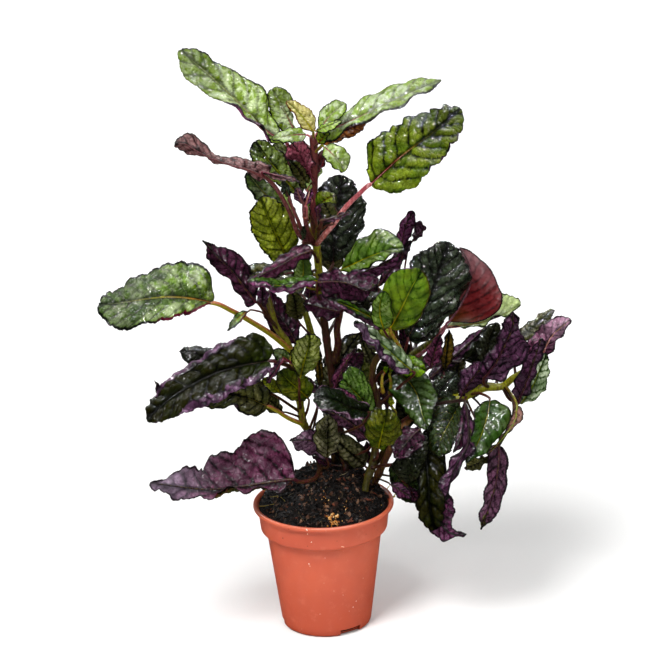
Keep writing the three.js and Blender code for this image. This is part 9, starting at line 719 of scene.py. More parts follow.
        L=[[40.73, -9.34, 172.37], [41.45, -9.97, 172.81], [42.02, -10.42, 173.25], [42.49, -10.74, 173.7], [42.84, -10.93, 174.15], [43.1, -11.0, 174.61], [43.24, -10.93, 175.07], [43.28, -10.74, 175.54], [43.21, -10.42, 176.02], [43.03, -9.97, 176.51], [42.71, -9.34, 177.0]],
        R=[[40.16, -8.66, 172.41], [39.84, -8.03, 172.9], [39.66, -7.58, 173.38], [39.59, -7.26, 173.86], [39.62, -7.07, 174.33], [39.77, -7.0, 174.8], [40.02, -7.07, 175.26], [40.38, -7.26, 175.71], [40.85, -7.58, 176.16], [41.42, -8.03, 176.6], [42.14, -8.66, 177.03]]),
    'shoot_16c': dict(face='U', cls='vivid', und='purple', petc='green', slot='leaf_lime', node=None, bow=0.8, rnd=0.511, opt={'pet_r': 1.0},
        pet=[[44.03, -5.0, 157.29], [44.71, -9.0, 166.21], [44.22, -9.0, 172.94]],
        M=[[44.22, -9.0, 172.94], [44.48, -9.0, 173.33], [44.74, -9.0, 173.72], [45.0, -9.0, 174.12], [45.26, -9.0, 174.51], [45.52, -9.0, 174.9], [45.77, -9.0, 175.3], [46.03, -9.0, 175.69], [46.29, -9.0, 176.08], [46.55, -9.0, 176.48], [46.81, -9.0, 176.87]],
        L=[[44.47, -9.34, 172.87], [45.2, -9.97, 173.13], [45.8, -10.42, 173.43], [46.29, -10.74, 173.76], [46.7, -10.93, 174.11], [47.0, -11.0, 174.49], [47.21, -10.93, 174.9], [47.33, -10.74, 175.33], [47.35, -10.42, 175.79], [47.27, -9.97, 176.28], [47.06, -9.34, 176.8]],
        R=[[43.97, -8.66, 173.01], [43.76, -8.03, 173.53], [43.68, -7.58, 174.02], [43.7, -7.26, 174.48], [43.81, -7.07, 174.91], [44.02, -7.0, 175.32], [44.33, -7.07, 175.7], [44.74, -7.26, 176.05], [45.24, -7.58, 176.38], [45.83, -8.03, 176.68], [46.56, -8.66, 176.94]]),
    'shoot_17': dict(face='U', cls='dark', und='purple', petc='maroon', slot='leaf_dark_green', node=None, bow=0.8, rnd=0.551,
        pet=[[83.5, 4.0, 149.14], [86.57, 12.0, 156.86]],
        M=[[86.57, 12.0, 156.86], [86.78, 12.0, 158.62], [87.0, 12.0, 160.38], [87.21, 12.0, 162.14], [87.43, 12.0, 163.9], [87.64, 12.0, 165.65], [87.85, 12.0, 167.41], [88.06, 12.0, 169.16], [88.28, 12.0, 170.92], [88.49, 12.0, 172.67], [88.7, 12.0, 174.42]],
        L=[[87.52, 11.66, 156.84], [89.48, 11.03, 158.56], [90.95, 10.58, 160.29], [92.06, 10.26, 162.03], [92.81, 10.07, 163.77], [93.2, 10.0, 165.52], [93.23, 10.07, 167.28], [92.9, 10.26, 169.05], [92.22, 10.58, 170.82], [91.18, 11.03, 172.6], [89.65, 11.66, 174.4]],
        R=[[85.62, 12.34, 156.88], [84.09, 12.97, 158.68], [83.04, 13.42, 160.47], [82.36, 13.74, 162.25], [82.03, 13.93, 164.02], [82.07, 14.0, 165.78], [82.46, 13.93, 167.54], [83.22, 13.74, 169.28], [84.33, 13.42, 171.01], [85.8, 12.97, 172.74], [87.76, 12.34, 174.44]]),
    'shoot_18': dict(face='D', cls='dark', und='darkpurple', petc='maroon', slot='underside_dark_purple', node=None, bow=0.8, rnd=0.443,
        pet=[[51.64, 6.0, 171.11], [53.97, 13.0, 179.91]],
        M=[[53.97, 13.0, 179.91], [53.87, 13.0, 181.4], [53.77, 13.0, 182.89], [53.67, 13.0, 184.38], [53.57, 13.0, 185.86], [53.48, 13.0, 187.35], [53.38, 13.0, 188.83], [53.28, 13.0, 190.31], [53.18, 13.0, 191.8], [53.08, 13.0, 193.28], [52.98, 13.0, 194.76]],
        L=[[53.44, 13.34, 179.75], [52.37, 13.97, 180.95], [51.57, 14.42, 182.23], [50.97, 14.74, 183.56], [50.58, 14.93, 184.96], [50.38, 15.0, 186.42], [50.38, 14.93, 187.93], [50.58, 14.74, 189.51], [50.99, 14.42, 191.14], [51.59, 13.97, 192.83], [52.46, 13.34, 194.6]],
        R=[[54.49, 12.66, 180.07], [55.37, 12.03, 181.86], [55.97, 11.58, 183.55], [56.36, 11.26, 185.19], [56.56, 11.07, 186.76], [56.57, 11.0, 188.28], [56.37, 11.07, 189.73], [55.97, 11.26, 191.12], [55.37, 11.58, 192.45], [54.58, 12.03, 193.73], [53.51, 12.66, 194.92]]),
    'shoot_19': dict(face='U', cls='wetveined', und='darkpurple', petc='maroon', slot='leaf_dark_green', node=None, bow=0.8, rnd=0.549,
        pet=[[30.81, -10.0, 108.67], [37.87, -8.0, 109.67], [44.33, -4.0, 108.5]],
        M=[[44.33, -4.0, 108.5], [45.85, -3.8, 105.13], [47.48, -3.6, 101.89], [49.21, -3.4, 98.79], [51.05, -3.2, 95.81], [52.99, -3.0, 92.96], [55.04, -2.8, 90.25], [57.2, -2.6, 87.67], [59.47, -2.4, 85.22], [61.84, -2.2, 82.9], [64.33, -2.0, 80.72]],
        L=[[43.07, -4.34, 107.97], [42.29, -4.77, 103.54], [42.38, -5.02, 99.31], [43.13, -5.14, 95.3], [44.5, -5.13, 91.58], [46.48, -5.0, 88.23], [49.0, -4.73, 85.33], [52.02, -4.34, 82.94], [55.47, -3.82, 81.13], [59.27, -3.17, 79.96], [63.45, -2.34, 79.66]],
        R=[[45.6, -3.66, 109.02], [49.42, -2.83, 106.72], [52.58, -2.18, 104.48], [55.29, -1.66, 102.27], [57.59, -1.27, 100.04], [59.51, -1.0, 97.7], [61.09, -0.87, 95.18], [62.38, -0.86, 92.4], [63.47, -0.98, 89.31], [64.41, -1.23, 85.85], [65.2, -1.66, 81.78]]),
    'shoot_20': dict(face='U', cls='black', und='purple', petc='dark', slot='leaf_dark_green', node=None, bow=0.8, rnd=0.552,
        pet=[[46.26, 5.0, 93.64], [55.06, 3.0, 88.64]],
        M=[[55.06, 3.0, 88.64], [55.73, 3.0, 89.93], [56.39, 3.0, 91.23], [57.06, 3.0, 92.53], [57.72, 3.0, 93.82], [58.38, 3.0, 95.12], [59.05, 3.0, 96.41], [59.71, 3.0, 97.7], [60.37, 3.0, 99.0], [61.03, 3.0, 100.29], [61.7, 3.0, 101.58]],
        L=[[55.81, 2.66, 88.31], [57.87, 2.03, 89.02], [59.53, 1.58, 89.89], [60.9, 1.26, 90.88], [61.99, 1.07, 91.99], [62.8, 1.0, 93.22], [63.32, 1.07, 94.58], [63.55, 1.26, 96.06], [63.5, 1.58, 97.65], [63.17, 2.03, 99.37], [62.45, 2.66, 101.26]],
        R=[[54.31, 3.34, 88.96], [53.59, 3.97, 90.85], [53.25, 4.42, 92.57], [53.21, 4.74, 94.17], [53.44, 4.93, 95.65], [53.96, 5.0, 97.01], [54.77, 4.93, 98.24], [55.87, 4.74, 99.35], [57.24, 4.42, 100.34], [58.9, 3.97, 101.21], [60.95, 3.34, 101.9]]),
    'shoot_21': dict(face='D', cls='dark', und='darkpurple', petc='maroon', slot='underside_dark_purple', node=None, bow=0.8, rnd=0.451,
        pet=[[31.54, 4.0, 95.94], [30.45, 6.0, 102.07]],
        M=[[30.45, 6.0, 102.07], [30.24, 6.0, 103.94], [30.02, 6.0, 105.82], [29.81, 6.0, 107.69], [29.6, 6.0, 109.56], [29.39, 6.0, 111.43], [29.17, 6.0, 113.3], [28.96, 6.0, 115.17], [28.75, 6.0, 117.04], [28.54, 6.0, 118.9], [28.32, 6.0, 120.77]],
        L=[[30.02, 6.34, 101.87], [29.02, 6.97, 103.39], [28.25, 7.42, 105.01], [27.63, 7.74, 106.7], [27.17, 7.93, 108.46], [26.88, 8.0, 110.29], [26.75, 7.93, 112.2], [26.78, 7.74, 114.18], [26.97, 7.42, 116.23], [27.33, 6.97, 118.36], [27.9, 6.34, 120.57]],
        R=[[30.88, 5.66, 102.26], [31.45, 5.03, 104.5], [31.8, 4.58, 106.63], [31.99, 4.26, 108.68], [32.02, 4.07, 110.67], [31.89, 4.0, 112.57], [31.59, 4.07, 114.4], [31.14, 4.26, 116.16], [30.52, 4.58, 117.84], [29.75, 5.03, 119.45], [28.75, 5.66, 120.96]]),
    'shoot_24': dict(face='D', cls='dark', und='darkpurple', petc='maroon', slot='underside_dark_purple', node=None, bow=0.8, rnd=0.491,
        pet=[[0.99, 6.0, 213.63], [-5.21, 8.0, 215.79]],
        M=[[-5.21, 8.0, 215.79], [-5.05, 8.0, 216.92], [-4.89, 8.0, 218.04], [-4.73, 8.0, 219.17], [-4.57, 8.0, 220.29], [-4.41, 8.0, 221.42], [-4.25, 8.0, 222.54], [-4.1, 8.0, 223.66], [-3.94, 8.0, 224.78], [-3.78, 8.0, 225.91], [-3.62, 8.0, 227.03]],
        L=[[-5.84, 8.34, 215.77], [-6.85, 8.97, 216.87], [-7.54, 9.42, 217.97], [-7.98, 9.74, 219.07], [-8.18, 9.93, 220.19], [-8.14, 10.0, 221.31], [-7.86, 9.93, 222.44], [-7.34, 9.74, 223.57], [-6.58, 9.42, 224.71], [-5.58, 8.97, 225.86], [-4.25, 8.34, 227.01]],
        R=[[-4.57, 7.66, 215.81], [-3.25, 7.03, 216.97], [-2.25, 6.58, 218.12], [-1.49, 6.26, 219.26], [-0.97, 6.07, 220.4], [-0.69, 6.0, 221.52], [-0.65, 6.07, 222.64], [-0.86, 6.26, 223.75], [-1.3, 6.58, 224.86], [-1.98, 7.03, 225.95], [-2.99, 7.66, 227.04]]),
    'shoot_25': dict(face='D', cls='dark', und='purple', petc='maroon', slot='underside_purple', node=None, bow=0.8, rnd=0.544,
        pet=[[-26.39, 3.0, 201.59], [-34.67, 0.0, 215.56]],
        M=[[-34.67, 0.0, 215.56], [-34.62, 0.0, 216.95], [-34.57, 0.0, 218.34], [-34.53, 0.0, 219.73], [-34.48, 0.0, 221.12], [-34.43, 0.0, 222.51], [-34.38, 0.0, 223.9], [-34.33, 0.0, 225.28], [-34.28, 0.0, 226.67], [-34.23, 0.0, 228.05], [-34.18, 0.0, 229.44]],
        L=[[-35.32, 0.34, 215.47], [-36.46, 0.97, 216.67], [-37.26, 1.42, 217.93], [-37.82, 1.74, 219.23], [-38.14, 1.93, 220.57], [-38.22, 2.0, 221.94], [-38.04, 1.93, 223.34], [-37.62, 1.74, 224.79], [-36.97, 1.42, 226.26], [-36.06, 0.97, 227.78], [-34.83, 0.34, 229.34]],
        R=[[-34.03, -0.34, 215.66], [-32.79, -0.97, 217.23], [-31.89, -1.42, 218.75], [-31.24, -1.74, 220.23], [-30.82, -1.93, 221.68], [-30.65, -2.0, 223.08], [-30.72, -1.93, 224.45], [-31.04, -1.74, 225.78], [-31.6, -1.42, 227.07], [-32.41, -0.97, 228.33], [-33.54, -0.34, 229.53]]),
    'shoot_27': dict(face='U', cls='pale', und='purple', petc='green', slot='leaf_silver_green', node=None, bow=0.8, rnd=0.543,
        pet=[[0.01, 6.0, 308.44], [-14.02, 8.0, 313.43]],
        M=[[-14.02, 8.0, 313.43], [-15.05, 8.0, 313.98], [-16.08, 8.0, 314.53], [-17.11, 8.0, 315.07], [-18.14, 8.0, 315.62], [-19.17, 8.0, 316.16], [-20.2, 8.0, 316.71], [-21.23, 8.0, 317.25], [-22.26, 8.0, 317.8], [-23.29, 8.0, 318.34], [-24.32, 8.0, 318.89]],
        L=[[-13.73, 7.66, 314.12], [-14.23, 7.03, 315.92], [-14.87, 6.58, 317.37], [-15.63, 6.26, 318.56], [-16.49, 6.07, 319.49], [-17.46, 6.0, 320.17], [-18.55, 6.07, 320.58], [-19.74, 6.26, 320.74], [-21.05, 6.58, 320.64], [-22.46, 7.03, 320.28], [-24.03, 7.66, 319.57]],
        R=[[-14.31, 8.34, 312.75], [-15.87, 8.97, 312.04], [-17.29, 9.42, 311.68], [-18.6, 9.74, 311.58], [-19.8, 9.93, 311.73], [-20.88, 10.0, 312.15], [-21.86, 9.93, 312.82], [-22.72, 9.74, 313.76], [-23.48, 9.42, 314.95], [-24.12, 8.97, 316.41], [-24.61, 8.34, 318.21]]),
    'shoot_28': dict(face='U', cls='pale', und='purple', petc='green', slot='leaf_silver_green', node=None, bow=0.8, rnd=0.559, opt={'pet_r': 1.0},
        pet=[[-2.17, 2.0, 256.63], [-6.31, -6.0, 265.22], [-10.39, -10.0, 273.76]],
        M=[[-10.39, -10.0, 273.76], [-11.24, -9.8, 276.05], [-12.09, -9.6, 278.34], [-12.94, -9.4, 280.62], [-13.79, -9.2, 282.9], [-14.64, -9.0, 285.19], [-15.49, -8.8, 287.47], [-16.33, -8.6, 289.75], [-17.18, -8.4, 292.02], [-18.03, -8.2, 294.3], [-18.88, -8.0, 296.57]],
        L=[[-10.13, -10.34, 273.97], [-10.51, -10.77, 276.65], [-11.02, -11.02, 279.21], [-11.63, -11.14, 281.69], [-12.33, -11.13, 284.09], [-13.13, -11.0, 286.41], [-14.03, -10.73, 288.64], [-15.02, -10.34, 290.8], [-16.11, -9.82, 292.88], [-17.3, -9.17, 294.88], [-18.62, -8.34, 296.78]],
        R=[[-10.64, -9.66, 273.55], [-11.97, -8.83, 275.45], [-13.16, -8.18, 277.46], [-14.25, -7.66, 279.55], [-15.25, -7.27, 281.72], [-16.15, -7.0, 283.97], [-16.95, -6.87, 286.29], [-17.65, -6.86, 288.69], [-18.26, -6.98, 291.16], [-18.76, -7.23, 293.72], [-19.13, -7.66, 296.37]]),
    'shoot_9': dict(face='U', cls='wet', und='purple', petc='maroon', slot='leaf_wet_dark', node=None, bow=0.8, rnd=0.433, opt={'pet_r': 1.0},
        pet=[[-0.95, 3.1, 255.57], [-7.04, -12.0, 262.65]],
        M=[[-7.04, -12.0, 262.65], [-7.07, -12.3, 263.66], [-7.11, -12.6, 264.66], [-7.14, -12.9, 265.67], [-7.17, -13.2, 266.67], [-7.2, -13.5, 267.68], [-7.24, -13.8, 268.68], [-7.27, -14.1, 269.68], [-7.3, -14.4, 270.68], [-7.33, -14.7, 271.68], [-7.37, -15.0, 272.68]],
        L=[[-6.7, -12.34, 262.78], [-6.12, -13.27, 264.02], [-5.71, -14.02, 265.19], [-5.42, -14.64, 266.31], [-5.26, -15.13, 267.38], [-5.23, -15.5, 268.41], [-5.33, -15.73, 269.39], [-5.55, -15.84, 270.32], [-5.9, -15.82, 271.2], [-6.38, -15.67, 272.04], [-7.03, -15.34, 272.81]],
        R=[[-7.38, -11.66, 262.53], [-8.03, -11.33, 263.3], [-8.51, -11.18, 264.14], [-8.86, -11.16, 265.03], [-9.08, -11.27, 265.96], [-9.18, -11.5, 266.95], [-9.15, -11.87, 267.97], [-8.99, -12.36, 269.05], [-8.7, -12.98, 270.17], [-8.29, -13.73, 271.33], [-7.7, -14.66, 272.56]]),
}

SOIL_BITS = [(6.27, -37.23, 70, 2.1, 1.0), (14.1, -28.1, 4, 0.5, 0.6), (14.85, -24.67, 3, 0.4, 0.45), (1.57, -26.48, 5, 0.8, 0.45), (1.12, -20.24, 7, 1.3, 0.5), (2.93, -23.15, 5, 0.9, 0.45), (-10.37, -22.36, 3, 0.6, 0.5), (-4.66, -23.03, 3, 0.8, 0.35), (12.71, -32.16, 3, 0.6, 0.4), (10.52, -22.77, 3, 0.8, 0.3), (21.92, 49.74, 4, 0.8, 0.7), (37.14, -13.91, 4, 0.8, 0.35), (-15.33, -54.33, 0, 1, 1)]
THIN_ROOTS = [[(40.67, 19.63, 0.4), (42.17, 26.17, 0.8), (44.29, 31.03, 1.4), (45.05, 34.33, 2.0)], [(44.91, 11.03, 0.4), (47.06, 17.47, 1.0), (48.0, 25.71, 1.6), (47.59, 32.45, 2.4)], [(46.25, 12.58, 0.3), (43.56, 9.49, 0.5), (41.41, 1.24, 0.4)], [(-39.59, 19.31, 0.5), (-34.04, -4.64, 0.6), (-27.55, -10.43, 0.5), (-23.73, -16.99, 0.3)], [(-41.93, -0.94, 0.4), (-36.65, -10.85, 0.8), (-31.46, -13.88, 0.5)]]
PALE_SPECKS = [(-103.95, 81.95, 0.35, 0.9), (-104.66, 77.89, 0.3, 0.7), (-101.61, 72.18, 0.35, 0.5), (-74.53, 67.93, 1.1, 0.22), (-73.18, 67.45, 0.6, 0.2), (-106.89, 54.29, 0.5, 0.5), (-105.98, 52.88, 0.4, 0.4), (-81.32, 34.34, 0.38, 0.3), (-53.17, 23.43, 0.4, 0.4), (-57.12, 19.68, 0.42, 0.4), (-92.07, 40.61, 0.2, 0.2), (-70.87, 30.46, 0.2, 0.2), (-90.16, 59.09, 0.2, 0.25), (-44.94, 38.69, 0.25, 0.25), (-62.48, 17.52, 0.2, 0.2), (-98.17, 17.57, 0.4, 0.2), (-124.07, 4.32, 0.25, 0.25), (-88.67, 81.44, 0.25, 0.2)]
DARK_SPECKS = [(-129.61, 71.73, 0.4, 0.45), (-119.75, 80.88, 0.25, 0.25), (-108.89, 82.97, 0.3, 0.25), (-100.66, 82.77, 0.25, 0.2), (-105.49, 69.07, 0.3, 0.3), (-128.4, 66.19, 0.2, 0.2), (-50.53, 72.81, 0.3, 0.25), (-41.04, 76.19, 0.3, 0.25), (-35.8, 71.91, 0.2, 0.2), (-79.11, 72.38, 0.2, 0.2), (-120.46, 33.78, 0.2, 0.15)]

# ---------------------------------------------------------------- small maths
def cr(A, t):
    """Smooth curve through evenly spaced stations A at parameters t (0..1)."""
    A = np.asarray(A, float)
    n = len(A)
    f = np.clip(np.asarray(t, float), 0, 1) * (n - 1)
    i = np.minimum(f.astype(int), n - 2)
    g = (f - i)[:, None]
    ext = np.vstack([2 * A[0] - A[1], A, 2 * A[-1] - A[-2]])
    p0, p1, p2, p3 = ext[i], ext[i + 1], ext[i + 2], ext[i + 3]
    return 0.5 * (2 * p1 + (p2 - p0) * g + (2 * p0 - 5 * p1 + 4 * p2 - p3) * g**2 + (3 * p1 - p0 - 3 * p2 + p3) * g**3)


def line(P, n):
    """n points at equal distances along a smooth line through P."""
    P = np.asarray(P, float)
    d = np.r_[0, np.cumsum(np.linalg.norm(np.diff(P, axis=0), axis=1))]
    keep = np.r_[True, np.diff(d) > 1e-6]
    P, d = P[keep], d[keep]
    if len(P) == 1:
        return np.repeat(P, n, 0)
    t = d / d[-1]
    m = np.zeros_like(P)
    for k in range(len(P)):
        if k == 0:
            m[k] = (P[1] - P[0]) / (t[1] - t[0])
        elif k == len(P) - 1:
            m[k] = (P[-1] - P[-2]) / (t[-1] - t[-2])
        else:
            a = (P[k] - P[k - 1]) / (t[k] - t[k - 1])
            b = (P[k + 1] - P[k]) / (t[k + 1] - t[k])
            wa, wb = t[k + 1] - t[k], t[k] - t[k - 1]
            m[k] = (a * wa + b * wb) / (wa + wb)
    s = np.linspace(0, 1, n * 4)
    k = np.clip(np.searchsorted(t, s, side="right") - 1, 0, len(P) - 2)
    h = (t[k + 1] - t[k])
    u = ((s - t[k]) / h)[:, None]
    h = h[:, None]
    Q = (2 * u**3 - 3 * u**2 + 1) * P[k] + (u**3 - 2 * u**2 + u) * h * m[k] + (3 * u**2 - 2 * u**3) * P[k + 1] + (u**3 - u**2) * h * m[k + 1]
    d = np.r_[0, np.cumsum(np.linalg.norm(np.diff(Q, axis=0), axis=1))]
    w = np.linspace(0, d[-1], n)
    return np.stack([np.interp(w, d, Q[:, j]) for j in range(3)], -1)


def hash2(ix, iy, seed):
    h = np.sin(ix * 127.1 + iy * 311.7 + seed * 74.7) * 43758.5453
    return h - np.floor(h)


def noise2(x, y, seed=0):
    """Smooth noise, about -1..1."""
    ix, iy = np.floor(x), np.floor(y)
    fx, fy = x - ix, y - iy
    fx = fx * fx * (3 - 2 * fx)
    fy = fy * fy * (3 - 2 * fy)
    a, b = hash2(ix, iy, seed), hash2(ix + 1, iy, seed)
    c, d = hash2(ix, iy + 1, seed), hash2(ix + 1, iy + 1, seed)
    return 2 * ((a * (1 - fx) + b * fx) * (1 - fy) + (c * (1 - fx) + d * fx) * fy) - 1


def bubbles(x, y, seed=0):
    """Rounded cells on a jittered grid: 1 at a cell's middle, 0 on the border between two."""
    ix, iy = np.floor(x), np.floor(y)
    f1 = np.full(np.shape(x), 9.0)
    f2 = np.full(np.shape(x), 9.0)
    for dx in (-1, 0, 1):
        for dy in (-1, 0, 1):
            cx, cy = ix + dx, iy + dy
            px = cx + 0.5 + 0.75 * (hash2(cx, cy, seed) - 0.5)
            py = cy + 0.5 + 0.75 * (hash2(cx, cy, seed + 13) - 0.5)
            d = np.sqrt((x - px) ** 2 + (y - py) ** 2)
            f2 = np.minimum(f2, np.maximum(f1, d))
            f1 = np.minimum(f1, d)
    return np.clip((f2 - f1) / 0.55, 0, 1)


def fract(x):
    return x - np.floor(x)


def unit(a):
    return a / np.maximum(np.linalg.norm(a, axis=-1, keepdims=True), 1e-9)


def lin(hexa):
    """An sRGB hex colour as linear rgba."""
    out = []
    for i in (1, 3, 5):
        c = int(hexa[i:i + 2], 16) / 255
        out.append(c / 12.92 if c <= 0.04045 else ((c + 0.055) / 1.055) ** 2.4)
    return (*out, 1.0)


# ---------------------------------------------------------------- meshes
def make_object(name, verts, faces, mats, mat_index=None, attrs=None, smooth=True):
    me = bpy.data.meshes.new(name)
    me.from_pydata([tuple(v) for v in np.asarray(verts, float)], [], [tuple(int(i) for i in f) for f in faces])
    for m in mats:
        me.materials.append(m)
    if mat_index is not None:
        me.polygons.foreach_set("material_index", np.asarray(mat_index, np.int32))
    me.polygons.foreach_set("use_smooth", np.full(len(me.polygons), smooth))
    for key, val in (attrs or {}).items():
        a = me.attributes.new(key, "FLOAT", "POINT")
        a.data.foreach_set("value", np.asarray(val, np.float32))
    me.update()
    ob = bpy.data.objects.new(name, me)
    SC.collection.objects.link(ob)
    return ob


def tube(P, radius, sides, close=True):
    """Vertices and faces of a closed round bar along P with a radius at each point."""
    P = np.asarray(P, float)
    n = len(P)
    T = unit(np.gradient(P, axis=0))
    ref = np.array([0.3, 0.9, 0.2])
    B = np.zeros_like(P)
    prev = unit(np.cross(T[0], ref))
    for i in range(n):
        b = prev - T[i] * (prev @ T[i])
        b = unit(b)
        B[i] = b
        prev = b
    C = np.cross(T, B)
    a = np.linspace(0, 2 * np.pi, sides, endpoint=False)
    ring = B[:, None] * np.cos(a)[None, :, None] + C[:, None] * np.sin(a)[None, :, None]
    V = P[:, None] + ring * np.asarray(radius)[:, None, None]
    V = V.reshape(-1, 3)
    F = []
    for i in range(n - 1):
        for k in range(sides):
            k2 = (k + 1) % sides
            F.append((i * sides + k, i * sides + k2, (i + 1) * sides + k2, (i + 1) * sides + k))
    if close:
        V = np.vstack([V, P[0] - T[0] * radius[0] * 0.4, P[-1] + T[-1] * radius[-1] * 0.5])
        a0, a1 = len(V) - 2, len(V) - 1
        for k in range(sides):
            k2 = (k + 1) % sides
            F.append((a0, k2, k))
            F.append((a1, (n - 1) * sides + k, (n - 1) * sides + k2))
    return V, F


# ---------------------------------------------------------------- node materials
class Graph:
    """Short names for building a node material."""

    def __init__(self, name):
        self.mat = bpy.data.materials.new(name)
        self.mat.use_nodes = True
        self.t = self.mat.node_tree
        self.bsdf = self.t.nodes["Principled BSDF"]

    def new(self, kind, **props):
        n = self.t.nodes.new(kind)
        for k, v in props.items():
            setattr(n, k, v)
        return n

    def put(self, socket, value):
        if isinstance(value, bpy.types.NodeSocket):
            self.t.links.new(value, socket)
        else:
            socket.default_value = value

    def attr(self, name):
        return self.new("ShaderNodeAttribute", attribute_name=name).outputs["Fac"]

    def math(self, op, a, b=None, c=None):
        n = self.new("ShaderNodeMath", operation=op)
        self.put(n.inputs[0], a)
        if b is not None:
            self.put(n.inputs[1], b)
        if c is not None:
            self.put(n.inputs[2], c)
        return n.outputs[0]

    def step(self, x, lo, hi, a=0.0, b=1.0):
        n = self.new("ShaderNodeMapRange", interpolation_type="SMOOTHSTEP")
        self.put(n.inputs["Value"], x)
        n.inputs["From Min"].default_value = lo
        n.inputs["From Max"].default_value = hi
        n.inputs["To Min"].default_value = a
        n.inputs["To Max"].default_value = b
        return n.outputs[0]

    def mix(self, fac, a, b):
        n = self.new("ShaderNodeMix", data_type="RGBA")
        self.put(n.inputs[0], fac)
        self.put(n.inputs[6], a)
        self.put(n.inputs[7], b)
        return n.outputs[2]

    def ramp(self, fac, stops):
        n = self.new("ShaderNodeValToRGB")
        e = n.color_ramp.elements
        while len(e) < len(stops):
            e.new(0.5)
        for el, (pos, col) in zip(e, stops):
            el.position = pos
            el.color = col
        self.put(n.inputs[0], fac)
        return n.outputs[0]

    def coords(self):
        return self.new("ShaderNodeTexCoord").outputs["Object"]

    def noise(self, scale, detail=3.0, rough=0.55, vector=None, distortion=0.0):
        n = self.new("ShaderNodeTexNoise")
        n.inputs["Scale"].default_value = scale
        n.inputs["Detail"].default_value = detail
        n.inputs["Roughness"].default_value = rough
        n.inputs["Distortion"].default_value = distortion
        self.put(n.inputs["Vector"], vector if vector is not None else self.coords())
        return n.outputs["Fac"]

    def bump(self, height, strength, distance, normal=None):
        n = self.new("ShaderNodeBump")
        n.inputs["Strength"].default_value = strength
        n.inputs["Distance"].default_value = distance
        self.put(n.inputs["Height"], height)
        if normal is not None:
            self.put(n.inputs["Normal"], normal)
        return n.outputs[0]

    def out(self, color=None, rough=None, normal=None, painted_sheen_share_or_coat_normal=None, **more):
        if color is not None:
            self.put(self.bsdf.inputs["Base Color"], color)
        if rough is not None:
            self.put(self.bsdf.inputs["Roughness"], rough)
        if normal is not None:
            self.put(self.bsdf.inputs["Normal"], normal)
        if normal is not None and more.get("Coat_Weight"):
            self.put(self.bsdf.inputs["Coat Normal"], painted_sheen_share_or_coat_normal if painted_sheen_share_or_coat_normal is not None else normal)
        for k, v in more.items():
            self.put(self.bsdf.inputs[k.replace("_", " ")], v)
        return self.mat


def veins(g):
    """Side veins and cross veins from the leaf's own coordinates: 0 on a vein, growing to 1 inside a cell."""
    phi = g.attr("phi")
    k = g.math("FLOOR", phi)
    d1 = g.math("MULTIPLY", g.math("PINGPONG", phi, 0.5), 2.0)
    psi = g.math("ADD", g.attr("psi"), g.math("FRACT", g.math("MULTIPLY", k, 0.618034)))
    d2 = g.math("MULTIPLY", g.math("PINGPONG", psi, 0.5), 2.0)
    return d1, d2


def toned(g, col, hh, contrast, grain, patch):
    """The leaf's tone, lighter on the raised cells and darker in the hollows as painted light and shade, with patches
    and a fine mottling.
    """
    n = g.new("ShaderNodeHueSaturation")
    g.put(n.inputs["Color"], col)
    # painted light and shade: the tone rises with the relief height, darker in the hollows, lighter on the raised cells
    relief = g.step(hh, -0.02, 0.75, 1.0 - 1.5 * contrast, 1.0 + 0.95 * contrast)
    v = g.math("MULTIPLY", g.math("ADD", g.attr("rnd"), 0.5), relief)
    v = g.math("MULTIPLY", v, g.step(g.noise(620.0, 2.0, 0.6), 0.36, 0.64, 1.0 - 0.5 * grain, 1.0 + 0.4 * grain))
    v = g.math("MULTIPLY", v, g.step(g.noise(120.0, 2.0, 0.5), 0.36, 0.64, 1.0 - 0.9 * patch, 1.0 + 0.7 * patch))
    g.put(n.inputs["Value"], v)
    return n.outputs[0]


def net_of(g, scale, warp=0.0016):
    """A net of small cells: 0 along the fine veins between them, growing to about 0.5 in their middle."""
    nz = g.new("ShaderNodeTexNoise")
    nz.inputs["Scale"].default_value = 240.0
    nz.inputs["Detail"].default_value = 1.0
    g.put(nz.inputs["Vector"], g.coords())
    mv = g.new("ShaderNodeVectorMath", operation="MULTIPLY_ADD")
    g.put(mv.inputs[0], nz.outputs["Color"])
    mv.inputs[1].default_value = (warp, warp, warp)
    g.put(mv.inputs[2], g.coords())
    vo = g.new("ShaderNodeTexVoronoi", feature="DISTANCE_TO_EDGE")
    vo.inputs["Scale"].default_value = scale
    g.put(vo.inputs["Vector"], mv.outputs[0])
    return vo.outputs["Distance"]


def leaf_lin(hexa, gain=0.80, sat=1.18):
    """A leaf colour: the studio's white surround lightens dark leaves, so they are set a little deeper."""
    r, g, b, _ = lin(hexa)
    m = 0.3 * r + 0.6 * g + 0.1 * b
    return (*(max(0.0, (m + (c - m) * sat) * gain) for c in (r, g, b)), 1.0)


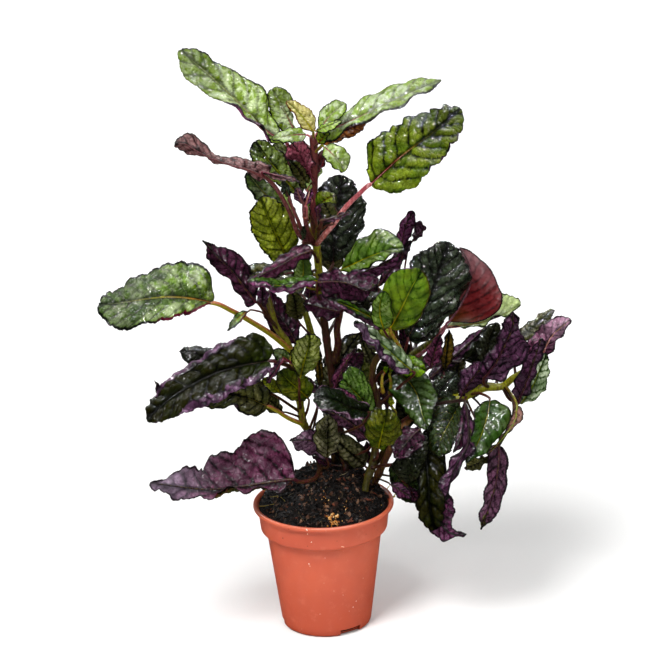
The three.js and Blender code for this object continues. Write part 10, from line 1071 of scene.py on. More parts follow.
def leaf_upper(name, bump_c, valley_c, sheen_c, painted_sheen_share_or_coat_normal, vein_c, vein, mid_stops, edge_c, blotch_c, blotch=0.5,
               rough=0.42, coat=0.35, spec=0.05, wrinkle=0.5, edge_w=1.5, base_c=None, tip_c=None, mid_k=1.0, coat_rough=0.10,
               crease_shade=0.65, mid_w=1.15, dots=0.0, cell=330.0, net=0.35, side=None, contrast=0.42, grain=0.32, domes=0.5, wet=1.0, patch=0.40, tip_at=0.70, tip_k=0.72):
    g = Graph(name)
    d1, d2 = veins(g)
    u, h, e = g.attr("along"), g.attr("relief"), g.attr("edge")
    fine = g.noise(1000.0, 3.0, 0.6)
    mott = g.noise(280.0, 2.0, 0.55)
    big = g.noise(95.0, 3.0, 0.55)
    gap = net_of(g, cell)
    dome = g.step(gap, 0.03, 0.26)
    hh = g.math("ADD", h, g.math("MULTIPLY", g.math("SUBTRACT", mott, 0.5), 0.6))
    # partly the leaf's own colour, partly painted shade: the valley colour fills the low relief and the raised-cell
    # colour the high
    col = g.mix(g.step(hh, 0.02, 0.50), leaf_lin(valley_c), leaf_lin(bump_c))
    if base_c:
        col = g.mix(g.step(u, 0.34, 0.02, 0.0, 0.9), col, leaf_lin(base_c))
    col = g.mix(g.math("MULTIPLY", g.step(big, 0.46, 0.58), blotch), col, leaf_lin(blotch_c))
    # painted sheen: a pale reflection colour in broad patches, fading at the margin; on leaves with dots it is kept off
    # the dots, on the others it is kept to the raised cells
    sheen_mask = g.step(g.math("ADD", big, g.math("MULTIPLY", mott, 0.5)), 0.84, 0.66, 0.10 if dots else 0.25, 1.0)
    sheen_mask = g.math("MULTIPLY", sheen_mask, g.step(e, 0.4, 4.0, 0.1, 1.0))
    if dots:
        vo = g.new("ShaderNodeTexVoronoi", feature="F1")
        vo.inputs["Scale"].default_value = 270.0
        g.put(vo.inputs["Vector"], g.coords())
        sep = g.new("ShaderNodeSeparateColor")
        g.put(sep.inputs[0], vo.outputs["Color"])
        spot = g.math("MULTIPLY", g.step(vo.outputs["Distance"], 0.42, 0.26), g.step(sep.outputs[0], 0.35, 0.65))
        sheen_mask = g.math("MULTIPLY", sheen_mask, g.math("SUBTRACT", 1.0, g.math("MULTIPLY", spot, dots)))
    else:
        sheen_mask = g.math("MULTIPLY", sheen_mask, g.step(hh, 0.25, 0.75))
    col = g.mix(g.math("MULTIPLY", sheen_mask, painted_sheen_share_or_coat_normal), col, leaf_lin(sheen_c))
    if dots:
        # painted shade: a ring of the darker valley colour around each raised dot
        ring = g.math("MULTIPLY", g.step(vo.outputs["Distance"], 0.62, 0.44), g.step(sep.outputs[0], 0.35, 0.65))
        col = g.mix(g.math("MULTIPLY", ring, 0.30 * dots), col, leaf_lin(valley_c))
    if tip_c:
        col = g.mix(g.step(g.math("ADD", u, g.math("MULTIPLY", big, 0.3)), tip_at, tip_at + 0.35, 0.0, tip_k), col, leaf_lin(tip_c))
    # painted shade: the low creases of the relief, away from the midrib, darkened
    fold_shade_mask = g.math("MULTIPLY", g.step(h, 0.17, 0.04), g.step(g.attr("rib"), 1.2, 2.6))
    fold_shade_mask = g.math("MULTIPLY", fold_shade_mask, g.step(mott, 0.35, 0.55, 0.5, 1.0))
    col = g.mix(g.math("MULTIPLY", fold_shade_mask, crease_shade), col, leaf_lin(valley_c, 0.5))
    col = g.mix(g.math("MULTIPLY", g.step(gap, 0.15, 0.03), net), col, leaf_lin(valley_c, 0.7))
    v1 = g.math("MULTIPLY", g.step(d1, 0.08, 0.02), g.step(e, 1.5, 6.0))
    v2 = g.math("MULTIPLY", g.step(d2, 0.08, 0.0), 0.30)
    col = g.mix(g.math("MULTIPLY", g.math("MAXIMUM", v1, v2), vein), col, leaf_lin(vein_c))
    m = g.step(g.attr("rib"), mid_w, mid_w * 0.5)
    col = g.mix(g.math("MULTIPLY", m, g.step(u, 1.0, 0.78, 0.0, mid_k)), col, g.ramp(u, [(p, leaf_lin(c, 1.0, 1.3)) for p, c in mid_stops]))
    ew = g.math("ADD", e, g.math("MULTIPLY", g.math("SUBTRACT", mott, 0.5), 0.9 * edge_w))
    col = g.mix(g.step(ew, edge_w * 1.0, edge_w * 0.5), col, leaf_lin(edge_c, 0.5))
    if side:
        la = g.attr("lat")
        on = g.math("MULTIPLY", g.step(la, 0.0, 2.0 if side[0] > 0 else -2.0), g.step(u, side[2], side[2] - 0.1))
        col = g.mix(g.math("MULTIPLY", on, g.step(ew, edge_w * 1.1, edge_w * 0.6)), col, leaf_lin(side[1]))
    col = toned(g, col, hh, contrast, grain, patch)
    r = g.step(mott, 0.3, 0.75, rough - 0.10, rough + 0.10)
    n0 = g.bump(dome, domes, 0.0006)
    if dots:
        n0 = g.bump(spot, 0.7, 0.0007, n0)
    n1 = g.bump(mott, wrinkle, 0.0011 * wet, n0)
    n2 = g.bump(fine, 0.5, 0.00025, n1)
    nc = g.bump(g.noise(250.0, 1.0, 0.5), wrinkle, 0.0010 * wet, g.bump(dome, domes, 0.0003))
    if wet > 1.0:
        nc = g.bump(g.noise(460.0, 1.0, 0.5), 0.8, 0.0006 * wet, nc)
    return g.out(col, r, n2, nc, Coat_Weight=coat, Coat_Roughness=coat_rough, Specular_IOR_Level=spec)


def leaf_under(name, base_c, dark_c, vein_c, sheen_c, painted_sheen_share_or_coat_normal=0.3, rough=0.5, coat=0.25, edge_c="#120810", tip_c=None, base_glow_tint=None,
               spec=0.08, wrinkle=0.6, vein=0.6, coat_rough=0.15, contrast=0.45, grain=0.32, net=0.60, cell=190.0, domes=0.6, crease_shade=0.8, patch=0.40):
    g = Graph(name)
    d1, d2 = veins(g)
    u, h, e = g.attr("along"), g.attr("relief"), g.attr("edge")
    fine = g.noise(1000.0, 3.0, 0.6)
    mott = g.noise(250.0, 2.0, 0.55)
    big = g.noise(95.0, 3.0, 0.55)
    gap = net_of(g, cell)
    dome = g.step(gap, 0.02, 0.26)
    hh = g.math("ADD", h, g.math("MULTIPLY", g.math("SUBTRACT", mott, 0.5), 0.6))
    # partly the leaf's own colour, partly painted shade: the dark colour fills the low relief
    col = g.mix(g.step(hh, 0.02, 0.55), leaf_lin(dark_c), leaf_lin(base_c))
    # painted sheen: the pale reflection colour on the tops of the raised domes, in broad patches
    sheen_mask = g.math("MULTIPLY", g.step(hh, 0.35, 0.85), g.step(big, 0.42, 0.58, 0.35, 1.0))
    col = g.mix(g.math("MULTIPLY", sheen_mask, painted_sheen_share_or_coat_normal), col, leaf_lin(sheen_c))
    # painted shade: the low creases of the relief darkened
    fold_shade_mask = g.math("MULTIPLY", g.step(h, 0.15, 0.03), g.step(mott, 0.35, 0.55, 0.5, 1.0))
    col = g.mix(g.math("MULTIPLY", fold_shade_mask, crease_shade), col, leaf_lin(dark_c, 0.6))
    col = g.mix(g.math("MULTIPLY", g.step(gap, 0.09, 0.02), net), col, leaf_lin(vein_c))
    v1 = g.step(d1, 0.08, 0.01)
    v2 = g.math("MULTIPLY", g.step(d2, 0.08, 0.0), 0.5)
    col = g.mix(g.math("MULTIPLY", g.math("MAXIMUM", v1, v2), vein), col, leaf_lin(vein_c))
    if tip_c:
        col = g.mix(g.step(g.math("ADD", u, g.math("MULTIPLY", mott, 0.2)), 0.55, 1.05), col, leaf_lin(tip_c))
    # painted glow of light shining through the leaf: an orange-brown tint towards its base
    if base_glow_tint:
        col = g.mix(g.step(u, 0.35, 0.0, 0.0, 0.8), col, leaf_lin(base_glow_tint))
    col = g.mix(g.step(g.attr("rib"), 1.2, 0.5, 0.0, 0.6), col, leaf_lin(vein_c))
    ew = g.math("ADD", e, g.math("MULTIPLY", g.math("SUBTRACT", mott, 0.5), 1.3))
    col = g.mix(g.step(ew, 1.5, 0.7, 0.0, 0.9), col, leaf_lin(edge_c, 0.6))
    col = toned(g, col, hh, contrast, grain, patch)
    r = g.step(mott, 0.3, 0.75, rough - 0.08, rough + 0.1)
    n0 = g.bump(dome, domes, 0.0007)
    n1 = g.bump(mott, wrinkle, 0.0011, n0)
    n2 = g.bump(fine, 0.5, 0.00025, n1)
    nc = g.bump(g.noise(250.0, 1.0, 0.5), wrinkle, 0.0010, g.bump(dome, domes, 0.0003))
    return g.out(col, r, n2, nc, Coat_Weight=coat, Coat_Roughness=coat_rough, Specular_IOR_Level=spec)


def bark(name, stops, rough=0.42, key="along", blotch=None, under=None, long=True):
    g = Graph(name)
    u = g.attr(key)
    n = g.noise(300.0, 3.0, 0.6)
    mp = g.new("ShaderNodeMapping")
    mp.inputs["Scale"].default_value = (1.0, 1.0, 0.14 if long else 0.5)
    g.put(mp.inputs["Vector"], g.coords())
    streak = g.noise(850.0, 3.0, 0.6, mp.outputs[0])
    f = g.math("ADD", u, g.math("MULTIPLY", g.math("SUBTRACT", n, 0.5), 0.12))
    col = g.ramp(f, [(p, lin(c)) for p, c in stops])
    if blotch:
        col = g.mix(g.step(streak, 0.50, 0.60, 0.0, 0.75), col, lin(blotch))
    if under:
        sep = g.new("ShaderNodeSeparateXYZ")
        g.put(sep.inputs[0], g.new("ShaderNodeTexCoord").outputs["Normal"])
        low = g.math("ADD", sep.outputs[2], g.math("MULTIPLY", g.math("SUBTRACT", n, 0.5), 0.8))
        col = g.mix(g.step(low, 0.35, -0.15), col, lin(under))
    h = g.new("ShaderNodeHueSaturation")
    g.put(h.inputs["Color"], col)
    g.put(h.inputs["Value"], g.step(g.noise(800.0, 4.0, 0.65), 0.38, 0.62, 0.72, 1.2))
    nrm = g.bump(g.noise(1400.0, 3.0, 0.65), 0.5, 0.00025, g.bump(streak, 0.5, 0.0005))
    return g.out(h.outputs[0], rough, nrm, Coat_Weight=0.15, Coat_Roughness=0.14, Specular_IOR_Level=0.12)



# ---------------------------------------------------------------- leaf blades
def rounded(M0, E0, M, E, t):
    """A margin whose width closes in a round curve at a broad base or tip, and in a point at a narrow one."""
    w0 = np.linalg.norm(E0 - M0, axis=1)
    n = len(w0) - 1
    w = E - M
    mag = np.linalg.norm(w, axis=1)
    new = mag.copy()
    for at, sel, x in ((1, t < 1 / n, t * n), (n - 1, t > 1 - 1 / n, (1 - t) * n)):
        p = float(np.clip(1.0 - (w0[at] / max(w0.max(), 1e-6) - 0.22) * 1.3, 0.46, 1.0))
        q = w0[at] * np.clip(x, 0, 1) ** p
        new = np.where(sel, q, new)
    return M + w * (new / np.maximum(mag, 1e-6))[:, None]


def blade(spec, seed, nu, nv, wave, crumple, amp, edge_roll, roll_span=((0.0, 1.0), (0.0, 1.0))):
    """Points, normals and leaf coordinates of one blade on a grid of rows (base to tip) and columns (margin to margin)."""
    x = np.linspace(0.0, 1.0, nu)
    t = 0.006 + 0.988 * (0.62 * x + 0.38 * (0.5 - 0.5 * np.cos(np.pi * x)))
    M, L, R = (cr(spec[k], t) for k in "MLR")
    L, R = (rounded(np.asarray(spec["M"], float), np.asarray(spec[k], float), M, E, t) for k, E in (("L", L), ("R", R)))
    T = unit(np.gradient(M, axis=0))
    um = np.r_[0, np.cumsum(np.linalg.norm(np.diff(M, axis=0), axis=1))]
    length = um[-1]
    nroll = 13 if max(edge_roll) > 0 else 0

    def across(A, B):
        D = B - A
        w = np.linalg.norm(D, axis=1)
        ok = np.where(w > 0.18 * w.max())[0]
        D = unit(D)
        D[:ok[0]] = D[ok[0]]
        D[ok[-1]:] = D[ok[-1]]
        D = D - T * (D * T).sum(1, keepdims=True)
        return unit(D)

    oL, oR = -across(L, M), across(M, R)           # outward directions
    NL, NR = unit(np.cross(T, -oL)), unit(np.cross(T, oR))
    pitch = max(2.6, length / spec["opt"].get("veins", 8.0))
    cell = pitch * 0.62
    # scalloped margin: the edge swells out between the side veins
    hw = {-1: np.linalg.norm(L - M, axis=1), 1: np.linalg.norm(R - M, axis=1)}

    def sweep(s):
        return 0.75 * s + 0.018 * s * s

    def phi_of(u, s, side, wob=0.0):
        shift = 0.42 * np.clip(s / 1.5, 0, 1) * (side > 0)
        return (u - sweep(s)) / pitch + shift + wob + 0.22 * noise2(u / (1.6 * pitch), side * 3.0 + s * 0.02, seed + 3)

    ends = np.clip(t / 0.08, 0, 1) * np.clip((1 - t) / 0.06, 0, 1)
    scal = spec["opt"].get("lobe", 1.0) * min(1.25, 0.045 * length ** 0.8)
    tooth = max(1.9, min(2.9, length / 26))
    for side, E, o in ((-1, L, oL), (1, R, oR)):
        ph = phi_of(um, hw[side], side)
        lobe = np.abs(np.sin(np.pi * ph)) ** 0.7 - 0.62
        arc = np.r_[0, np.cumsum(np.linalg.norm(np.diff(E, axis=0), axis=1))]
        fine = np.abs(np.sin(np.pi * (arc / tooth + 0.3 * noise2(arc / 5.0, arc * 0 + side, seed)))) ** 0.8 - 0.6
        rough = 0.5 * noise2(arc / 3.3, arc * 0 + seed, seed + side)
        taper = np.clip(hw[side] / 3.0, 0, 1)
        E += o * (((lobe + rough) * scal + 0.50 * min(1.0, length / 45) * spec["opt"].get("teeth", 1.0) * fine) * ends * taper)[:, None]
        for c_, wd, dp in spec["opt"].get("nicks", {}).get(side, ()):
            E -= o * (dp * np.clip(1 - np.abs(t - c_) / wd, 0, 1) ** 1.5)[:, None]
        hw[side] = np.linalg.norm(E - M, axis=1)

    v = np.linspace(-1, 1, nv)
    v = np.sign(v) * np.abs(v) ** 0.92
    cols = []
    roll_w = {}
    for side, W, (ra, rb) in ((-1, edge_roll[0], roll_span[0]), (1, edge_roll[1], roll_span[1])):
        win = np.clip((t - ra) / 0.14, 0, 1) * np.clip((rb - t) / 0.14, 0, 1)
        win = win * win * (3 - 2 * win)
        roll_w[side] = (W * win * (1 + 0.28 * noise2(um / 11.0, um * 0 + 3.7 * side, seed + 5))
                        + 0.5 * min(1, W) * noise2(um / 3.5, um * 0 + 1.7 * side, seed + 6) * win + 0.12) if W > 0 else None

    def column(vv):
        side = -1 if vv < 0 else 1
        E, o = (L, oL) if side < 0 else (R, oR)
        q = abs(vv)
        w = np.clip((vv + 0.35) / 0.7, 0, 1)
        w = w * w * (3 - 2 * w)
        N = unit(NL * (1 - w) + NR * w)
        h = hw[side].copy()
        rr = np.zeros_like(h)
        if roll_w[side] is not None:
            rr = np.minimum(1.15, roll_w[side] * 0.3)
            Ee = E - o * rr[:, None]
        else:
            Ee = E
        P = M + (Ee - M) * q
        s = q * (h - rr)
        return side, P, N, s, h

    pts, nrm, lat, phi, psi, edg, rel_ = [], [], [], [], [], [], []

    def relief(side, s, e, vq, h):
        wob = 0.12 * noise2(um / 6.0 + 11.3, s / 6.0 * side + 3.1, seed)
        ph = phi_of(um, s, side, wob)
        ps = s / cell + 0.30 * noise2(um / 4.0, s / 4.0, seed + 2)
        p1 = np.abs(np.sin(np.pi * fract(ph))) ** 0.6
        bub = bubbles((um - 0.7 * s) / (0.58 * pitch) + 7.0 * side, s / (0.50 * pitch), seed)
        sub = bubbles((um - 0.7 * s) / 2.5 + 3.0 * side, s / 2.3, seed + 4)
        mid = np.clip(s / (2.6 * length / 80 + 0.7), 0, 1)
        mid = mid * mid * (3 - 2 * mid)
        edge = 0.45 + 0.55 * np.clip(e / 3.0, 0, 1)
        rel = p1 * (0.30 + 0.45 * bub) + 0.25 * sub * p1
        z = amp * 1.8 * rel * mid * edge * ends
        z -= 0.40 * min(1.0, length / 60) * np.exp(-(s / (1.1 * max(0.4, length / 80))) ** 2) * (1 - 0.5 * t)
        z += amp * 1.2 * noise2(um / 9.0 + 5.0, s * side / 7.0 + 9.0, seed + 9) * ends * mid
        wv = wave * ends * vq ** 2.4 * np.sin(2 * np.pi * um / (2.0 * pitch) + 1.9 * side + seed)
        wv += wave * 0.9 * ends * vq ** 1.6 * noise2(um / (0.9 * pitch), um * 0 + 2.0 * side, seed + 21)
        cr_ = crumple * ends * noise2(um / 8.0, s * side / 8.0, seed + 31) * np.clip(s / 4, 0.15, 1)
        return z, wv + cr_, ph, ps, np.clip(rel * mid * 1.3, 0, 1)

    def add(P, N, s, ph, ps, e, rl):
        pts.append(P), nrm.append(N), lat.append(s), phi.append(ph), psi.append(ps), edg.append(e), rel_.append(rl)

    def roll_columns(side):
        """Columns of a margin that curls up and back over the blade, from the blade outwards."""
        E, o = (L, oL) if side < 0 else (R, oR)
        _, P1, N, s1, h = column(side * 1.0)
        W = roll_w[side]
        r = np.minimum(1.15, W * 0.3)
        z, wv, ph, ps, rl = relief(side, s1, np.full_like(s1, 1.0), 1.0, h)
        base = P1 + N * (0.4 * z + wv)[:, None]
        c = base + N * r[:, None]
        out = []
        for th in np.radians(np.linspace(-90, 90, 8))[1:]:
            out.append((c + (o * np.cos(th) + N * np.sin(th)) * r[:, None], -(o * np.cos(th) + N * np.sin(th)), r * (th + np.pi / 2)))
        lean = np.radians(12)
        d = -o * np.cos(lean) + N * np.sin(lean)
        nn = -(N * np.cos(lean) + o * np.sin(lean))
        flat = np.maximum(W - r, 0.05)
        ripple = noise2(um / 3.1, um * 0 + 8.0 * side, seed + 77)
        for k in (0.2, 0.4, 0.6, 0.8, 1.0):
            bulge = 0.35 * np.sin(np.pi * k) * min(1.0, W.max() / 5) * np.abs(np.sin(np.pi * ph)) ** 0.6
            out.append((c + N * r[:, None] + d * (flat * k)[:, None] + N * (bulge + 0.35 * k * ripple)[:, None], nn, r * np.pi + flat * k))
        tot = r * np.pi + flat
        return [(P, n, (s1 + a) * side, phi_of(um, s1 + a, side), (s1 + a) / cell, tot - a, 0.5 + 0.5 * noise2(um / 2.6, um * 0 + a.mean(), seed + 51)) for P, n, a in out]

    if edge_roll[0] > 0:
        for c_ in reversed(roll_columns(-1)):
            add(*c_)
    for vv in v:
        side, P, N, s, h = column(vv)
        e = np.maximum(h * (1 - abs(vv)), 0)
        if (side < 0 and edge_roll[0] > 0) or (side > 0 and edge_roll[1] > 0):
            e = e + 3.0
        bow = spec["bow"] * np.minimum(1, h / 12) * 4 * abs(vv) * (1 - abs(vv))
        z, wv, ph, ps, rl = relief(side, s, e, abs(vv), h)
        add(P + N * (bow + z + wv)[:, None], N, s * side, ph, ps, e, rl)
    if edge_roll[1] > 0:
        for c_ in roll_columns(1):
            add(*c_)
    G = np.stack(pts, 1)                            # rows, columns, xyz
    # normals of the finished surface, so that both faces keep an even gap
    du, dv = np.gradient(G, axis=0), np.gradient(G, axis=1)
    Ng = np.cross(du, dv)
    ln = np.linalg.norm(Ng, axis=-1, keepdims=True)
    Nf = np.stack(nrm, 1)
    Ng = np.where(ln > 1e-4, Ng / np.maximum(ln, 1e-9), Nf)
    flip = (Ng * Nf).sum(-1, keepdims=True) < 0.2
    Ng = np.where(flip, Nf, Ng)
    at = dict(lat=np.stack(lat, 1), phi=np.stack(phi, 1), psi=np.stack(psi, 1), edge=np.stack(edg, 1), relief=np.stack(rel_, 1))
    return G, Ng, t, um, length, at


KINDS = {}                                          # leaf kind -> material
PETIOLE = {}


def leaf_object(name, spec, seed):
    length = float(np.linalg.norm(np.diff(np.asarray(spec["M"], float), axis=0), axis=1).sum())
    width = float(np.linalg.norm(np.asarray(spec["R"], float) - np.asarray(spec["L"], float), axis=1).max())
    big = length * width > 1400
    mid = length * width > 600
    nu, nv = (112, 35) if big else (66, 25) if mid else (40, 15)
    if name.startswith("v_leaf_back"):              # the far side is drawn a little coarser
        nu, nv = (72, 27) if big else (50, 19)
    opt = spec.setdefault("opt", {})
    under = spec["und"] not in ("purple0",) and spec.get("face") == "D"
    amp = opt.get("amp", 1.35 if under else 1.0) * min(1.35, 0.42 + 0.031 * width)
    wave = opt.get("wave", 1.3 if under else 1.0) * min(1.8, 0.048 * width + 0.2)
    crumple = opt.get("crumple", 0.8 if under else 0.4) * min(1.2, width / 18)
    roll = opt.get("roll", (0.0, 0.0))
    if roll != (0.0, 0.0):
        zl, zr = np.mean([p[2] for p in spec["L"]]), np.mean([p[2] for p in spec["R"]])
        span = opt.get("span", ((0.0, 1.0), (0.0, 1.0)))
        roll, span = (roll, span) if zl > zr else (roll[::-1], span[::-1])
    else:
        span = ((0.0, 1.0), (0.0, 1.0))
    G, N, t, um, length, at = blade(spec, seed, nu, nv, wave, crumple, amp, roll, span)
    nu, nc = G.shape[:2]
    th = 0.16 + 0.05 * min(1, length / 60)
    edge_thin = np.clip(at["edge"] / 1.2, 0.45, 1)[..., None]
    top = (G + N * th * edge_thin).reshape(-1, 3)
    low = (G - N * th * edge_thin).reshape(-1, 3)
    V = [top, low]
    F, MI = [], []
    off = nu * nc
    idx = np.arange(nu * nc).reshape(nu, nc)
    a, b, c, d = idx[:-1, :-1].ravel(), idx[1:, :-1].ravel(), idx[1:, 1:].ravel(), idx[:-1, 1:].ravel()
    F += list(zip(a, b, c, d)); MI += [0] * len(a)
    F += list(zip(a + off, d + off, c + off, b + off)); MI += [1] * len(a)
    for i in range(nu - 1):                        # margins
        F.append((idx[i, 0], idx[i, 0] + off, idx[i + 1, 0] + off, idx[i + 1, 0])); MI.append(1)
        F.append((idx[i, -1], idx[i + 1, -1], idx[i + 1, -1] + off, idx[i, -1] + off)); MI.append(1)
    for k in range(nc - 1):                        # base and tip
        F.append((idx[0, k], idx[0, k + 1], idx[0, k + 1] + off, idx[0, k] + off)); MI.append(1)
        F.append((idx[-1, k], idx[-1, k] + off, idx[-1, k + 1] + off, idx[-1, k + 1])); MI.append(1)
    wmid = (0.55 + 0.35 * length / 60) * (1 - 0.68 * t)[:, None]
    A = {
        "along": np.repeat(t, nc),
        "lat": at["lat"].ravel(),
        "rib": (np.abs(at["lat"]) / wmid).ravel(),
        "phi": at["phi"].ravel(),
        "psi": at["psi"].ravel(),
        "edge": (at["edge"] / (0.45 + 0.55 * length / 70)).ravel(),
        "relief": at["relief"].ravel(),
    }
    A = {k: np.r_[w, w] for k, w in A.items()}
    # petiole and the rib under the blade: one tapering bar
    r0 = opt.get("pet_r", 0.52 + 0.0100 * length)
    jm = int(np.argmin(np.abs(at["lat"][nu // 2])))
    n_rib = 26
    rib_i = np.linspace(0, int(nu * 0.93), n_rib).astype(int)
    rr = 0.72 * r0 * (1 - 0.8 * t[rib_i])
    ribs = G[rib_i, jm] - N[rib_i, jm] * (th + rr * 0.35)[:, None]
    pet = np.asarray(spec["pet"], float)
    pts = np.vstack([pet, ribs[:1]]) if len(pet) else ribs[:1]
    seg = np.linalg.norm(pts[-1] - pts[0])
    k_pet = max(6, int(seg / 3) + 4) if len(pts) > 1 else 0
    path = np.vstack([line(pts, k_pet)[:-1], ribs]) if k_pet else ribs
    if k_pet:
        np_ = k_pet - 1
        rad = np.r_[np.linspace(r0 * 1.15, r0 * 0.85, np_), rr]
        rad[:2] *= (1.35, 1.15)
        share = np.r_[np.linspace(0, 0.5, np_, endpoint=False), np.linspace(0.5, 1, len(rr))]
    else:
        rad, share = rr, np.linspace(0.5, 1, len(rr))
    tv, tf = tube(path, rad, 10 if big else 8)
    base = 2 * off
    F += [tuple(i + base for i in f) for f in tf]
    MI += [2] * len(tf)
    V.append(tv)
    sides = 10 if big else 8
    sh = np.r_[np.repeat(share, sides), share[0], share[-1]]
    for k in A:
        A[k] = np.r_[A[k], sh if k == "along" else np.zeros(len(tv))]
    A["rnd"] = np.full(sum(len(q) for q in V), spec["rnd"])
    mats = [KINDS["up_" + spec["cls"]], KINDS["un_" + spec["und"]], PETIOLE[spec["petc"]]]
    V = np.vstack(V) * MM
    ob = make_object(name, V, F, mats, MI, A)
    return ob


# ---------------------------------------------------------------- leaf materials
GREEN_MID = [(0.0, "#8c8a2a"), (0.35, "#7c8c30"), (1.0, "#4a5c20")]
PINK_MID = [(0.0, "#a8485a"), (0.28, "#a87a68"), (0.5, "#a8b078"), (1.0, "#96a670")]
YELLOW_MID = [(0.0, "#b0a42a"), (0.5, "#939a24"), (1.0, "#506a14")]
CRIMSON_MID = [(0.0, "#8c1c34"), (0.22, "#a84834"), (0.42, "#b4a03a"), (0.62, "#7c7c24"), (1.0, "#4c5a14")]
ROSE_MID = [(0.0, "#b04c48"), (0.22, "#c4904c"), (0.42, "#bcb85c"), (0.8, "#98a474"), (1.0, "#6e7e60")]
DARK_MID = [(0.0, "#3a3410"), (0.4, "#1e200a"), (1.0, "#0a0c04")]
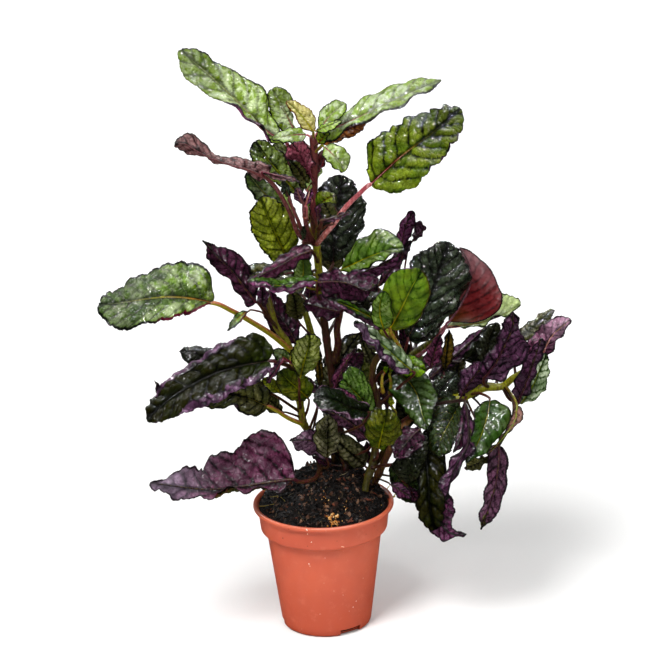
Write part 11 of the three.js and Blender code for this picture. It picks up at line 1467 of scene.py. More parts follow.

# name: raised cells, creases (these two partly painted light and shade), painted sheen, its share, veins, their share,
# midrib colours, margin, blotches, their share
KINDS.update({
    "up_silver": leaf_upper("leaf_silver_green", "#78962a", "#4c5e2a", "#c6d0b2", 0.85, "#b6c08c", 0.25, PINK_MID, "#1e1e0e", "#7e9440", 0.5, dots=1.0, crease_shade=0.22, contrast=0.3, net=0.12, domes=0.6, coat=0.3, patch=0.16, grain=0.16, edge_w=1.6, tip_c="#7c9048", tip_k=0.35),
    "up_silverolive": leaf_upper("leaf_silver_olive", "#76902c", "#46561c", "#ccd8b2", 0.78, "#a8b478", 0.25, PINK_MID, "#16180a", "#667c28", 0.6, dots=1.0, crease_shade=0.45, contrast=0.4, net=0.15, domes=0.6, coat=0.3, tip_c="#4c5c14", patch=0.16, grain=0.16, edge_w=1.6, tip_at=0.55, tip_k=0.62),
    "up_young": leaf_upper("leaf_young", "#c8c282", "#9a964c", "#d6d2a4", 0.4, "#c2b86c", 0.35, YELLOW_MID, "#7a4a20", "#a8985a", 0.5, crease_shade=0.35, contrast=0.25, net=0.2, patch=0.2, grain=0.2),
    "up_pale": leaf_upper("leaf_pale", "#a0ba5c", "#4c6a24", "#d4deb8", 0.65, "#aebc7c", 0.25, GREEN_MID, "#1c240c", "#7d9c40", 0.5, dots=0.9, crease_shade=0.45, contrast=0.38, net=0.15, domes=0.6, coat=0.3, patch=0.16, grain=0.16, edge_w=1.6),
    "up_olive": leaf_upper("leaf_olive", "#5e6a04", "#121c02", "#7e8e48", 0.36, "#1a2602", 0.55, CRIMSON_MID, "#0c0607", "#2c4a04", 0.6, coat=0.45, wrinkle=0.6, base_c="#6c7c24", crease_shade=0.26, contrast=0.6, net=0.3, patch=0.25, grain=0.24, coat_rough=0.08, tip_c="#1c2806", tip_at=0.62, mid_k=0.85, tip_k=0.6),
    "up_grey": leaf_upper("leaf_grey_green", "#6a8a10", "#26380e", "#9ca684", 0.85, "#a8b48c", 0.35, ROSE_MID, "#0a0a06", "#243a08", 0.85, base_c="#86983a", tip_c="#2c3a22", dots=1.0, crease_shade=0.6, contrast=0.46, net=0.12, domes=0.7, coat=0.3, edge_w=2.2, side=(1, "#480a1e", 0.5), patch=0.22, grain=0.18, tip_at=0.5, tip_k=0.62),
    "up_greydark": leaf_upper("leaf_grey_dark", "#3a3a18", "#070b03", "#84806c", 0.55, "#3c4428", 0.3, DARK_MID, "#0c0509", "#141d08", 0.5, coat=0.5),
    "up_greyolive": leaf_upper("leaf_grey_olive", "#5c661c", "#141d07", "#9c9e74", 0.5, "#7c8848", 0.35, YELLOW_MID, "#0c070a", "#26380c", 0.6, coat=0.45, contrast=0.42, crease_shade=0.75, mid_w=1.4),
    "up_bright": leaf_upper("leaf_olive_green", "#848c10", "#3c4806", "#a4ac6c", 0.30, "#2e3a06", 0.45, YELLOW_MID, "#1c1a04", "#56640a", 0.6, wrinkle=0.5, contrast=0.4, net=0.5, crease_shade=0.5, coat=0.45, coat_rough=0.08),
    "up_smooth": leaf_upper("leaf_smooth_green", "#4c680a", "#1e3a02", "#8ca050", 0.22, "#6a8a14", 0.25, YELLOW_MID, "#4a4408", "#5e6c06", 0.55, wrinkle=0.15, contrast=0.20, net=0.12, crease_shade=0.25, coat=0.9, coat_rough=0.16, grain=0.10, patch=0.5, domes=0.1, base_c="#5a640a", edge_w=2.0),
    "up_glossy": leaf_upper("leaf_glossy_green", "#4a6a10", "#0d2204", "#9cb078", 0.38, "#6c8420", 0.3, YELLOW_MID, "#0e1204", "#1e3c06", 0.6, wrinkle=0.5, coat=0.8, coat_rough=0.08, contrast=0.42, crease_shade=0.7),
    "up_dark": leaf_upper("leaf_dark_olive", "#3a3a08", "#080b02", "#807c62", 0.26, "#12180a", 0.3, DARK_MID, "#080304", "#18220a", 0.6, wrinkle=0.7, coat=0.8, coat_rough=0.06, contrast=0.5, crease_shade=0.8),
    "up_black": leaf_upper("leaf_blackish", "#15180a", "#030401", "#3a3c30", 0.2, "#08080a", 0.3, DARK_MID, "#030202", "#0c1206", 0.5, wrinkle=0.7, coat=0.6),
    "up_wetolive": leaf_upper("leaf_wet_olive", "#1a1904", "#050702", "#34341c", 0.03, "#080a03", 0.4, DARK_MID, "#050304", "#141a06", 0.6, wrinkle=0.45, coat=0.15, coat_rough=0.06, base_c="#1e2806", contrast=0.5, crease_shade=0.85, domes=0.2, mid_k=0.5, patch=0.25),
    "up_satin": leaf_upper("leaf_satin_green", "#2c3c10", "#0e2206", "#607058", 0.28, "#5c7c24", 0.25, YELLOW_MID, "#0e1404", "#1c3c0a", 0.6, wrinkle=0.45, contrast=0.4, net=0.12, crease_shade=0.25, coat=0.45, coat_rough=0.16, grain=0.10, patch=0.35, domes=0.15),
    "up_greysatin": leaf_upper("leaf_satin_grey", "#5c7444", "#1a2c14", "#b0b8a2", 0.85, "#7c8c6c", 0.25, GREEN_MID, "#14180c", "#2c4420", 0.6, wrinkle=0.45, contrast=0.34, net=0.15, crease_shade=0.4, coat=0.35, coat_rough=0.2, grain=0.10, patch=0.35, domes=0.2),
    "up_satinlight": leaf_upper("leaf_satin_light", "#4e6618", "#143006", "#98a478", 0.38, "#74902c", 0.3, YELLOW_MID, "#141804", "#2a4a08", 0.6, wrinkle=0.5, contrast=0.36, net=0.15, crease_shade=0.4, coat=0.45, coat_rough=0.16, grain=0.10, patch=0.4, domes=0.2),
    "up_wetbright": leaf_upper("leaf_wet_bright", "#5c6c0c", "#0c1203", "#98a484", 0.3, "#34400a", 0.4, YELLOW_MID, "#070504", "#20300a", 0.75, wrinkle=0.8, coat=0.8, coat_rough=0.08, contrast=0.5, crease_shade=0.8, domes=0.6),
    "up_wet": leaf_upper("leaf_wet_dark", "#141c0c", "#040702", "#78866e", 0.14, "#070f08", 0.3, DARK_MID, "#040304", "#0c1a0c", 0.5, wrinkle=1.0, coat=1.0, coat_rough=0.085, contrast=0.6, crease_shade=0.8, wet=3.0, domes=0.8, cell=230.0, mid_k=0.3, rough=0.5),
    "up_lime": leaf_upper("leaf_lime", "#e4f2b4", "#b8d084", "#f2fad8", 0.6, "#e8f4bc", 0.35, [(0.0, "#c06c78"), (0.2, "#c8b070"), (1.0, "#b4c070")], "#3c4a1c", "#b4c884", 0.5, coat=0.2, crease_shade=0.3, contrast=0.2, dots=0.6, patch=0.15, grain=0.15),
    "up_magenta": leaf_upper("leaf_magenta", "#4c1030", "#1a040e", "#7a4a64", 0.3, "#240614", 0.4, [(0.0, "#903050"), (1.0, "#601830")], "#10040a", "#340a20", 0.5, coat=0.2),
    "up_olivebrown": leaf_upper("leaf_olive_brown", "#3e3008", "#0e0902", "#6c5c34", 0.2, "#140c01", 0.3, DARK_MID, "#0c0402", "#222003", 0.5, coat=0.2, contrast=0.42),
    "up_darkgreen": leaf_upper("leaf_deep_green", "#0c1304", "#040703", "#242c1c", 0.03, "#080d03", 0.3, DARK_MID, "#6a4c74", "#0c1a06", 0.5, coat=0.5, edge_w=2.2, contrast=0.42, mid_k=0.5),
    "up_yolive": leaf_upper("leaf_yellow_olive", "#4c5006", "#222806", "#8a8c48", 0.15, "#3a3e04", 0.5, YELLOW_MID, "#2c3006", "#30480c", 0.6, wrinkle=0.5, contrast=0.35, net=0.4),
    "up_midgreen": leaf_upper("leaf_mid_green", "#344f10", "#0c1803", "#7c9458", 0.15, "#607420", 0.35, YELLOW_MID, "#0a0a05", "#1c3a08", 0.6, coat=0.3, contrast=0.42, crease_shade=0.7),
    "up_vivid": leaf_upper("leaf_vivid_green", "#6e9406", "#365404", "#a4b850", 0.25, "#7a970d", 0.3, YELLOW_MID, "#2b3204", "#4a6f05", 0.5, coat=0.3, contrast=0.35),
    "up_wetveined": leaf_upper("leaf_wet_veined", "#182608", "#040803", "#5c6850", 0.15, "#7c7e14", 0.65, YELLOW_MID, "#050404", "#0e200a", 0.5, wrinkle=0.9, coat=0.8, coat_rough=0.05, contrast=0.45, crease_shade=0.7, domes=0.6, wet=1.8),
    "un_lilac": leaf_under("underside_lilac", "#4e2f48", "#1e0c20", "#160a18", "#8c788c", 0.35),
    "un_plum": leaf_under("underside_plum", "#48243e", "#0f0612", "#0b040c", "#766474", 0.28, contrast=0.5),
    "un_violet": leaf_under("underside_violet", "#5c2640", "#14060e", "#10040a", "#7c5c70", 0.3),
    "un_purple": leaf_under("underside_purple", "#582446", "#13060f", "#0d040a", "#8a6c82", 0.30, coat=0.3, coat_rough=0.12),
    "un_darkpurple": leaf_under("underside_dark_purple", "#421a30", "#0b0409", "#080306", "#60485a", 0.20),
    "un_brown": leaf_under("underside_brown", "#745050", "#36201f", "#2a1416", "#a08884", 0.45, contrast=0.3, coat=0.12, patch=0.25),
    "un_magenta": leaf_under("underside_magenta", "#8c4654", "#2c0a14", "#240810", "#b08490", 0.25, contrast=0.5),
    "un_rust": leaf_under("underside_rust", "#c88450", "#4c220e", "#3c1408", "#b88450", 0.4, contrast=0.25),
    "un_wine": leaf_under("underside_wine", "#5e181a", "#34080d", "#2c060b", "#8a4a4c", 0.25, rough=0.42, coat=0.08, vein=0.40, base_glow_tint="#5e3a12", tip_c="#8c6468", wrinkle=0.12, net=0.15, contrast=0.2, crease_shade=0.2, grain=0.12, patch=0.18, domes=0.1, coat_rough=0.22),
    "un_mauve": leaf_under("underside_mauve", "#563448", "#170b13", "#10060c", "#806878", 0.3),
    "un_lavender": leaf_under("underside_lavender", "#846078", "#3a2438", "#2a1828", "#9c8894", 0.5, contrast=0.3),
    "un_winepink": leaf_under("underside_wine_pink", "#5c3048", "#1c0a13", "#12050b", "#8c6478", 0.35, tip_c="#bc98ac"),
    "un_pinkmauve": leaf_under("underside_pink_mauve", "#8c6660", "#4a3034", "#5c481c", "#ac9688", 0.5, contrast=0.3),
    "un_bigpurple": leaf_under("underside_broad_purple", "#602c46", "#1a0711", "#12050c", "#84727e", 0.38, edge_c="#140509", wrinkle=0.8, contrast=0.34, crease_shade=0.8, net=0.4, coat=0.08, tip_c="#7c6c7c"),
})
PETIOLE.update({
    "brown": bark("petiole_brown", [(0.0, "#4c2018"), (0.4, "#5e2c2a"), (1.0, "#5a3634")], 0.36, blotch="#74444a"),
    "ruddy": bark("petiole_ruddy", [(0.0, "#a88c20"), (0.35, "#98902c"), (0.7, "#8c2018"), (1.0, "#9c8c1c")], 0.34, blotch="#8c1c24"),
    "pink": bark("petiole_pink", [(0.0, "#8a4632"), (0.2, "#b06460"), (0.45, "#a44650"), (0.8, "#8c5c4c"), (1.0, "#6a5a40")], 0.34, blotch="#d09c98"),
    "crimson": bark("petiole_crimson", [(0.0, "#54241c"), (0.35, "#64202c"), (0.55, "#5c1a2a"), (1.0, "#34161e")], 0.34, blotch="#7c3444"),
    "yellow": bark("petiole_yellow", [(0.0, "#8a5428"), (0.3, "#a4603c"), (0.45, "#a84a40"), (0.6, "#98903a"), (1.0, "#5a6024")], 0.34, blotch="#b88c40", under="#8c8414", long=False),
    "green": bark("petiole_green", [(0.0, "#6a5a18"), (0.3, "#74780e"), (0.55, "#788420"), (1.0, "#3f4a14")], 0.34, blotch="#8c4c2c", long=False),
    "maroon": bark("petiole_maroon", [(0.0, "#2c140e"), (0.4, "#4a1a1c"), (0.6, "#381222"), (1.0, "#1c0c16")], 0.38, blotch="#4c3c10", long=False),
    "dark": bark("petiole_dark", [(0.0, "#241612"), (0.5, "#2c1c1a"), (1.0, "#180f16")], 0.4),
})


for seed, (name, spec) in enumerate(LEAVES.items()):
    ob = leaf_object("v_" + name, spec, seed + 1)
    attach(ob, "root")
    if spec.get("node"):
        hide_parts(spec["node"])

# ---------------------------------------------------------------- stems
STEM_MAT = {
    "stem_main": bark("stem_main_skin", [(0.0, "#24150c"), (0.35, "#34200e"), (0.47, "#3e2410"), (0.52, "#7c7c0e"), (0.70, "#8c8a12"), (0.745, "#5c3420"), (0.78, "#561f24"), (1.0, "#64302c")], blotch="#4a1a1c"),
    "stem_left": bark("stem_left_skin", [(0.0, "#1c100a"), (0.15, "#4c3c10"), (0.4, "#74760e"), (0.8, "#7c7c14"), (1.0, "#6c6414")], blotch="#5a2a24"),
    "stem_back": bark("stem_back_skin", [(0.0, "#20140a"), (0.4, "#463812"), (0.6, "#80800e"), (1.0, "#74780e")], blotch="#4a3410"),
    "stem_front": bark("stem_front_skin", [(0.0, "#3c3a10"), (0.3, "#34260e"), (0.7, "#3c1c18"), (1.0, "#4c3a14")], blotch="#4a4410"),
    "stem_mid": bark("stem_mid_skin", [(0.0, "#24180a"), (0.5, "#4a4410"), (1.0, "#76780e")], blotch="#3c2014"),
    "stem_right": bark("stem_right_skin", [(0.0, "#34180e"), (0.3, "#6c4030"), (0.45, "#7c5a18"), (0.6, "#84840c"), (1.0, "#808010")], blotch="#5a4410"),
}
JOINTS = {}
for name, spec in LEAVES.items():
    if len(spec["pet"]):
        JOINTS[name] = np.asarray(spec["pet"][0], float)
for name, (P, rf, rt) in STEMS.items():
    P = line(np.asarray(P, float), 90)
    s = np.linspace(0, 1, 90)
    rad = rf + (rt - rf) * s
    for q in JOINTS.values():
        d = np.linalg.norm(P - q, axis=1)
        k = int(d.argmin())
        if d[k] < 3.2 and 3 < k < 88:
            dist = np.abs(np.arange(90) - k) * (np.linalg.norm(np.diff(P, axis=0), axis=1).mean())
            rad = np.maximum(rad, (rf + (rt - rf) * s[k]) * (1 + 0.32 * np.exp(-(dist / 1.9) ** 2)))
    if name == "stem_right":                        # the swollen knees of the right stem
        rad = rad * (1 + 0.5 * np.exp(-((s - 0.60) / 0.10) ** 2) + 0.35 * np.exp(-((s - 0.80) / 0.05) ** 2))
    rad = rad * (1 + 0.035 * noise2(s * 40, s * 0, 4))
    V, F = tube(P, rad, 16)
    A = {"along": np.r_[np.repeat(s, 16), 0, 1]}
    ob = make_object("v_" + name, V * MM, F, [STEM_MAT[name]], None, A)
    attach(ob, "root")
    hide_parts(name)

# ---------------------------------------------------------------- pot
POT_PROFILE = [(0, 0), (10, 0), (20, 0), (26.6, 0), (27.6, 0.25), (28.3, 0.8), (28.7, 1.6), (29.3, 6), (30.4, 14), (31.7, 24), (33.0, 34), (34.3, 44), (35.6, 54), (36.7, 62.4),
               (36.95, 64.2), (37.3, 65.0), (38.2, 65.45), (39.3, 65.6), (40.1, 65.75), (40.5, 66.2), (40.7, 67.2), (41.2, 71.5), (41.75, 76), (42.2, 79.4),
               (42.6, 80.05), (43.4, 80.25), (44.3, 80.35), (44.85, 80.6), (45.0, 81.1), (45.0, 82.0), (44.85, 82.55), (44.45, 82.9), (43.9, 83.0), (43.0, 82.85),
               (42.3, 82.3), (41.8, 81.3), (41.5, 79.6), (40.6, 73), (39.8, 68.6), (39.3, 67.2), (38.3, 66.4), (36.9, 65.8), (36.1, 64.6), (34.9, 56), (32.2, 36), (29.4, 14), (27.9, 3), (27.0, 1.9), (25.5, 1.6), (12, 1.6), (0, 1.6)]
NOTCHES = (-58.0, 62.0, 182.0)


def lathe(profile, n):
    P = np.asarray(profile, float)
    a = np.linspace(0, 2 * np.pi, n, endpoint=False)
    V, rings, F = [], [], []
    for r, z in P:
        if r < 1e-6:
            rings.append([len(V)])
            V.append((0, 0, z))
        else:
            rings.append(list(range(len(V), len(V) + n)))
            V += [(r * math.cos(q), r * math.sin(q), z) for q in a]
    for A_, B_ in zip(rings[:-1], rings[1:]):
        for k in range(n):
            k2 = (k + 1) % n
            if len(A_) == 1:
                F.append((A_[0], B_[k2], B_[k]))
            elif len(B_) == 1:
                F.append((A_[k], A_[k2], B_[0]))
            else:
                F.append((A_[k], A_[k2], B_[k2], B_[k]))
    return np.array(V, float), F


def pot_material():
    g = Graph("pot_terracotta_plastic")
    co = g.coords()
    sep = g.new("ShaderNodeSeparateXYZ")
    g.put(sep.inputs[0], co)
    z = sep.outputs["Z"]
    cloud = g.noise(28.0, 3.0, 0.55)
    fine = g.noise(900.0, 3.0, 0.6)
    mid = g.noise(160.0, 4.0, 0.6)
    col = g.mix(g.step(cloud, 0.3, 0.7), lin("#cf5f40"), lin("#c4553a"))
    # painted shade: darker towards the bottom and darkest at the foot
    col = g.mix(g.step(z, 0.0, 0.055, 1.0, 0.0), col, lin("#b94c2e"))
    col = g.mix(g.step(z, 0.006, 0.0, 0.0, 0.75), col, lin("#a83c1c"))
    col = g.mix(g.math("MULTIPLY", g.step(mid, 0.55, 0.75), 0.3), col, lin("#dc7757"))
    # painted light and shade: the lip's top is a little brighter and a darker shade line runs under the band
    col = g.mix(g.step(z, 0.0802, 0.0826, 0.0, 0.6), col, lin("#da6e4a"))
    under_band_shade = g.math("MULTIPLY", g.step(z, 0.0638, 0.0652), g.step(z, 0.0668, 0.0656))
    col = g.mix(g.math("MULTIPLY", under_band_shade, 0.35), col, lin("#a84a32"))
    # pale mineral dust and a few dark smears
    dust = g.math("MULTIPLY", g.step(g.noise(420.0, 5.0, 0.7), 0.66, 0.74), 0.55)
    col = g.mix(dust, col, lin("#e8a183"))
    dirt = g.math("MULTIPLY", g.step(g.noise(300.0, 4.0, 0.65, distortion=0.5), 0.70, 0.78), 0.6)
    col = g.mix(dirt, col, lin("#8a4a34"))
    scratch = g.new("ShaderNodeTexNoise")
    mp = g.new("ShaderNodeMapping")
    mp.inputs["Scale"].default_value = (1400.0, 1400.0, 90.0)
    mp.inputs["Rotation"].default_value = (0.2, 0.35, 0.0)
    g.put(mp.inputs["Vector"], co)
    g.put(scratch.inputs["Vector"], mp.outputs[0])
    scratch.inputs["Scale"].default_value = 1.0
    scratch.inputs["Detail"].default_value = 2.0
    rough = g.step(mid, 0.3, 0.75, 0.36, 0.50)
    n1 = g.bump(fine, 0.22, 0.0002)
    n2 = g.bump(scratch.outputs["Fac"], 0.10, 0.00015, n1)
    n3 = g.bump(g.noise(60.0, 2.0, 0.5), 0.35, 0.0009, n2)
    g.bsdf.inputs["Subsurface Weight"].default_value = 0.05
    g.bsdf.inputs["Subsurface Scale"].default_value = 0.002
    return g.out(col, rough, n3, Specular_IOR_Level=0.45)


POT_MAT = pot_material()
V, F = lathe(POT_PROFILE, 192)
pot = make_object("v_pot", V * MM, F, [POT_MAT])
for q, deg in enumerate(NOTCHES):
    a = math.radians(deg)
    c, s = math.cos(a), math.sin(a)
    bx = []
    for x in (24.9, 34.0):
        for y in (-7.5, 7.5):
            for zz in (-3.0, 4.5 - 0.05 * abs(y)):
                bx.append(((x * c - y * s) * MM, (x * s + y * c) * MM, zz * MM))
    cutter = make_object("cut", bx, [(0, 1, 3, 2), (4, 6, 7, 5), (0, 4, 5, 1), (2, 3, 7, 6), (0, 2, 6, 4), (1, 5, 7, 3)], [POT_MAT], smooth=False)
    m = pot.modifiers.new("notch", "BOOLEAN")
    m.operation, m.solver, m.object = "DIFFERENCE", "EXACT", cutter
    bpy.context.view_layer.update()
    me = bpy.data.meshes.new_from_object(pot.evaluated_get(bpy.context.evaluated_depsgraph_get()))
    pot.modifiers.clear()
    pot.data = me
    bpy.data.objects.remove(cutter)
pot.data.name = "v_pot"
me = pot.data
me.polygons.foreach_set("use_smooth", np.ones(len(me.polygons), bool))
me.set_sharp_from_angle(angle=math.radians(38))
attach(pot, "root")
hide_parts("pot")

# ---------------------------------------------------------------- soil
rng = np.random.default_rng(41)


def soil_z(x, y):
    px, py = x, y
    for _ in range(12):
        q = np.clip(1 - (px * px + py * py) / 41.3 ** 2, 0, 1)
        px, py = x - 5 * q, y - 8 * q
    r = np.sqrt(px * px + py * py)
    z = 80 + 24 * np.clip(1 - (r / 44) ** 2, 0, 1) ** 1.1
    z = z - 1.4 * np.clip((r - 37.0) / 4.0, 0, 1)
    fade = np.clip((41.2 - r) / 5, 0.15, 1)
    z = z + fade * (1.5 * noise2(x / 9.0, y / 9.0, 3) + 0.9 * noise2(x / 3.7 + 4, y / 3.7, 5) + 0.45 * noise2(x / 1.5, y / 1.5, 8))
    return z


def soil_material():
    g = Graph("soil_dark_peat")
    n = g.noise(900.0, 6.0, 0.7)
    b = g.noise(240.0, 3.0, 0.6)
    col = g.ramp(n, [(0.35, lin("#010101")), (0.52, lin("#080504")), (0.64, lin("#1c120c")), (0.80, lin("#3c281c"))])
    col = g.mix(g.math("MULTIPLY", g.step(b, 0.6, 0.75), 0.4), col, lin("#2c1812"))
    nrm = g.bump(n, 0.9, 0.0012)
    return g.out(col, g.step(b, 0.3, 0.7, 0.5, 0.9), nrm, Specular_IOR_Level=0.06)


def crumb_material(name, stops, rough, scale=1100.0, bump=0.6, spec=0.10):
    g = Graph(name)
    r = g.attr("rnd")
    n = g.noise(scale, 4.0, 0.65)
    f = g.math("ADD", r, g.math("MULTIPLY", g.math("SUBTRACT", n, 0.5), 0.5))
    return g.out(g.ramp(f, [(p, lin(c)) for p, c in stops]), rough, g.bump(n, bump, 0.0005), Specular_IOR_Level=spec)


SOIL_MAT = soil_material()
CRUMB_MAT = crumb_material("soil_crumbs", [(0.0, "#020101"), (0.45, "#0a0605"), (0.7, "#20140e"), (0.88, "#4a3022"), (1.0, "#7a5a44")], 0.5)
CHIP_MAT = crumb_material("bark_chips", [(0.0, "#1c100b"), (0.5, "#34190f"), (0.8, "#5a2c1c"), (1.0, "#7a4430")], 0.6)
TAN_MAT = crumb_material("mineral_bits", [(0.0, "#7a4418"), (0.45, "#b87430"), (0.75, "#d8a35a"), (1.0, "#ecd2a0")], 0.65)
FIBRE_MAT = crumb_material("soil_fibres", [(0.0, "#0d0906"), (0.5, "#241a12"), (0.8, "#4a3c2a"), (1.0, "#8a7c60")], 0.6)
ROOT_MAT = crumb_material("thin_roots", [(0.0, "#8a7430"), (1.0, "#c8b460")], 0.5)
PALE_MAT = crumb_material("pale_specks", [(0.0, "#d8a888"), (0.5, "#eccbb0"), (1.0, "#f4e6d6")], 0.6)

nr, na = 62, 168
rr = np.linspace(0, 1, nr) ** 0.8 * 41.3
aa = np.linspace(0, 2 * np.pi, na, endpoint=False)
V = [(0, 0, float(soil_z(np.array(0.0), np.array(0.0))))]
X, Y = rr[1:, None] * np.cos(aa), rr[1:, None] * np.sin(aa)
V += list(zip(X.ravel(), Y.ravel(), soil_z(X, Y).ravel()))
F = [(0, 1 + k, 1 + (k + 1) % na) for k in range(na)]
for i in range(nr - 2):
    for k in range(na):
        k2 = (k + 1) % na
        F.append((1 + i * na + k, 1 + (i + 1) * na + k, 1 + (i + 1) * na + k2, 1 + i * na + k2))
edge0 = 1 + (nr - 2) * na
last = [edge0 + k for k in range(na)]
for r_, z_ in ((39.3, 68.4), (35.9, 63.6), (32.0, 36.0), (27.2, 3.0), (26.4, 2.0)):
    ring = list(range(len(V), len(V) + na))
    V += [(r_ * math.cos(q), r_ * math.sin(q), z_) for q in aa]
    F += [(last[k], ring[k], ring[(k + 1) % na], last[(k + 1) % na]) for k in range(na)]
    last = ring
V.append((0, 0, 2.0))
F += [(last[k], len(V) - 1, last[(k + 1) % na]) for k in range(na)]
soil = make_object("v_soil", np.array(V) * MM, F, [SOIL_MAT])
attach(soil, "root")
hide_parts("soil")

ICO_V, ICO_F = [], []
g_ = (1 + 5 ** 0.5) / 2
for s1 in (-1, 1):
    for s2 in (-1, 1):
        ICO_V += [(0, s1, s2 * g_), (s1, s2 * g_, 0), (s2 * g_, 0, s1)]
ICO_V = unit(np.array(ICO_V, float))
for i in range(12):
    for j in range(i + 1, 12):
        for k in range(j + 1, 12):
            d = [np.linalg.norm(ICO_V[p] - ICO_V[q]) for p, q in ((i, j), (j, k), (i, k))]
            if max(d) < 1.1:
                n_ = np.cross(ICO_V[j] - ICO_V[i], ICO_V[k] - ICO_V[i])
                ICO_F.append((i, j, k) if n_ @ ICO_V[i] > 0 else (i, k, j))
ICO_F = np.array(ICO_F)


def rot(rng_):
    q = rng_.normal(size=4)
    q /= np.linalg.norm(q)
    w, x, y, z = q
    return np.array([[1 - 2 * (y * y + z * z), 2 * (x * y - z * w), 2 * (x * z + y * w)],
                     [2 * (x * y + z * w), 1 - 2 * (x * x + z * z), 2 * (y * z - x * w)],
                     [2 * (x * z - y * w), 2 * (y * z + x * w), 1 - 2 * (x * x + y * y)]])


def lumps(name, places, mat, rng_, rough=0.3):
    """Small irregular lumps joined into one mesh. places: (x, y, z, (sx, sy, sz), tone)."""
    VV, FF, tone = [], [], []
    for k, (x, y, z, size, t_) in enumerate(places):
        v = ICO_V * (1 + rough * rng_.normal(size=(12, 1)).clip(-1.4, 1.4)) * np.array(size)
        v = v @ rot(rng_).T + np.array([x, y, z])
        VV.append(v)
        FF.append(ICO_F + 12 * k)
        tone += [t_] * 12
    VV, FF = np.vstack(VV), np.vstack(FF)
    ob = make_object(name, VV * MM, FF.tolist(), [mat], None, {"rnd": np.array(tone)}, smooth=False)
    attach(ob, "root")
    return ob


def on_soil(n, rmax, rng_):
    r = rmax * np.sqrt(rng_.random(n))
    a = 2 * np.pi * rng_.random(n)
    x, y = r * np.cos(a), r * np.sin(a)
    return x, y, soil_z(x, y)


x, y, z = on_soil(3600, 40.3, rng)
sz = 0.38 + 1.45 * rng.random(3600) ** 3.0
lumps("v_soil_crumbs", [(a, b, c - 0.1 * s, (s, s * q, s * 0.8), t_) for a, b, c, s, q, t_ in zip(x, y, z, sz, 0.6 + 0.6 * rng.random(3600), rng.random(3600) ** 1.5)], CRUMB_MAT, rng)
x, y, z = on_soil(150, 39.0, rng)
lumps("v_bark_chips", [(a, b, c + 0.2, (s, s * 0.45, s * 0.25), t_) for a, b, c, s, t_ in zip(x, y, z, 1.0 + 2.6 * rng.random(150) ** 2, rng.random(150))], CHIP_MAT, rng, 0.2)
bits = []
for cx, cy, n_, sp, big_ in SOIL_BITS:
    for _ in range(n_):
        a, b = cx + rng.normal() * sp, cy + rng.normal() * sp
        if math.hypot(a, b) < 40.2:
            s = big_ * (0.35 + 0.8 * rng.random())
            bits.append((a, b, float(soil_z(np.array(a), np.array(b))) + 0.3 + 0.3 * s, (s, s * 0.75, s * 0.6), rng.random()))
x, y, z = on_soil(70, 39.5, rng)
bits += [(a, b, c + 0.2, (s, s * 0.7, s * 0.6), t_) for a, b, c, s, t_ in zip(x, y, z, 0.22 + 0.35 * rng.random(70), rng.random(70))]
lumps("v_mineral_bits", bits, TAN_MAT, rng)

VV, FF, tone, n0 = [], [], [], 0
for k in range(520):
    r, a = 39.5 * math.sqrt(rng.random()), 2 * math.pi * rng.random()
    h, bend, ln_ = 2 * math.pi * rng.random(), rng.normal() * 0.5, 2.0 + 7.0 * rng.random() ** 1.6
    p, q = np.array([r * math.cos(a), r * math.sin(a)]), []
    lift = 0.15 + 0.8 * rng.random() ** 2
    for j in range(7):
        f = j / 6
        pp = p + ln_ * (f - 0.5) * np.array([math.cos(h + bend * f), math.sin(h + bend * f)])
        rad_ = math.hypot(*pp)
        if rad_ > 40.4:
            pp *= 40.4 / rad_
        q.append((pp[0], pp[1], float(soil_z(np.array(pp[0]), np.array(pp[1]))) + 0.1 + lift * math.sin(math.pi * f) + 0.1 * rng.normal()))
    w = 0.07 + 0.13 * rng.random()
    v_, f_ = tube(np.array(q), np.full(7, w), 4)
    VV.append(v_)
    FF += [tuple(i + n0 for i in t_) for t_ in f_]
    n0 += len(v_)
    tone += [rng.random() ** 2.2] * len(v_)
fib = make_object("v_soil_fibres", np.vstack(VV) * MM, FF, [FIBRE_MAT], None, {"rnd": np.array(tone)})
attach(fib, "root")

VV, FF, n0 = [], [], 0
for pts in THIN_ROOTS:
    P = []
    for a, b, dz in pts:
        P.append((a, b, float(soil_z(np.array(a), np.array(b))) + dz))
    v_, f_ = tube(line(np.array(P), 14), np.linspace(0.42, 0.2, 14), 6)
    VV.append(v_)
    FF += [tuple(i + n0 for i in t_) for t_ in f_]
    n0 += len(v_)
roots = make_object("v_thin_roots", np.vstack(VV) * MM, FF, [ROOT_MAT], None, {"rnd": np.full(n0, 0.5)})
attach(roots, "root")


# specks of soil and pale grit that stick to the pot's wall
def pot_radius(z):
    P = np.array(POT_PROFILE[3:29], float)
    return float(np.interp(z, P[:, 1], P[:, 0]))


def wall_specks(name, items, mat):
    out = []
    for deg, z_, w, h in items:
        a = math.radians(deg)
        r = pot_radius(z_) + 0.02
        out.append((r * math.cos(a), r * math.sin(a), z_, w, h, a))
    VV, FF, tone = [], [], []
    for k, (x_, y_, z_, w, h, a) in enumerate(out):
        v = ICO_V * (1 + 0.22 * rng.normal(size=(12, 1)).clip(-1.2, 1.2)) * np.array([0.16, w, h])
        R_ = np.array([[math.cos(a), -math.sin(a), 0], [math.sin(a), math.cos(a), 0], [0, 0, 1]])
        tw = rng.normal() * 0.4
        Tw = np.array([[1, 0, 0], [0, math.cos(tw), -math.sin(tw)], [0, math.sin(tw), math.cos(tw)]])
        VV.append(v @ Tw.T @ R_.T + np.array([x_, y_, z_]))
        FF.append(ICO_F + 12 * k)
        tone += [rng.random()] * 12
    ob = make_object(name, np.vstack(VV) * MM, np.vstack(FF).tolist(), [mat], None, {"rnd": np.array(tone)})
    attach(ob, "root")


wall_specks("v_pale_specks", PALE_SPECKS, PALE_MAT)
wall_specks("v_dark_specks", DARK_SPECKS, CRUMB_MAT)

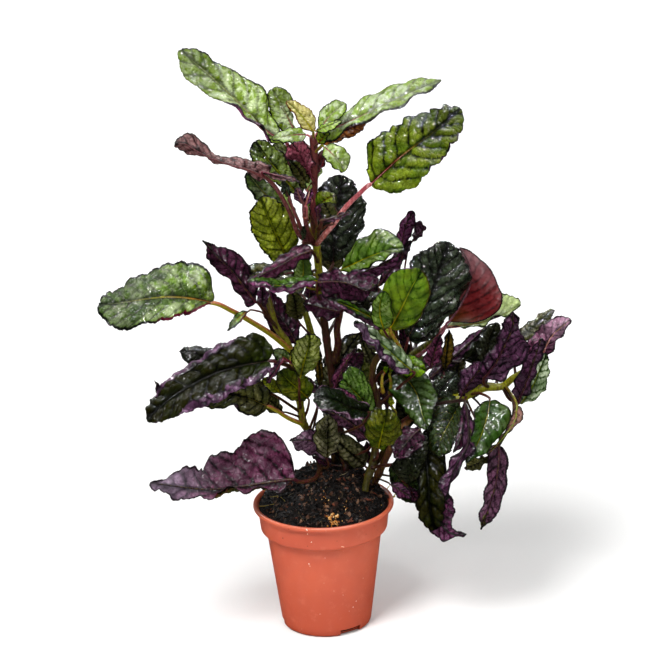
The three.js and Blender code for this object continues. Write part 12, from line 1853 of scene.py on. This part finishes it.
# ---------------------------------------------------------------- floor, light, camera
fg = Graph("floor_pale")
fn = fg.noise(3.0, 2.0)
fg.out(fg.mix(fg.step(fn, 0.3, 0.7), lin("#f4f4f3"), lin("#f1f1f0")), 0.7, fg.bump(fg.noise(700.0, 2.0), 0.05, 0.0002), Specular_IOR_Level=0.2)
n_f = 24
fx = np.linspace(-30.0, 30.0, n_f)
V = [(a, b, -0.0002) for b in fx for a in fx]
F = [(j * n_f + i, j * n_f + i + 1, (j + 1) * n_f + i + 1, (j + 1) * n_f + i) for j in range(n_f - 1) for i in range(n_f - 1)]
floor = make_object("floor", V, F, [fg.mat])
floor.visible_glossy = False

world = bpy.data.worlds.new("studio")
SC.world = world
world.use_nodes = True
wt = world.node_tree
bg = wt.nodes["Background"]
tc = wt.nodes.new("ShaderNodeTexCoord")
sx = wt.nodes.new("ShaderNodeSeparateXYZ")
wr = wt.nodes.new("ShaderNodeMapRange")
wr.interpolation_type = "SMOOTHSTEP"
wr.inputs["From Min"].default_value, wr.inputs["From Max"].default_value = -0.05, 0.95
wr.inputs["To Min"].default_value, wr.inputs["To Max"].default_value = 0.12, 0.62
wt.links.new(tc.outputs["Generated"], sx.inputs[0])
wt.links.new(sx.outputs["Z"], wr.inputs["Value"])
wt.links.new(wr.outputs[0], bg.inputs["Strength"])
bg.inputs["Color"].default_value = (1.0, 1.0, 1.0, 1.0)
world.cycles_visibility.glossy = False              # the studio's surround is kept out of the gloss


def sun(name, toward, strength, angle):
    d = bpy.data.lights.new(name, "SUN")
    d.energy = strength
    d.angle = math.radians(angle)
    o = bpy.data.objects.new(name, d)
    o.rotation_euler = (-Vector(toward)).to_track_quat("-Z", "Y").to_euler()
    SC.collection.objects.link(o)
    return o


sun("key", (-0.38, -0.60, 1.0), 2.75, 22.0).visible_glossy = False
sun("fill", (0.80, -0.45, 0.75), 0.85, 55.0).visible_glossy = False
# small bright lamps that give only the points of light on the glossy leaves
for i, (toward, power) in enumerate((
        ((-0.30, -0.85, 0.95), 1.6), ((0.55, -0.60, 0.90), 1.2), ((-0.75, -0.20, 0.80), 1.0), ((0.10, -0.25, 1.0), 1.4),
        ((-0.25, 0.25, 0.95), 1.4), ((0.45, 0.15, 0.90), 1.2), ((0.0, 0.65, 0.80), 1.2), ((-0.60, 0.50, 0.65), 0.8),
        ((0.60, 0.55, 0.60), 0.8), ((0.25, -1.0, 0.45), 0.8))):
    sun("spark_%d" % i, toward, 1.9 * power, 1.8).visible_diffuse = False

cam_d = bpy.data.cameras.new("camera")
cam = bpy.data.objects.new("camera", cam_d)
SC.collection.objects.link(cam)
SC.camera = cam
yaw, pitch, roll_ = (math.radians(a) for a in (0.14132222, 19.71012475, -1.70300591))
fwd = Vector((math.sin(yaw) * math.cos(pitch), math.cos(yaw) * math.cos(pitch), -math.sin(pitch)))
r0 = Vector((math.cos(yaw), -math.sin(yaw), 0.0))
u0 = r0.cross(fwd)
right = math.cos(roll_) * r0 + math.sin(roll_) * u0
up = -math.sin(roll_) * r0 + math.cos(roll_) * u0
cam.matrix_world = Matrix(((right.x, up.x, -fwd.x, 0.0000537), (right.y, up.y, -fwd.y, -1.74766084), (right.z, up.z, -fwd.z, 0.828440522), (0, 0, 0, 1)))
cam_d.sensor_fit = "HORIZONTAL"
cam_d.sensor_width = 36.0
cam_d.lens = 2962.0025 / 650 * 36.0
cam_d.clip_start, cam_d.clip_end = 0.05, 50.0

SC.view_settings.view_transform = "Standard"
SC.view_settings.look = "None"
SC.view_settings.exposure = 0.0
SC.view_settings.gamma = 1.0
